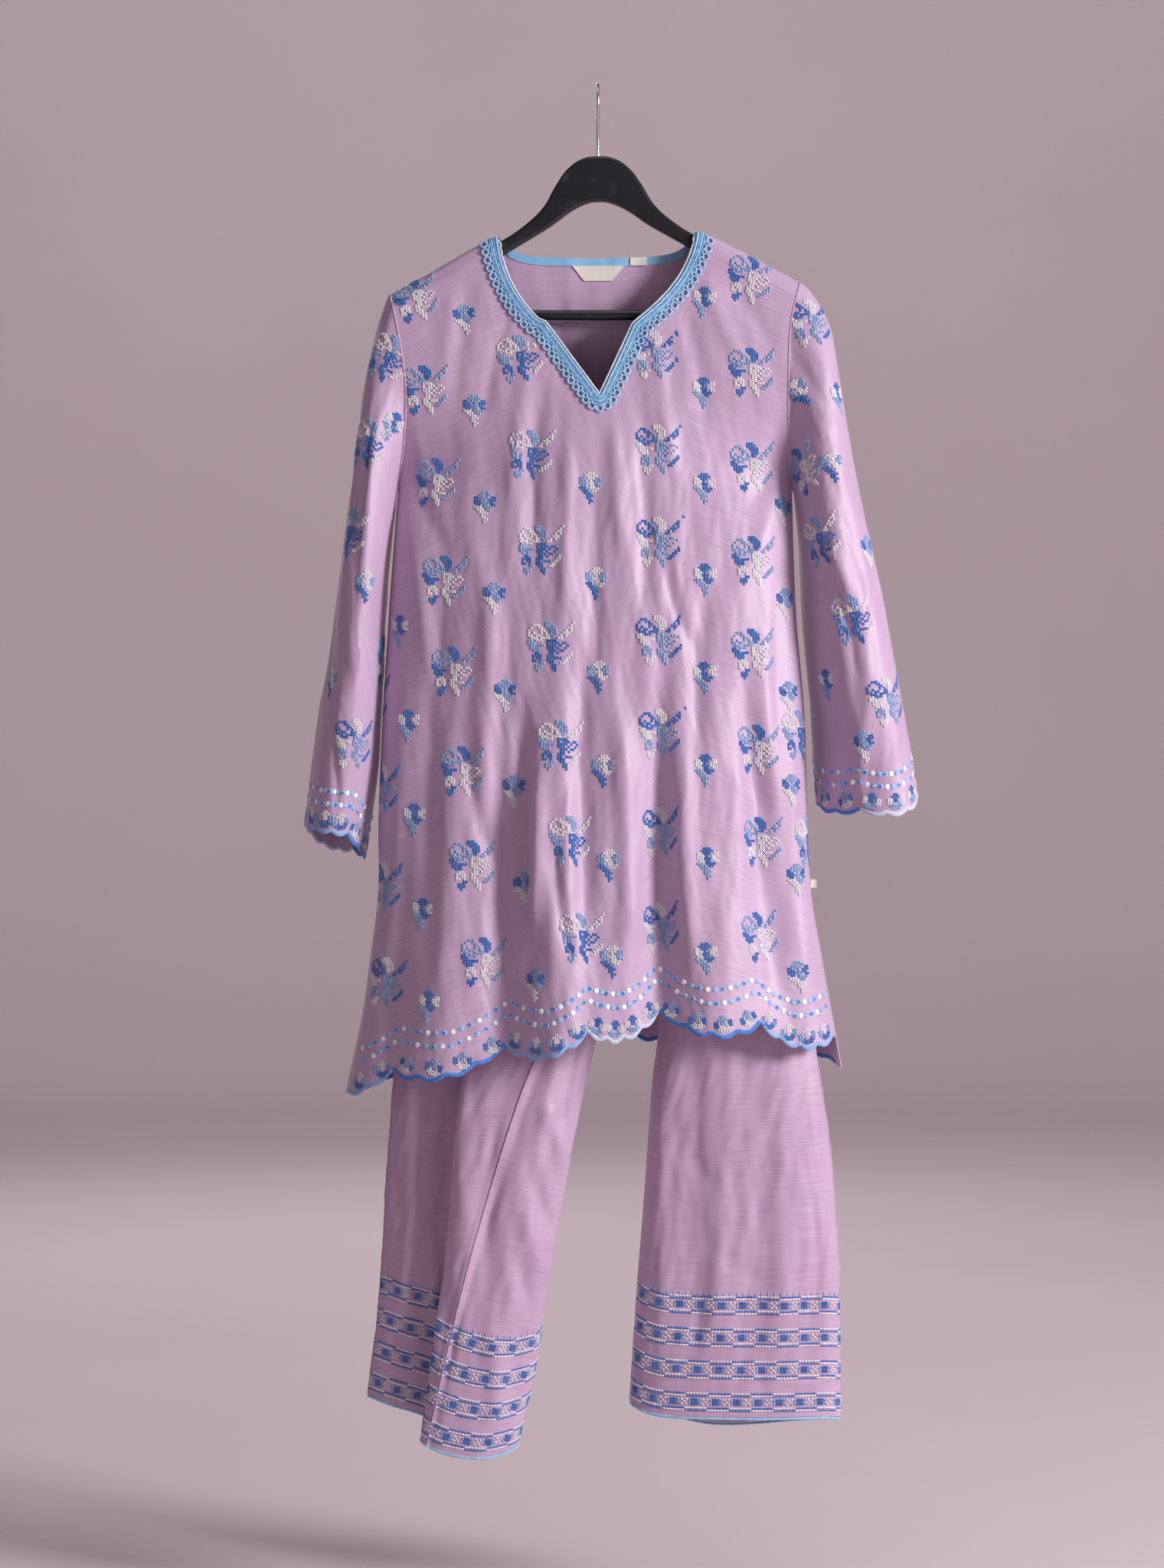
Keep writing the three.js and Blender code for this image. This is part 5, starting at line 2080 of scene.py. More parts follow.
# ------------------------------------------------------------------ the kurta
@dataclass
class Kurta:
    """The kurta: front, back, two sleeves, their embroidery, and the seams."""

    form: BodyForm
    neckline: Neckline
    trees: dict[str, RepeatTree]
    cords: RepeatTree
    looks: Looks
    front_columns: int = 196
    front_rows: int = 138
    back_columns: int = 116
    back_rows: int = 92

    def __post_init__(self) -> None:
        """Lays out both panels."""
        neck_places = self.form.across_of(self.neckline.edge[:, 0], self.neckline.edge[:, 1])
        self.front_at = even_columns(-1, 1, self.front_columns, neck_places)
        reach = np.array([1, 0.985, 0.96, 0.92, 0.86])
        back_x = np.concatenate([reach * self.neckline.left[0], reach * self.neckline.right[0]])
        back_places = self.form.across_of(back_x, self.neckline.back_top(back_x))
        self.back_at = even_columns(-1, 1, self.back_columns, back_places)
        self.front_scallops = Scallops(FRONT_SCALLOPS)
        self.back_scallops = Scallops(BACK_SCALLOPS)
        self.front = body_panel(self.form, Half.FRONT, self.neckline.front_top, self.front_scallops,
                                self.front_at,
                                self.front_rows)
        self.back = body_panel(self.form, Half.BACK, self.neckline.back_top, self.back_scallops,
                               self.back_at,
                               self.back_rows)

    def place(self, side: Half, x: Array, z: Array) -> tuple[Array, Array]:
        """Fractional column and row of places (x, z) on the front or back.

        Args:
            side: front or back.
            x: sideways places, in millimetres.
            z: heights, in millimetres.

        Returns:
            The fractional columns and rows.
        """
        grid, at = (self.front, self.front_at) if side is Half.FRONT else (self.back, self.back_at)
        columns = np.interp(self.form.across_of(x, z), at, np.arange(len(at)))
        rows = np.empty(len(columns))
        for i, (column, height) in enumerate(zip(columns, z)):
            low = int(column)
            share = column - low
            line = mix(grid.points[:, low, 2], grid.points[:, min(low + 1, len(at) - 1), 2], share)
            rows[i] = np.interp(-height, -line, np.arange(len(line)))
        return columns, rows

    def on_panel(self, side: Half, x: Array, z: Array, lift: float) -> tuple[Array, Array, Array]:
        """Points a little off the front or back at places (x, z), with their frames.

        Args:
            side: front or back.
            x: sideways places, in millimetres.
            z: heights, in millimetres.
            lift: how far off the cloth, in millimetres.

        Returns:
            Points, normals, and directions towards the viewer's right.
        """
        columns, rows = self.place(side, x, z)
        grid = self.front if side is Half.FRONT else self.back
        points, normals, sides = grid.sample(columns, rows)
        return points + normals * lift, normals, sides

    def border(self, side: Half) -> Border:
        """The hem border of the front or back.

        Args:
            side: front or back.

        Returns:
            The border.
        """
        front = side is Half.FRONT
        if front:
            grid, at, scallops = self.front, self.front_at, self.front_scallops
        else:
            grid, at, scallops = self.back, self.back_at, self.back_scallops
        colours = (Thread.LIGHT, Thread.BLUE, Thread.LIGHT, Thread.WHITE, Thread.BLUE, Thread.LIGHT,
                   Thread.BLUE)
        return Border(grid, lambda place: np.interp(place, at, np.arange(len(at))),
                      scallops.table.column("across"),
                      scallops.below, colours if front else colours[1:], (-0.988, 0.988))

    def thread_lines(self, name: str, lines: list[Array]) -> bpy.types.Object:
        """The thin threads between the dots."""
        return lay_cord(self.cords, name, lines, self.looks.thread[Thread.LIGHT], 0.45, 4)

    def make_body(self) -> None:
        """Makes the front and back with all that is sewn on them."""
        for side, grid in ((Half.FRONT, self.front), (Half.BACK, self.back)):
            name = f"kurta_{side}_cloth"
            mesh = shell(name, grid)
            cloth = add_piece(name, mesh, self.looks.kurta, [f"kurta_{side}"])
            work = Embroidery(grid)
            border = self.border(side)
            lines = border.sew(work)
            if side is Half.FRONT:
                work.add_runs(FRONT_MOTIFS)
            sewn = work.pieces(f"kurta_{side}", self.trees, self.looks)
            sewn += border.satin_edge(f"kurta_{side}", self.looks)
            sewn.append(self.thread_lines(f"kurta_{side}_swag_thread", lines))


LAST_SLEEVE_ROW = 9
SLEEVE_COLUMNS = "row top_x top_z under_x under_z depth skew drop"
LEFT_SLEEVE = Table(SLEEVE_COLUMNS, (
    (0, -200, -202, -190.5, -387, 25, 0, 0),
    (1, -211, -233, -193, -398, 32, 0, 0),
    (2, -221, -272, -195, -414, 42, 0, 0),
    (3, -229, -330, -198, -440, 52, 0, 0),
    (4, -236, -388, -201, -470, 58, 0, 0),
    (5, -246.5, -470, -204, -515, 61, 0, 0),
    (6, -257, -550, -206, -570, 61, 0, -2),
    (7, -266, -597, -208, -612, 60, 0, -4),
    (8, -272, -645, -211, -656, 58, 0, -6),
    (9, -280, -703, -223, -727, 56, 0, -9),
))
RIGHT_SLEEVE = Table(SLEEVE_COLUMNS, (
    (0, 193, -190, 185.5, -387, 25, 0, 0),
    (1, 208, -201, 188, -398, 32, 0, 0),
    (2, 222, -232, 190, -414, 42, 0, 0),
    (3, 232, -290, 193, -440, 52, 2, 0),
    (4, 244, -362, 195, -468, 58, 4, 2),
    (5, 258, -430, 197, -500, 61, 6, 4),
    (6, 273, -505, 201, -545, 61, 8, 6),
    (7, 285, -570, 206, -592, 60, 10, 9),
    (8, 294, -620, 209, -636, 58, 12, 12),
    (9, 302, -666, 213, -680, 56, 14, 16),
))
LEFT_SLEEVE_MOTIFS = (
    lone_motif(Motif.BOUQUET, Colourway.ROSE_WHITE, -200, -264),
    lone_motif(Motif.BOUQUET, Colourway.ROSE_WHITE, -216, -346, 0.15),
    lone_motif(Motif.BOUQUET, Colourway.ROSE_WHITE, -234, -431, 0.1),
    lone_motif(Motif.BUD, Colourway.ROSE_WHITE, -219, -482),
    lone_motif(Motif.BUD, Colourway.ROSE_BLUE, -196, -330),
    lone_motif(Motif.BOUQUET, Colourway.ROSE_LIGHT, -207, -549),
    lone_motif(Motif.BUD, Colourway.ROSE_WHITE, -251, -571),
    lone_motif(Motif.BOUQUET, Colourway.ROSE_BLUE, -227, -628),
)
RIGHT_SLEEVE_MOTIFS = (
    lone_motif(Motif.BOUQUET, Colourway.ROSE_BLUE, 203, -228, 0.5),
    lone_motif(Motif.BUD, Colourway.ROSE_WHITE, 191, -296),
    lone_motif(Motif.BUD, Colourway.ROSE_BLUE, 228, -301),
    lone_motif(Motif.BOUQUET, Colourway.ROSE_LIGHT, 196, -368, -0.2),
    lone_motif(Motif.BUD, Colourway.ROSE_WHITE, 222, -368),
    lone_motif(Motif.BOUQUET, Colourway.ROSE_WHITE, 209, -436, -0.1),
    lone_motif(Motif.BUD, Colourway.ROSE_LIGHT, 256, -446),
    lone_motif(Motif.BOUQUET, Colourway.ROSE_WHITE, 242, -512),
    lone_motif(Motif.BUD, Colourway.ROSE_BLUE, 216, -571),
    lone_motif(Motif.BOUQUET, Colourway.ROSE_BLUE, 276, -588),
    lone_motif(Motif.BUD, Colourway.ROSE_LIGHT, 250, -630),
)
LEFT_SLEEVE_CREASES = crease_rows(
    (30, 60, 48, 330, 3.4, 9, 6),
    (74, 40, 70, 240, -3.4, 8, -6),
    (96, 150, 60, 300, 3.0, 8, 8),
    (50, 300, 88, 430, -3.0, 9, -8),
    (104, 330, 74, 440, 3.2, 8, 6),
    (20, 260, 40, 420, -2.8, 9, 5),
    (120, 200, 126, 420, -3.4, 10, 6),
    (180, 60, 190, 330, 3.2, 10, -7),
    (226, 100, 214, 400, -3.4, 10, 7),
    (270, 60, 262, 330, 3.0, 10, 6),
)
RIGHT_SLEEVE_CREASES = crease_rows(
    (250, 40, 262, 300, 4.6, 9, -6),
    (230, 60, 236, 330, -4.0, 8, 5),
    (280, 150, 250, 330, -3.0, 8, 8),
    (210, 210, 250, 360, 3.0, 8, -8),
    (300, 250, 270, 430, 3.2, 9, 6),
    (220, 330, 262, 440, -3.0, 8, 6),
    (190, 120, 196, 400, 3.4, 10, 6),
    (60, 60, 70, 330, 3.2, 10, -7),
    (110, 100, 100, 400, -3.4, 10, 7),
    (150, 60, 146, 330, 3.0, 10, 6),
)


@dataclass
class Sleeve:
    """One sleeve, as a tube from its armhole to its cuff."""

    kurta: Kurta
    name: Side
    columns: int = 96
    rows: int = 104
    clearance: float = 1.5
    cuff_scallops: int = 3
    cuff_drop: float = 7.0
    cuff_arc: float = 3.0

    def __post_init__(self) -> None:
        """Reads the table and lays out the tube."""
        self.side = -1 if self.name is Side.LEFT else 1
        table = LEFT_SLEEVE if self.side < 0 else RIGHT_SLEEVE
        self.read = {name: table.read("row", name) for name in SLEEVE_COLUMNS.split()[1:]}
        turns = np.arange(self.columns) / self.columns
        length = np.linspace(0, 1, self.rows)
        self.grid = Grid(self.surface(turns[None, :], length[:, None]), Facing.AGAINST, ring=True)
        across = self.grid.across_mm[:, :-1]
        down = self.grid.down_mm
        creases = LEFT_SLEEVE_CREASES if self.side < 0 else RIGHT_SLEEVE_CREASES
        wrap = np.abs(np.sin(math.pi * turns))[None, :] ** 0.4
        calm = ease(length / 0.08)[:, None] * ease((1 - length) / 0.1)[:, None] * wrap
        seed = 21 + self.side
        height = waved(creased(creases, across, down), across, down, seed, SLEEVE_WAVES)
        inner = np.abs(self.grid.out[..., 0] + self.side) < 0.55
        self.grid.move_out(height * calm * np.where(inner, 0.1, 1.0))

    def armhole(self, turn: Array) -> Array:
        """Half loops of the armhole's edge, down the front and up the back.

        Args:
            turn: half loops, in radians.

        Returns:
            The points.
        """
        form = self.kurta.form
        edge = form.left if self.side < 0 else form.right
        tip = -200.5 if self.side < 0 else -189.0
        z = mix(tip, form.underarm_z, (1 - np.cos(turn)) / 2)
        front = np.sin(turn) >= 0
        side = np.full(z.shape, float(self.side))
        depth = np.where(front, form.bulge(Half.FRONT, side, z), form.bulge(Half.BACK, side, z))
        y = np.where(front, -1, 1) * (0.25 + depth)
        return np.stack([edge(z) + self.side * ARMHOLE_GAP, y, z], axis=-1)

    def body_side(self, y: Array, z: Array) -> Array:
        """Where the kurta's side stands, so that the sleeve stays clear.

        Args:
            y: depths, in millimetres.
            z: heights, in millimetres.

        Returns:
            The side's sideways place.
        """
        form = self.kurta.form
        depth = np.where(y < 0, form.depths[Half.FRONT](z), form.depths[Half.BACK](z))
        across = np.sqrt(np.maximum(1 - np.minimum(np.abs(y) / depth, 1) ** 2.5, 0))
        left, right = form.left(z), form.right(z)
        return (left + right) / 2 + self.side * across * (right - left) / 2

    def surface(self, turns: Array, length: Array) -> Array:
        """Points of the tube: once round in turns, from armhole to cuff in length.

        Args:
            turns: turns round, from 0 to 1.
            length: shares from armhole to cuff.

        Returns:
            The points.
        """
        turns, length = np.broadcast_arrays(turns, length)
        turn = -self.side * 2 * math.pi * turns
        row = length * LAST_SLEEVE_ROW
        c, s = np.cos(turn), np.sin(turn)
        away = (1 + c) / 2
        x = mix(self.read["under_x"](row), self.read["top_x"](row), away) + self.read["skew"](row) * s
        z = mix(self.read["under_z"](row), self.read["top_z"](row), away) - self.read["drop"](row) * s
        y = 12 * ease(length * 2) - self.read["depth"](row) * s
        point = mix(self.armhole(turn), np.stack([x, y, z], axis=-1), ease(row / 2.2)[..., None])
        limit = self.body_side(point[..., 1], point[..., 2]) + self.side * self.clearance
        clear = np.minimum(point[..., 0], limit) if self.side < 0 else np.maximum(point[..., 0], limit)
        point[..., 0] = mix(point[..., 0], clear, ease((row - 0.6) / 0.6))
        arc = np.mod(self.cuff_scallops * turns, 1.0)
        point[..., 2] -= ease((length - 0.86) / 0.14) * self.below(arc)
        return point

    def below(self, t: Array) -> Array:
        """How far the cuff's edge hangs below the line through a scallop's ends."""
        big = self.cuff_drop * np.abs(np.sin(math.pi * t))
        return big + self.cuff_arc * np.abs(np.sin(4 * math.pi * t))

    def back_runs(self) -> list[tuple[Motif, Colourway, float, float]]:
        """Motifs on the half that faces away: turns round, and distance from the shoulder.

        Returns:
            For each motif its chart, its colours, its turns round and its distance.
        """
        found = []
        colours = list(Colourway)
        start = 0.62 if self.side < 0 else 0.12
        for lane, turns in enumerate((start, start + 0.24)):
            for step in range(5):
                found.append((Motif.BOUQUET, colours[lane], turns, 60 + 88 * step + 30 * lane))
        for step in range(4):
            found.append((Motif.BUD, colours[2], start + 0.12, 110 + 88 * step))
        return found

    def make(self) -> None:
        """Makes the sleeve with its embroidery, border and armhole seam."""
        grid, looks = self.grid, self.kurta.looks
        name = f"sleeve_{self.name}_cloth"
        cloth = add_piece(name, shell(name, grid), looks.kurta, [f"sleeve_{self.name}"])
        work = Embroidery(grid)
        work.add_runs(LEFT_SLEEVE_MOTIFS if self.side < 0 else RIGHT_SLEEVE_MOTIFS, in_front=True)
        for motif, colours, turns, distance in self.back_runs():
            column = (turns % 1) * self.columns
            line = grid.down_mm[:, int(column)]
            row = float(np.interp(distance, line, np.arange(len(line))))
            work.add_motif(motif, colours, column, row, 0.0)
        ends = np.arange(self.cuff_scallops + 1) / self.cuff_scallops
        colours = (Thread.LIGHT, Thread.BLUE, Thread.WHITE)
        border = Border(grid, lambda place: place * self.columns, ends, self.below, colours, (-1.0, 2.0),
                        ((30.0, 9.0), (18.0, 9.0)), 15)
        lines = border.sew(work)
        sewn = work.pieces(f"sleeve_{self.name}", self.kurta.trees, looks)
        sewn += border.satin_edge(f"sleeve_{self.name}", looks)
        sewn.append(self.kurta.thread_lines(f"sleeve_{self.name}_swag_thread", lines))
        sewn.append(self.armhole_seam())

    def armhole_seam(self) -> bpy.types.Object:
        """The welt that joins the sleeve to the body.

        Returns:
            The piece.
        """
        ring = self.grid.points[0].copy()
        ring[:, 0] -= self.side * ARMHOLE_GAP / 2
        return lay_cord(self.kurta.cords, f"sleeve_{self.name}_seam", [ring], self.kurta.looks.seam,
                        1.2, closed=True)


# ------------------------------------------------------------------ neck trims and labels
@dataclass
class NeckTrims:
    """Lace round the neck, white piping, the back neck's tape, and the bare labels."""

    kurta: Kurta
    loops: RepeatTree
    loop_pitch: float = 8.0

    def line(self, distance: float, lift: float) -> tuple[Array, Array, Array]:
        """Points and frames along the neckline on the front."""
        beside = self.kurta.neckline.beside(distance)
        return self.kurta.on_panel(Half.FRONT, beside[:, 0], beside[:, 1], CLOTH_WALL / 2 + lift)

    def make_lace(self) -> None:
        """Lays braid, loops and piping along the front's neckline."""
        kurta, looks = self.kurta, self.kurta.looks
        self.make_base()
        rows = []
        for distance, radius, look in ((2.0, 1.25, looks.braid), (4.1, 1.05, looks.braid_dark),
                                       (6.0, 1.15, looks.braid), (7.9, 1.05, looks.braid_dark)):
            points, normals, sides = self.line(distance, 1.1)
            run = run_along(points)
            twist = np.sin(run * 2 * math.pi / 3.2)[:, None]
            rows.append((look, radius, points + normals * twist * 0.22 + sides * 0.18 * twist))
        for i, (look, radius, points) in enumerate(rows):
            lay_cord(kurta.cords, f"neck_braid_{i + 1}", [points], look, radius)
        self.make_loops()
        inner, _, _ = self.line(0.3, 0.0)
        outer, _, _ = self.line(3.0, 0.0)
        edge, normals, _ = self.line(0.3, 0.3)
        piping = edge + unit(inner - outer) * 1.3
        lay_cord(kurta.cords, "neck_piping_cord", [piping], looks.piping, 0.95,
                 nodes=["neck_piping"])

    def make_base(self) -> None:
        """Makes the tape under the braid."""
        lines = [self.line(distance, 0.35)[0] for distance in (0.6, 3.2, 6.0, 9.2)]
        grid = Grid(np.stack(lines, axis=0), Facing.AGAINST)
        name = "neck_lace_tape"
        add_piece(name, shell(name, grid, 0.5), self.kurta.looks.braid_dark, ["neck_lace"])

    def make_loops(self) -> None:
        """Lays the loops and the waving cord that ties them to the braid."""
        looks = self.kurta.looks
        points, normals, sides = self.line(13.3, 1.0)
        run = run_along(points)
        count = int(run[-1] / self.loop_pitch)
        at = (np.arange(count) + 0.5) * run[-1] / count
        index = np.interp(at, run, np.arange(len(run))).round().astype(int)
        places = row_by_row(at, run, points)
        rng = np.random.default_rng(5)
        source = point_mesh(places, normals[index], sides[index], rng.uniform(0, 6.3, count),
                            rng.uniform(0.94, 1.05, count))
        mesh = self.loops.run("neck_loops", source, looks.braid,
                              {"Loop radius": 0.0031, "Cord radius": 0.00105})
        add_piece("neck_loops", mesh, looks.braid)
        near, normals, _ = self.line(8.8, 1.3)
        far, _, _ = self.line(11.2, 1.5)
        fine = np.linspace(0, len(near) - 1, len(near) * 3)
        share = np.interp(fine, np.arange(len(run)), run) / (run[-1] / count)
        wave = (0.5 - 0.5 * np.cos(share * 2 * math.pi))[:, None]
        low = row_by_row(fine, np.arange(len(near)), near)
        high = row_by_row(fine, np.arange(len(far)), far)
        lay_cord(self.kurta.cords, "neck_wave_cord", [mix(low, high, wave)], looks.braid,
                 0.9, 6)

    def inside_patch(self, name: str, node: str, look: Look, x: Array, z: Array,
                     lift: float) -> Grid:
        """A thin piece of cloth on the inside of the back.

        Args:
            name: the new piece's name.
            node: the frame node that it stands for.
            look: its material.
            x: sideways places, in millimetres.
            z: heights, in millimetres.
            lift: how far off the cloth, in millimetres.

        Returns:
            The patch's grid.
        """
        points, _, _ = self.kurta.on_panel(Half.BACK, x.ravel(), z.ravel(), -(CLOTH_WALL / 2 + lift))
        grid = Grid(points.reshape(*x.shape, 3), Facing.AGAINST)
        add_piece(name, shell(name, grid, 0.6), look, [node])
        return grid

    def make_inside(self) -> None:
        """Makes the back neck's tape, its two rows of stitches, and the bare labels."""
        looks, neckline = self.kurta.looks, self.kurta.neckline
        across = np.linspace(-86, 84, 90)
        top = neckline.back_top(across)
        x = np.tile(across, (6, 1))
        z = top[None, :] - np.linspace(0.2, 8.2, 6)[:, None]
        grid = self.inside_patch("neck_tape_cloth", "neck_back_band", looks.tape, x, z, 0.5)
        lines = []
        for row in (0.7, 4.3):
            columns = np.arange(0.0, 89.0, 0.5)
            points, normals, _ = grid.sample(columns, np.full(len(columns), row))
            lines += [points[k:k + 2] + normals[k:k + 2] * 0.4 for k in range(0, len(points) - 1, 2)]
        lay_cord(self.kurta.cords, "neck_tape_stitches", lines, looks.piping, 0.22, 4)
        spread, down = np.meshgrid(np.linspace(-1, 1, 22), np.linspace(0, 1, 9))
        x = 0.5 + spread * mix(25, 13.5, down)
        z = neckline.back_z - mix(7.4, 21.6, down)
        self.inside_patch("neck_label_cloth", "neck_label", looks.label, x, z, 1.0)
        spread, down = np.meshgrid(np.linspace(31, 47, 10), np.linspace(0, 1, 9))
        z = mix(-157.5, -170, down)
        self.inside_patch("care_tag_cloth", "care_tag", looks.label, spread, z, 1.6)

    def make_side_tag(self) -> None:
        """Makes the small folded tag in the side seam."""
        edge = float(self.kurta.form.right(np.array(-761.0)))
        out, down = np.meshgrid(np.linspace(0.8, 6.4, 9), np.linspace(-757.0, -765.0, 8))
        bend = 0.5 * np.sin(out / 6.4 * math.pi)
        grid = Grid(np.stack([edge + out, bend, down], axis=-1), Facing.AGAINST)
        add_piece("side_tag_cloth", shell("side_tag_cloth", grid, 1.0), self.kurta.looks.label,
                  ["side_tag"])


# ------------------------------------------------------------------ trousers
LEG_COLUMNS = "z inner outer depth"
RIGHT_LEG = Table(LEG_COLUMNS, (
    (-322, -3, 142, 14),
    (-400, 2, 163, 19),
    (-500, 10, 175, 23),
    (-560, 17, 180, 24),
    (-615, 23.5, 184, 25.5),
    (-640, 26, 186, 26),
    (-750, 43, 191, 27),
    (-889, 57, 203, 28),
    (-957, 51, 213, 29),
    (-1054, 44, 225, 30),
    (-1148, 36.5, 230, 31),
    (-1270, 28.5, 231, 32),
))
LEFT_LEG = Table(LEG_COLUMNS, (
    (-322, -3, -148, 14),
    (-400, 2, -165, 19),
    (-500, 10, -177, 23),
    (-560, 17, -181, 24),
    (-615, 23.5, -185, 25.5),
    (-640, 26, -186, 26),
    (-750, 24, -190, 30),
    (-901, 1, -193, 33),
    (-960, -13, -196, 34),
    (-1041, -29, -201, 35),
    (-1151, -47, -208, 36),
    (-1245, -63, -219, 37),
    (-1300, -76, -224, 38),
))
# The twisted leg's ring, from the inner edge by the front: share across, and how far forward
FOLDED_RING = np.array([
    (1, 0), (0.93, 0.72), (0.74, 1), (0.53, 1), (0.4, 0.86), (0.385, 0.55), (0.5, 0.34),
    (0.36, 0.02), (0.16, 0.06), (0, -0.36), (0.14, -0.86), (0.5, -1), (0.88, -0.74),
])
OUTER_TURN = 9 / len(FOLDED_RING)
LEFT_TWIST = Table("z turn", ((-640, 0), (-760, 0.07), (-925, 0.165), (-1045, 0.21), (-1173, 0.262),
                              (-1300, 0.3)))
RIGHT_HEM = Table("turn z", (
    (-0.1, -1262), (0, -1253), (0.12, -1262), (0.25, -1264), (0.4, -1265), (0.5, -1269),
    (0.62, -1274), (0.78, -1280), (0.9, -1262), (1, -1253),
))
LEFT_HEM = Table("turn z", (
    (-0.1, -1284), (0, -1291), (0.15, -1300), (0.3, -1288), (0.4, -1279), (0.52, -1268), (0.6, -1258),
    (0.69, -1250), (0.8, -1264), (0.9, -1284), (1, -1291), (1.15, -1300), (1.35, -1283),
))
LEFT_LEG_CREASES = crease_rows(
    (-30, -900, -58, -1040, 4.0, 7, 5),
    (-8, -880, -36, -1010, -4.0, 6, 4),
    (-58, -960, -26, -1060, 3.6, 6, -6),
    (-64, -1020, -30, -1110, -3.6, 6, 5),
    (-20, -940, -60, -990, 3.0, 6, -4),
    (-70, -1060, -40, -1150, 3.2, 7, 4),
    (-84, -1100, -60, -1180, -3.0, 7, -4),
    (-120, -900, -128, -1190, 4.2, 10, 6),
    (-104, -980, -116, -1200, -3.8, 9, -5),
    (-150, -1060, -150, -1230, 2.6, 8, 4),
    (-176, -900, -190, -1220, 3.0, 8, -4),
    (-70, -1150, -78, -1280, -3.4, 8, 3),
    (-98, -1180, -100, -1290, 3.2, 8, -3),
)
RIGHT_LEG_CREASES = crease_rows(
    (70, -900, 62, -1200, 4.0, 10, 5),
    (92, -880, 88, -1260, -4.4, 11, -6),
    (120, -900, 116, -1250, 3.6, 12, 6),
    (150, -900, 150, -1240, -3.8, 11, -5),
    (176, -940, 186, -1250, 4.0, 10, 5),
    (200, -980, 206, -1200, -3.2, 8, -4),
    (64, -960, 120, -1060, -2.6, 9, 8),
    (180, -900, 130, -1040, 2.6, 9, -8),
    (90, -1080, 180, -1150, -1.8, 9, 8),
)
CROTCH_Z = -640.0
WAIST_TOP_Z = -290.0
WAISTBAND_HEIGHT = 32.0


def closed_curve(control: Array, share: Array) -> Array:
    """Points on a smooth closed curve through control points, evenly by control point.

    Args:
        control: the points, count x 2.
        share: how far round, 0 to 1.

    Returns:
        The points at those shares.
    """
    count = len(control)
    place = np.mod(share, 1.0) * count
    i = np.floor(place).astype(int)
    t = (place - i)[..., None]
    p0, p1, p2, p3 = (control[(i + k) % count] for k in (-1, 0, 1, 2))
    d0, d1, d2 = (np.linalg.norm(b - a, axis=-1, keepdims=True) ** 0.5 for a,
                  b in ((p0, p1), (p1, p2), (p2, p3)))
    start = ((p1 - p0) / d0 - (p2 - p0) / (d0 + d1) + (p2 - p1) / d1) * d1
    end = ((p2 - p1) / d1 - (p3 - p1) / (d1 + d2) + (p3 - p2) / d2) * d1
    square = -3 * p1 + 3 * p2 - 2 * start - end
    cube = 2 * p1 - 2 * p2 + start + end
    return p1 + start * t + square * t * t + cube * t * t * t


@dataclass(frozen=True)
class BandFlower:
    """One figure of a leg's band: where its crosses lie, in steps of its reach."""

    thread: Thread
    reach: float
    crosses: tuple[tuple[int, int], ...]


BLOCK = tuple((right, down) for down in (-1, 0, 1) for right in (-1, 0, 1))
SALTIRE = ((0, 0), (-1, -1), (1, -1), (-1, 1), (1, 1))
PAIR = ((0, -1), (0, 1))
BAND_FLOWERS = (
    BandFlower(Thread.WHITE, 2.2, SALTIRE),
    BandFlower(Thread.LIGHT, 1.5, PAIR),
    BandFlower(Thread.BLUE, 2.2, BLOCK),
    BandFlower(Thread.LIGHT, 1.5, PAIR),
)


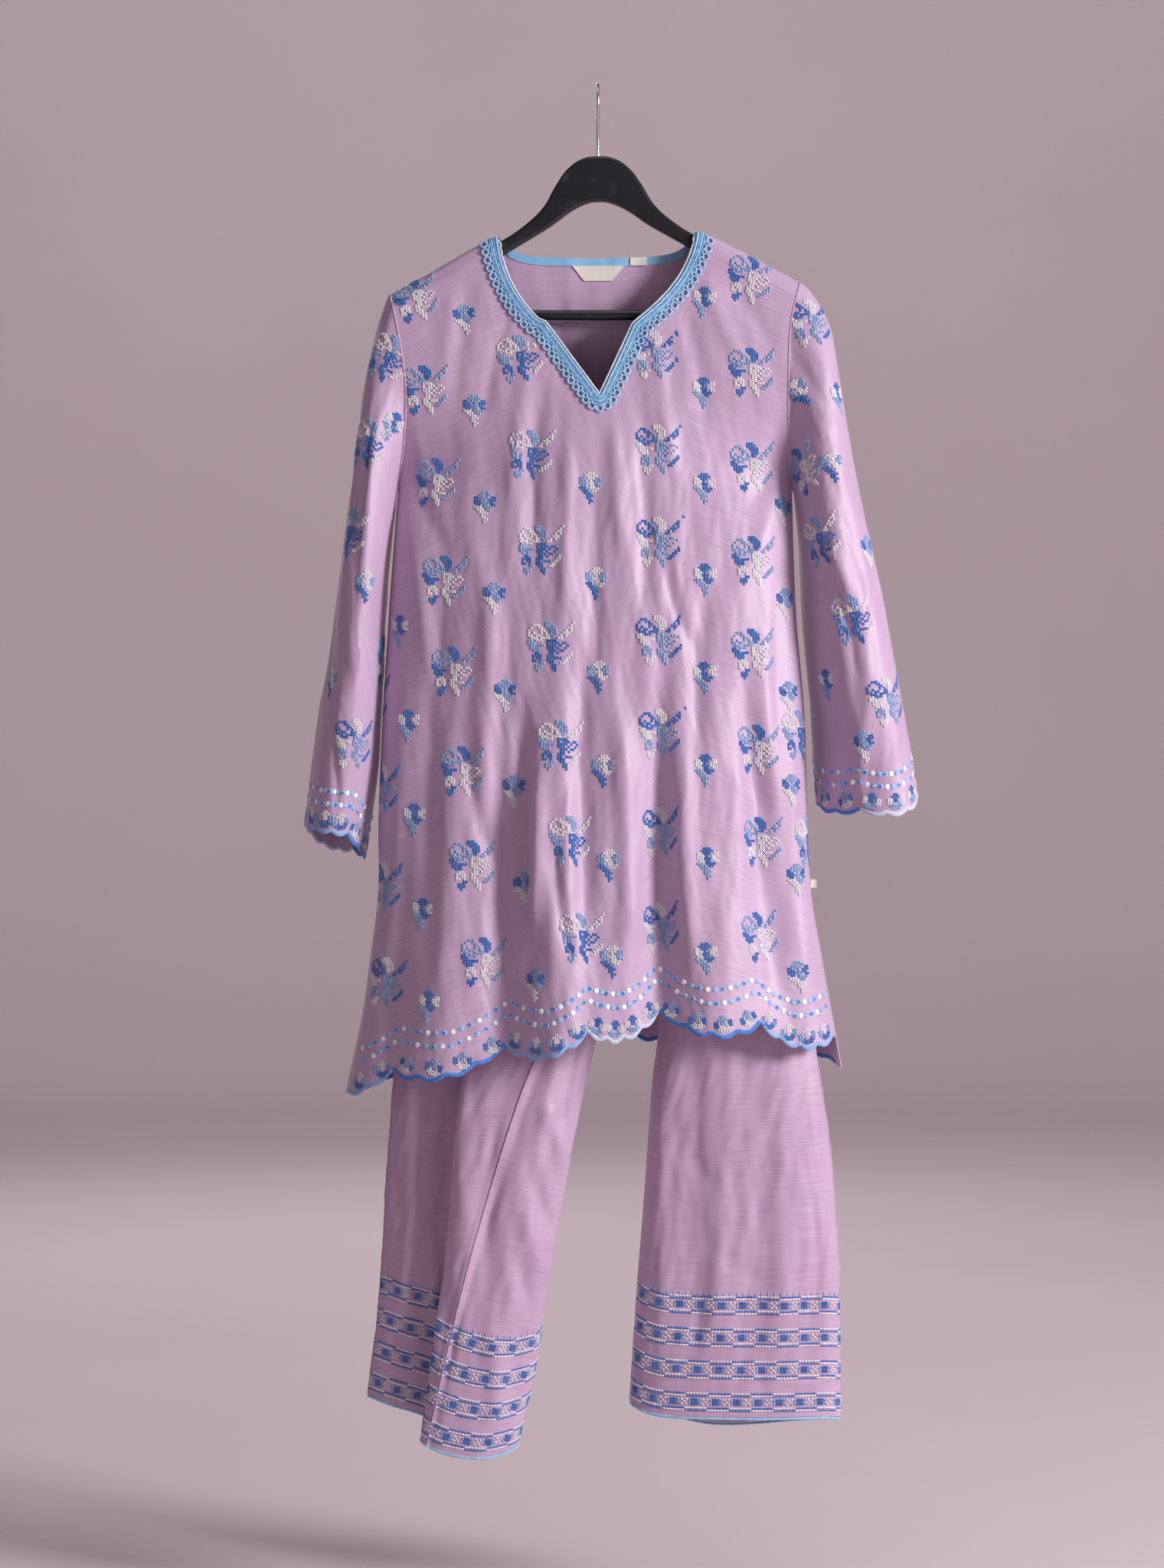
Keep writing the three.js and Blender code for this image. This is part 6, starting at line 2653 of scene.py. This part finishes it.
@dataclass
class Leg:
    """One trouser leg: a ring from the waist to the hem, cut into a front and a back."""

    kurta: Kurta
    name: Side
    dashes: RepeatTree
    around: int = 260
    rows: int = 120
    columns: dict = field(default_factory=lambda: {Half.FRONT: 84, Half.BACK: 74})

    def __post_init__(self) -> None:
        """Reads the tables and lays out the ring."""
        self.right = self.name is Side.RIGHT
        table = RIGHT_LEG if self.right else LEFT_LEG
        self.inner = table.read("z", "inner")
        self.outer = table.read("z", "outer")
        self.depth = table.read("z", "depth")
        self.hem = (RIGHT_HEM if self.right else LEFT_HEM).read("turn", "z")
        self.outer_turn = 0.5 if self.right else OUTER_TURN
        self.seam_turn = 0.00015 if self.right else 0.0004
        self.twist = LEFT_TWIST.read("z", "turn")
        turns = np.linspace(self.seam_turn, 1 - self.seam_turn, self.around)[None, :]
        # Rows lie closer together below the kurta's hem, where they show
        share = np.linspace(0, 1, self.rows)
        share = np.where(share < 0.3, share / 0.3 * 0.58, 0.58 + (share - 0.3) / 0.7 * 0.42)
        self.down = share
        top = WAIST_TOP_Z - WAISTBAND_HEIGHT - SEAM_GAP
        hem = mix(self.hem(self.outer_turn), self.hem(turns), ease((share - 0.58) / 0.42)[:, None])
        z = mix(top, hem, share[:, None])
        facing = Facing.AGAINST if self.right else Facing.WITH
        self.ring = Grid(self.point(turns, z), facing, ring=True)
        self.crease_ring(turns)
        self.turns = turns[0]

    def point(self, turns: Array, z: Array) -> Array:
        """Points on the leg, turns round from the inner edge by the front, at heights.

        Args:
            turns: turns round, from 0 to 1.
            z: heights, in millimetres.

        Returns:
            The points, with x, y and z in the last axis.
        """
        turns, z = np.broadcast_arrays(turns, z)
        side = 1 if self.right else -1
        if self.right:
            plain_turns = turns
        else:
            plain_turns = np.where(turns < OUTER_TURN, 0.5 * turns / OUTER_TURN,
                                   0.5 + 0.5 * (turns - OUTER_TURN) / (1 - OUTER_TURN))
        angle = 2 * math.pi * plain_turns
        s = np.sin(angle)
        across, forward = (1 + np.cos(angle)) / 2, np.sign(s) * np.abs(s) ** 0.75
        if not self.right:
            bent = closed_curve(FOLDED_RING, turns)
            folded = ease((-660 - z) / 200)
            across, forward = mix(across, bent[..., 0], folded), mix(forward, bent[..., 1], folded)
        opened = ease((z - CROTCH_Z) / 90)
        near_inner = ease(4 * across - 2)
        facing = np.where(plain_turns < 0.5, 1, -1)
        forward = mix(forward, facing * np.maximum(np.abs(forward), 0.96), opened * near_inner)
        apart = SEAM_GAP / 2 + (CLOTH_WALL + 0.5) * (1 - opened) ** 0.5
        x = mix(self.outer(z), self.inner(z) + side * apart, across)
        return np.stack([x, -forward * self.depth(z), z], axis=-1)

    def crease_ring(self, turns: Array) -> None:
        """Lays the creases and the welt of the inner leg seam on the ring.

        Args:
            turns: the ring's turns round.
        """
        ring = self.ring
        x, z = ring.points[..., 0], ring.points[..., 2]
        front = ease(-ring.out[..., 1] * 1.8)
        shown = RIGHT_LEG_CREASES if self.right else LEFT_LEG_CREASES
        mirrored = [Crease(c.x * 0.96, c.z + 30, c.to_x * 0.96, c.to_z, -c.height, c.width,
                           -c.bow) for c in shown]
        strength = 0.55 if self.right else 0.85
        behind = ease(ring.out[..., 1] * 1.8)
        height = strength * (creased(shown, x, z) * front + creased(mirrored, x, z) * behind)
        seed = 31 if self.right else 37
        round_mm = ring.across_mm[:, :-1]
        height = waved(height, round_mm, z, seed, LEG_WAVES)
        edge = np.minimum(turns, 1 - turns)
        low = ease((-560 - z) / 120)
        height = height * ease(edge / 0.02) * low
        if not self.right:
            seam = np.where(z < CROTCH_Z, self.twist(z), 0.0)
            whole = round_mm[:, -1:]
            aside = (turns - seam) * whole
            welt = 1.5 * np.exp(-((aside / 4.0) ** 2))
            gutter = 2.2 * np.exp(-(((aside + 9) / 4.0) ** 2))
            height = height + low * (welt - gutter)
        calm_hem = 0.35 + 0.65 * ease((1 - self.down) / 0.12)[:, None]
        ring.move_out(height * calm_hem)

    def at(self, turns: Array) -> Array:
        """Points on the creased ring, one row of turns for each row of the ring.

        Args:
            turns: rows x columns of turns round.

        Returns:
            The points.
        """
        all_turns = np.concatenate([self.turns - 1, self.turns, self.turns + 1])
        points = np.empty(turns.shape + (3,))
        for i, row in enumerate(self.ring.points):
            for k in range(3):
                points[i, :, k] = np.interp(turns[i], all_turns, np.tile(row[:, k], 3))
        return points

    def panel(self, part: Half) -> Grid:
        """The front or back of the leg.

        Args:
            part: front or back.

        Returns:
            Its grid.
        """
        z = self.ring.points[:, self.around // 3, 2]
        twisted = np.where(z < CROTCH_Z, np.maximum(self.twist(z), 0), 0.0)
        seam = np.zeros(self.rows) if self.right else twisted
        outer = np.full(self.rows, self.outer_turn)
        start, end = (seam, outer) if part is Half.FRONT else (outer, 1 + seam)
        share = np.linspace(0, 1, self.columns[part])[None, :]
        turns = mix((start + self.seam_turn)[:, None], (end - self.seam_turn)[:, None], share)
        return Grid(self.at(turns), self.ring.facing)

    def make(self) -> None:
        """Makes both panels, their bands of embroidery, the hem's piping and the seams."""
        looks = self.kurta.looks
        for part in Half:
            grid = self.panel(part)
            name = f"trouser_{part}_{self.name}_cloth"
            cloth = add_piece(name, shell(name, grid), looks.trousers,
                              [f"trouser_{part}_{self.name}"])
            work = Embroidery(grid)
            for band in range(4):
                self.sew_band(work, 6.0 + 30.5 * band, band == 3, band)
            trees = {**self.kurta.trees, "dash": self.dashes}
            sewn = work.pieces(f"trouser_{part}_{self.name}", trees, looks)
            sewn.append(self.welt(f"trouser_{part}_{self.name}_seam", grid))
        self.make_piping()

    def sew_band(self, work: Embroidery, above: float, topmost: bool, band: int) -> None:
        """Sews one band: two lines of dashes, a row of flowers, and two lines of dashes.

        Args:
            work: the embroidery that takes the stitches.
            above: how far above the hem, in millimetres.
            topmost: whether it is the highest band.
            band: the band's number, from the hem up.
        """
        swap = 21.0
        for line, distance in enumerate((0.0, 2.3, 13.7, 16.0)):
            columns, rows, run = along_hem(work.grid, above + distance, 3.0)
            turn = self.dash_turns(work.grid, columns, rows)
            first = (np.floor(run / swap).astype(int) + line + band) % 2 == 0
            for thread, chosen in ((Thread.WHITE, first), (Thread.BLUE, ~first)):
                work.sew("dash", thread, columns[chosen], rows[chosen], turn[chosen], 1.0)
        columns, rows, _ = along_hem(work.grid, above + 8.0, 5.0)
        for kind, flower in enumerate(BAND_FLOWERS):
            right, down = np.array(flower.crosses, float).T * flower.reach
            for column, row in zip(columns[kind::len(BAND_FLOWERS)], rows[kind::len(BAND_FLOWERS)]):
                c, r = work.grid.walk(column, row, right, down)
                work.sew("cross", flower.thread, c, r, 0.0, 0.86)
        if topmost:
            columns, rows, _ = along_hem(work.grid, above + 18.6, 6.0)
            work.sew("dash", Thread.LIGHT, columns, rows, math.pi / 2, 0.8)

    def dash_turns(self, grid: Grid, columns: Array, rows: Array) -> Array:
        """How far each dash turns so that it lies along its line.

        Args:
            grid: the cloth.
            columns: fractional columns.
            rows: fractional rows.

        Returns:
            The turns, in radians.
        """
        points, normals, sides = grid.sample(columns, rows)
        run = np.gradient(points, axis=0)
        other = np.cross(normals, sides)
        return np.arctan2(np.sum(run * other, axis=1), np.sum(run * sides, axis=1))

    def welt(self, name: str, grid: Grid) -> bpy.types.Object:
        """The stitched welt along a panel's last edge, beside its seam.

        Args:
            name: the new piece's name.
            grid: the panel.

        Returns:
            The piece.
        """
        top = self.rows // 4
        line = grid.points[top:, -1] + grid.out[top:, -1] * (CLOTH_WALL / 2 + 0.2) - grid.along[top:, -1]
        return lay_cord(self.kurta.cords, name, [line], self.kurta.looks.seam, 0.6, 6)

    def make_piping(self) -> None:
        """Makes the light blue piping under the hem."""
        ring = self.ring.points[-1].copy()
        ring[:, 2] -= 1.7
        lay_cord(self.kurta.cords, f"trouser_piping_{self.name}_cord", [ring[1:-1]],
                 self.kurta.looks.braid,
                 1.35, nodes=[f"trouser_piping_{self.name}"], closed=True)


def along_hem(grid: Grid, distance: float, pitch: float) -> tuple[Array, Array, Array]:
    """Evenly spaced places on a line that stays so far above the hem.

    Args:
        grid: the cloth.
        distance: how far above the hem, in millimetres.
        pitch: distance from place to place.

    Returns:
        Fractional columns and rows, and the length run so far.
    """
    columns = np.linspace(0.2, grid.points.shape[1] - 1.2, 500)
    rows = grid.row_above_hem(columns, np.full(len(columns), distance))
    points, _, _ = grid.sample(columns, rows)
    run = run_along(points)
    count = int(run[-1] / pitch)
    places = (np.arange(count) + 0.5) * run[-1] / count
    return np.interp(places, run, columns), np.interp(places, run, rows), places


@dataclass
class Waist:
    """The gathered waistband and the two ribbon loops that hold it on the bar."""

    kurta: Kurta
    gathers: int = 26
    columns: int = 416
    rows: int = 10
    loop_x: float = 122.0
    bar_z: float = -219.0

    def make(self) -> None:
        """Makes the waistband and the loops."""
        looks = self.kurta.looks
        turns = np.arange(self.columns) / self.columns
        angle = -2 * math.pi * turns[None, :]
        down = np.linspace(0, 1, self.rows)[:, None]
        ripple = 1.1 * np.cos(self.gathers * angle) + 0.45 * np.cos(61 * angle + 0.8)
        s = np.sin(angle)
        y = -(12.5 + ripple) * np.sign(s) * np.abs(s) ** 0.6
        x = -3 - 145 * np.cos(angle)
        z = WAIST_TOP_Z - WAISTBAND_HEIGHT * down
        points = np.stack(np.broadcast_arrays(x, y, z), axis=-1)
        grid = Grid(points, Facing.WITH, ring=True)
        name = "trouser_waistband_cloth"
        cloth = add_piece(name, shell(name, grid, 1.5), looks.trousers,
                          ["trouser_waistband"])
        loops = [self.loop(side, x) for side, x in ((Side.LEFT, -self.loop_x), (Side.RIGHT, self.loop_x))]

    def loop(self, side: Side, x: float) -> bpy.types.Object:
        """One ribbon over the bar, with both ends at the waistband's top.

        Args:
            side: left or right.
            x: the ribbon's sideways place.

        Returns:
            The piece.
        """
        radius, foot, half = 6.1, WAIST_TOP_Z + 1.6, 3.0
        angles = np.linspace(math.pi, 0, 17)
        over = [(math.cos(a) * radius, self.bar_z + math.sin(a) * radius) for a in angles]
        before = [(-radius, mix(foot, self.bar_z, t)) for t in np.linspace(0, 1, 12)[:-1]]
        after = [(radius, z) for _, z in reversed(before)]
        route = np.array(before + over + after)
        across = np.linspace(-half, half, 5)
        points = np.empty((len(route), len(across), 3))
        points[..., 0] = x + across[None, :]
        points[..., 1] = route[:, :1]
        points[..., 2] = route[:, 1:]
        name = f"hanging_loop_{side}_ribbon"
        grid = Grid(points, Facing.AGAINST)
        return add_piece(name, shell(name, grid, 1.0), self.kurta.looks.tape,
                         [f"hanging_loop_{side}"])


# ------------------------------------------------------------------ the hanger
@dataclass
class Hanger:
    """A black wooden hanger with a bar and a wire hook, bare of any lettering."""

    looks: Looks
    cords: RepeatTree
    top_z: float = -67.7
    thickness: float = 12.0
    rounding: float = 3.5
    tilt: float = 1.2
    wire_radius: float = 1.5
    hook_radius: float = 19.0

    def make(self) -> None:
        """Makes the wood, the bar and the hook."""
        self.make_wood()
        self.make_bar()
        self.make_hook()

    def make_wood(self) -> None:
        """Makes the arms from a smooth outline with rounded edges."""
        upper = [(14, -69.5), (29, -79), (41, -95), (53, -115), (70, -131), (92, -145.5), (112, -154.5),
                 (150, -174), (174, -188.5)]
        end = [(178, -196), (178, -216), (173, -226), (164, -226), (160, -220)]
        lower = [(159, -206), (150, -197), (120, -179), (92, -160.5), (50, -136), (14, -113.5)]
        half = upper + end + lower
        outline = [(0, self.top_z)] + half + [(0, -111)] + [(-x, z) for x, z in reversed(half)]
        curve = bpy.data.curves.new("hanger outline", "CURVE")
        curve.dimensions = "2D"
        curve.fill_mode = "BOTH"
        curve.resolution_u = 8
        curve.extrude = (self.thickness / 2 - self.rounding) * MM
        curve.bevel_depth = self.rounding * MM
        curve.bevel_resolution = 4
        curve.offset = -self.rounding * MM
        spline = curve.splines.new("BEZIER")
        spline.bezier_points.add(len(outline) - 1)
        spline.use_cyclic_u = True
        for point, (x, z) in zip(spline.bezier_points, outline):
            point.co = (x * MM, (z - self.top_z) * MM, 0.0)
            point.handle_left_type = point.handle_right_type = "AUTO"
        carrier = bpy.data.objects.new("hanger outline", curve)
        bpy.context.scene.collection.objects.link(carrier)
        graph = bpy.context.evaluated_depsgraph_get()
        mesh = bpy.data.meshes.new_from_object(carrier.evaluated_get(graph))
        bpy.data.objects.remove(carrier)
        mesh.name = "hanger_wood_body"
        stand = Matrix.Rotation(math.pi / 2, 4, "X")
        lean = Matrix.Rotation(math.radians(-self.tilt), 4, "Y")
        mesh.transform(Matrix.Translation((0.0, 0.0, self.top_z * MM)) @ lean @ stand)
        merge_doubles(mesh, 2e-5)
        mesh.polygons.foreach_set("use_smooth", np.ones(len(mesh.polygons), bool))
        mesh.set_sharp_from_angle(angle=math.radians(35))
        add_piece("hanger_wood_body", mesh, self.looks.wood, ["hanger_wood"])

    def make_bar(self) -> None:
        """Makes the bar that the trousers hang from."""
        half, middle, z = 159.4, 3.0, -219.0
        ends = np.array([(x, 0, 0) for x in (-half, -half + 0.5, half - 0.5, half)]) + (middle, 0, z)
        lay_cord(self.cords, "hanger_bar_rod", [ends], self.looks.wood, 5.0, 28,
                 ["hanger_bar"])

    def make_hook(self) -> None:
        """Makes the hook: round over the rail, its shank down into the wood."""
        centre = self.wire_radius - self.hook_radius
        angles = np.radians(np.linspace(-40, 215, 60))
        radius = self.hook_radius
        bend = [(0.0, radius * math.cos(a), centre + radius * math.sin(a)) for a in angles]
        start = bend[-1]
        pulls = ((start[1] + 5.7, start[2] - 8.2), (-4.0, -38.5), (-1.2, -42.5), (0.0, -49.0),
                 (0.0, -58.0))
        shank = [(0.0, y, z) for y, z in pulls]
        shank.append((0.0, 0.0, self.top_z + SEAM_GAP))
        route = np.array(bend + shank)
        smooth = route.copy()
        first = len(bend)
        for _ in range(6):
            before, after = smooth[first - 1:-2], smooth[first + 1:]
            smooth[first:-1] = (before + 2 * smooth[first:-1] + after) / 4
        lay_cord(self.cords, "hanger_hook_wire", [smooth], self.looks.wire, self.wire_radius,
                 20,
                 ["hanger_hook"])


# ------------------------------------------------------------------ the studio
Place = tuple[float, float, float]
SUIT_MIDDLE: Place = (0.0, 0.0, -0.65)


@dataclass(frozen=True)
class Lamp:
    """A round soft light, in metres and watts."""

    name: str
    place: Place
    aim_at: Place
    size: float
    watts: float
    tint: Place


LAMPS = (
    Lamp("key", (3.0, -1.75, 0.4), SUIT_MIDDLE, 1.1, 146.0, (1.0, 0.99, 0.97)),
    Lamp("fill", (-2.4, -2.8, -0.4), SUIT_MIDDLE, 2.0, 3.0, (0.93, 0.95, 1.0)),
    Lamp("top", (0.3, -0.9, 2.6), SUIT_MIDDLE, 1.6, 14.0, (1.0, 1.0, 1.0)),
    Lamp("back", (-0.6, 3.0, 0.9), SUIT_MIDDLE, 2.5, 26.0, (1.0, 0.98, 0.98)),
    Lamp("wall", (0.0, 2.6, 3.1), (0.0, 6.6, 0.6), 2.0, 46.0, (1.0, 0.98, 0.98)),
)


@dataclass
class Studio:
    """A pale seamless floor and wall all round, soft lights and the camera."""

    floor_z: float = -1.45
    floor_radius: float = 5.0
    cove: float = 1.4
    wall_top: float = 3.5

    def make(self) -> None:
        """Builds the set."""
        self.make_floor()
        self.make_lights()
        self.make_camera()

    def make_floor(self) -> None:
        """A round floor that bends up into a wall."""
        bends = [(self.floor_radius + self.cove * math.sin(a),
                  self.floor_z + self.cove * (1 - math.cos(a)))
                 for a in np.linspace(0, math.pi / 2, 16)]
        profile = [(0.0003, self.floor_z), (2.0, self.floor_z), *bends,
                   (self.floor_radius + self.cove, self.wall_top)]
        turns = np.linspace(0, 2 * math.pi, 97)[:-1]
        points = np.array([[(r * math.cos(a), r * math.sin(a), z) for a in turns] for r,
                           z in profile]) / MM
        count = len(turns)
        ids = np.arange(points.shape[0] * count).reshape(-1, count)
        after = np.roll(ids, -1, axis=1)
        quads = np.stack([ids[:-1].ravel(), ids[1:].ravel(), after[1:].ravel(), after[:-1].ravel()], 1)
        mesh = quad_mesh("studio_floor", points.reshape(-1, 3), quads)
        look, s, shader = new_look("pale floor")
        place = s.add("TexCoord").outputs["Object"]
        cloud = s.noise(place, 1.4, 3.0)
        s.tree.links.new(s.blend(cloud, linear(214, 196, 203), linear(222, 206, 212)),
                         shader.inputs["Base Color"])
        shader.inputs["Roughness"].default_value = 0.95
        shader.inputs["Specular IOR Level"].default_value = 0.1
        mesh.materials.append(look)
        floor = bpy.data.objects.new("studio_floor", mesh)
        bpy.context.scene.collection.objects.link(floor)

    def make_lights(self) -> None:
        """A large key from the right, a weak fill from the left, and an even sky."""
        for lamp in LAMPS:
            light = bpy.data.lights.new(lamp.name, "AREA")
            light.shape = "DISK"
            light.size = lamp.size
            light.energy = lamp.watts
            light.color = lamp.tint
            stand = bpy.data.objects.new(lamp.name, light)
            stand.location = lamp.place
            aim = Vector(lamp.aim_at) - Vector(lamp.place)
            stand.rotation_euler = aim.to_track_quat("-Z", "Y").to_euler()
            bpy.context.scene.collection.objects.link(stand)
        world = bpy.data.worlds.new("sky")
        world.use_nodes = True
        world.node_tree.nodes["Background"].inputs[0].default_value = (0.96, 0.97, 1.0, 1.0)
        world.node_tree.nodes["Background"].inputs[1].default_value = 0.15
        bpy.context.scene.world = world

    def make_camera(self) -> None:
        """The camera, level and square to the front."""
        camera = bpy.data.cameras.new("camera")
        camera.lens = 78.0
        camera.sensor_width = 36.0
        camera.sensor_fit = "AUTO"
        stand = bpy.data.objects.new("camera", camera)
        stand.location = (-0.015, -3.24, -0.666)
        stand.rotation_euler = (math.pi / 2, 0.0, 0.0)
        bpy.context.scene.collection.objects.link(stand)
        bpy.context.scene.camera = stand
        bpy.context.scene.view_settings.view_transform = "Standard"


def main() -> None:
    """Builds every part in order."""
    logging.basicConfig(level=logging.INFO, format="%(name)s: %(message)s")
    looks = make_looks()
    cords = cord_tree()
    trees = {
        "cross": stitch_tree("cross stitches", (45.0, -45.0)),
        "dot": dot_tree(),
        "small dot": dot_tree("small satin dots", 0.0032, 0.0012),
    }
    dashes = stitch_tree("running stitches", (0.0,), 0.00145)
    Studio().make()
    Hanger(looks, cords).make()
    form = BodyForm()
    kurta = Kurta(form, Neckline(form), trees, cords, looks)
    kurta.make_body()
    for side in Side:
        Sleeve(kurta, side).make()
    trims = NeckTrims(kurta, loop_tree())
    trims.make_lace()
    trims.make_inside()
    trims.make_side_tag()
    Waist(kurta).make()
    Leg(kurta, Side.LEFT, dashes, columns={Half.FRONT: 110, Half.BACK: 76}).make()
    Leg(kurta, Side.RIGHT, dashes).make()


if __name__ == "__main__":
    main()
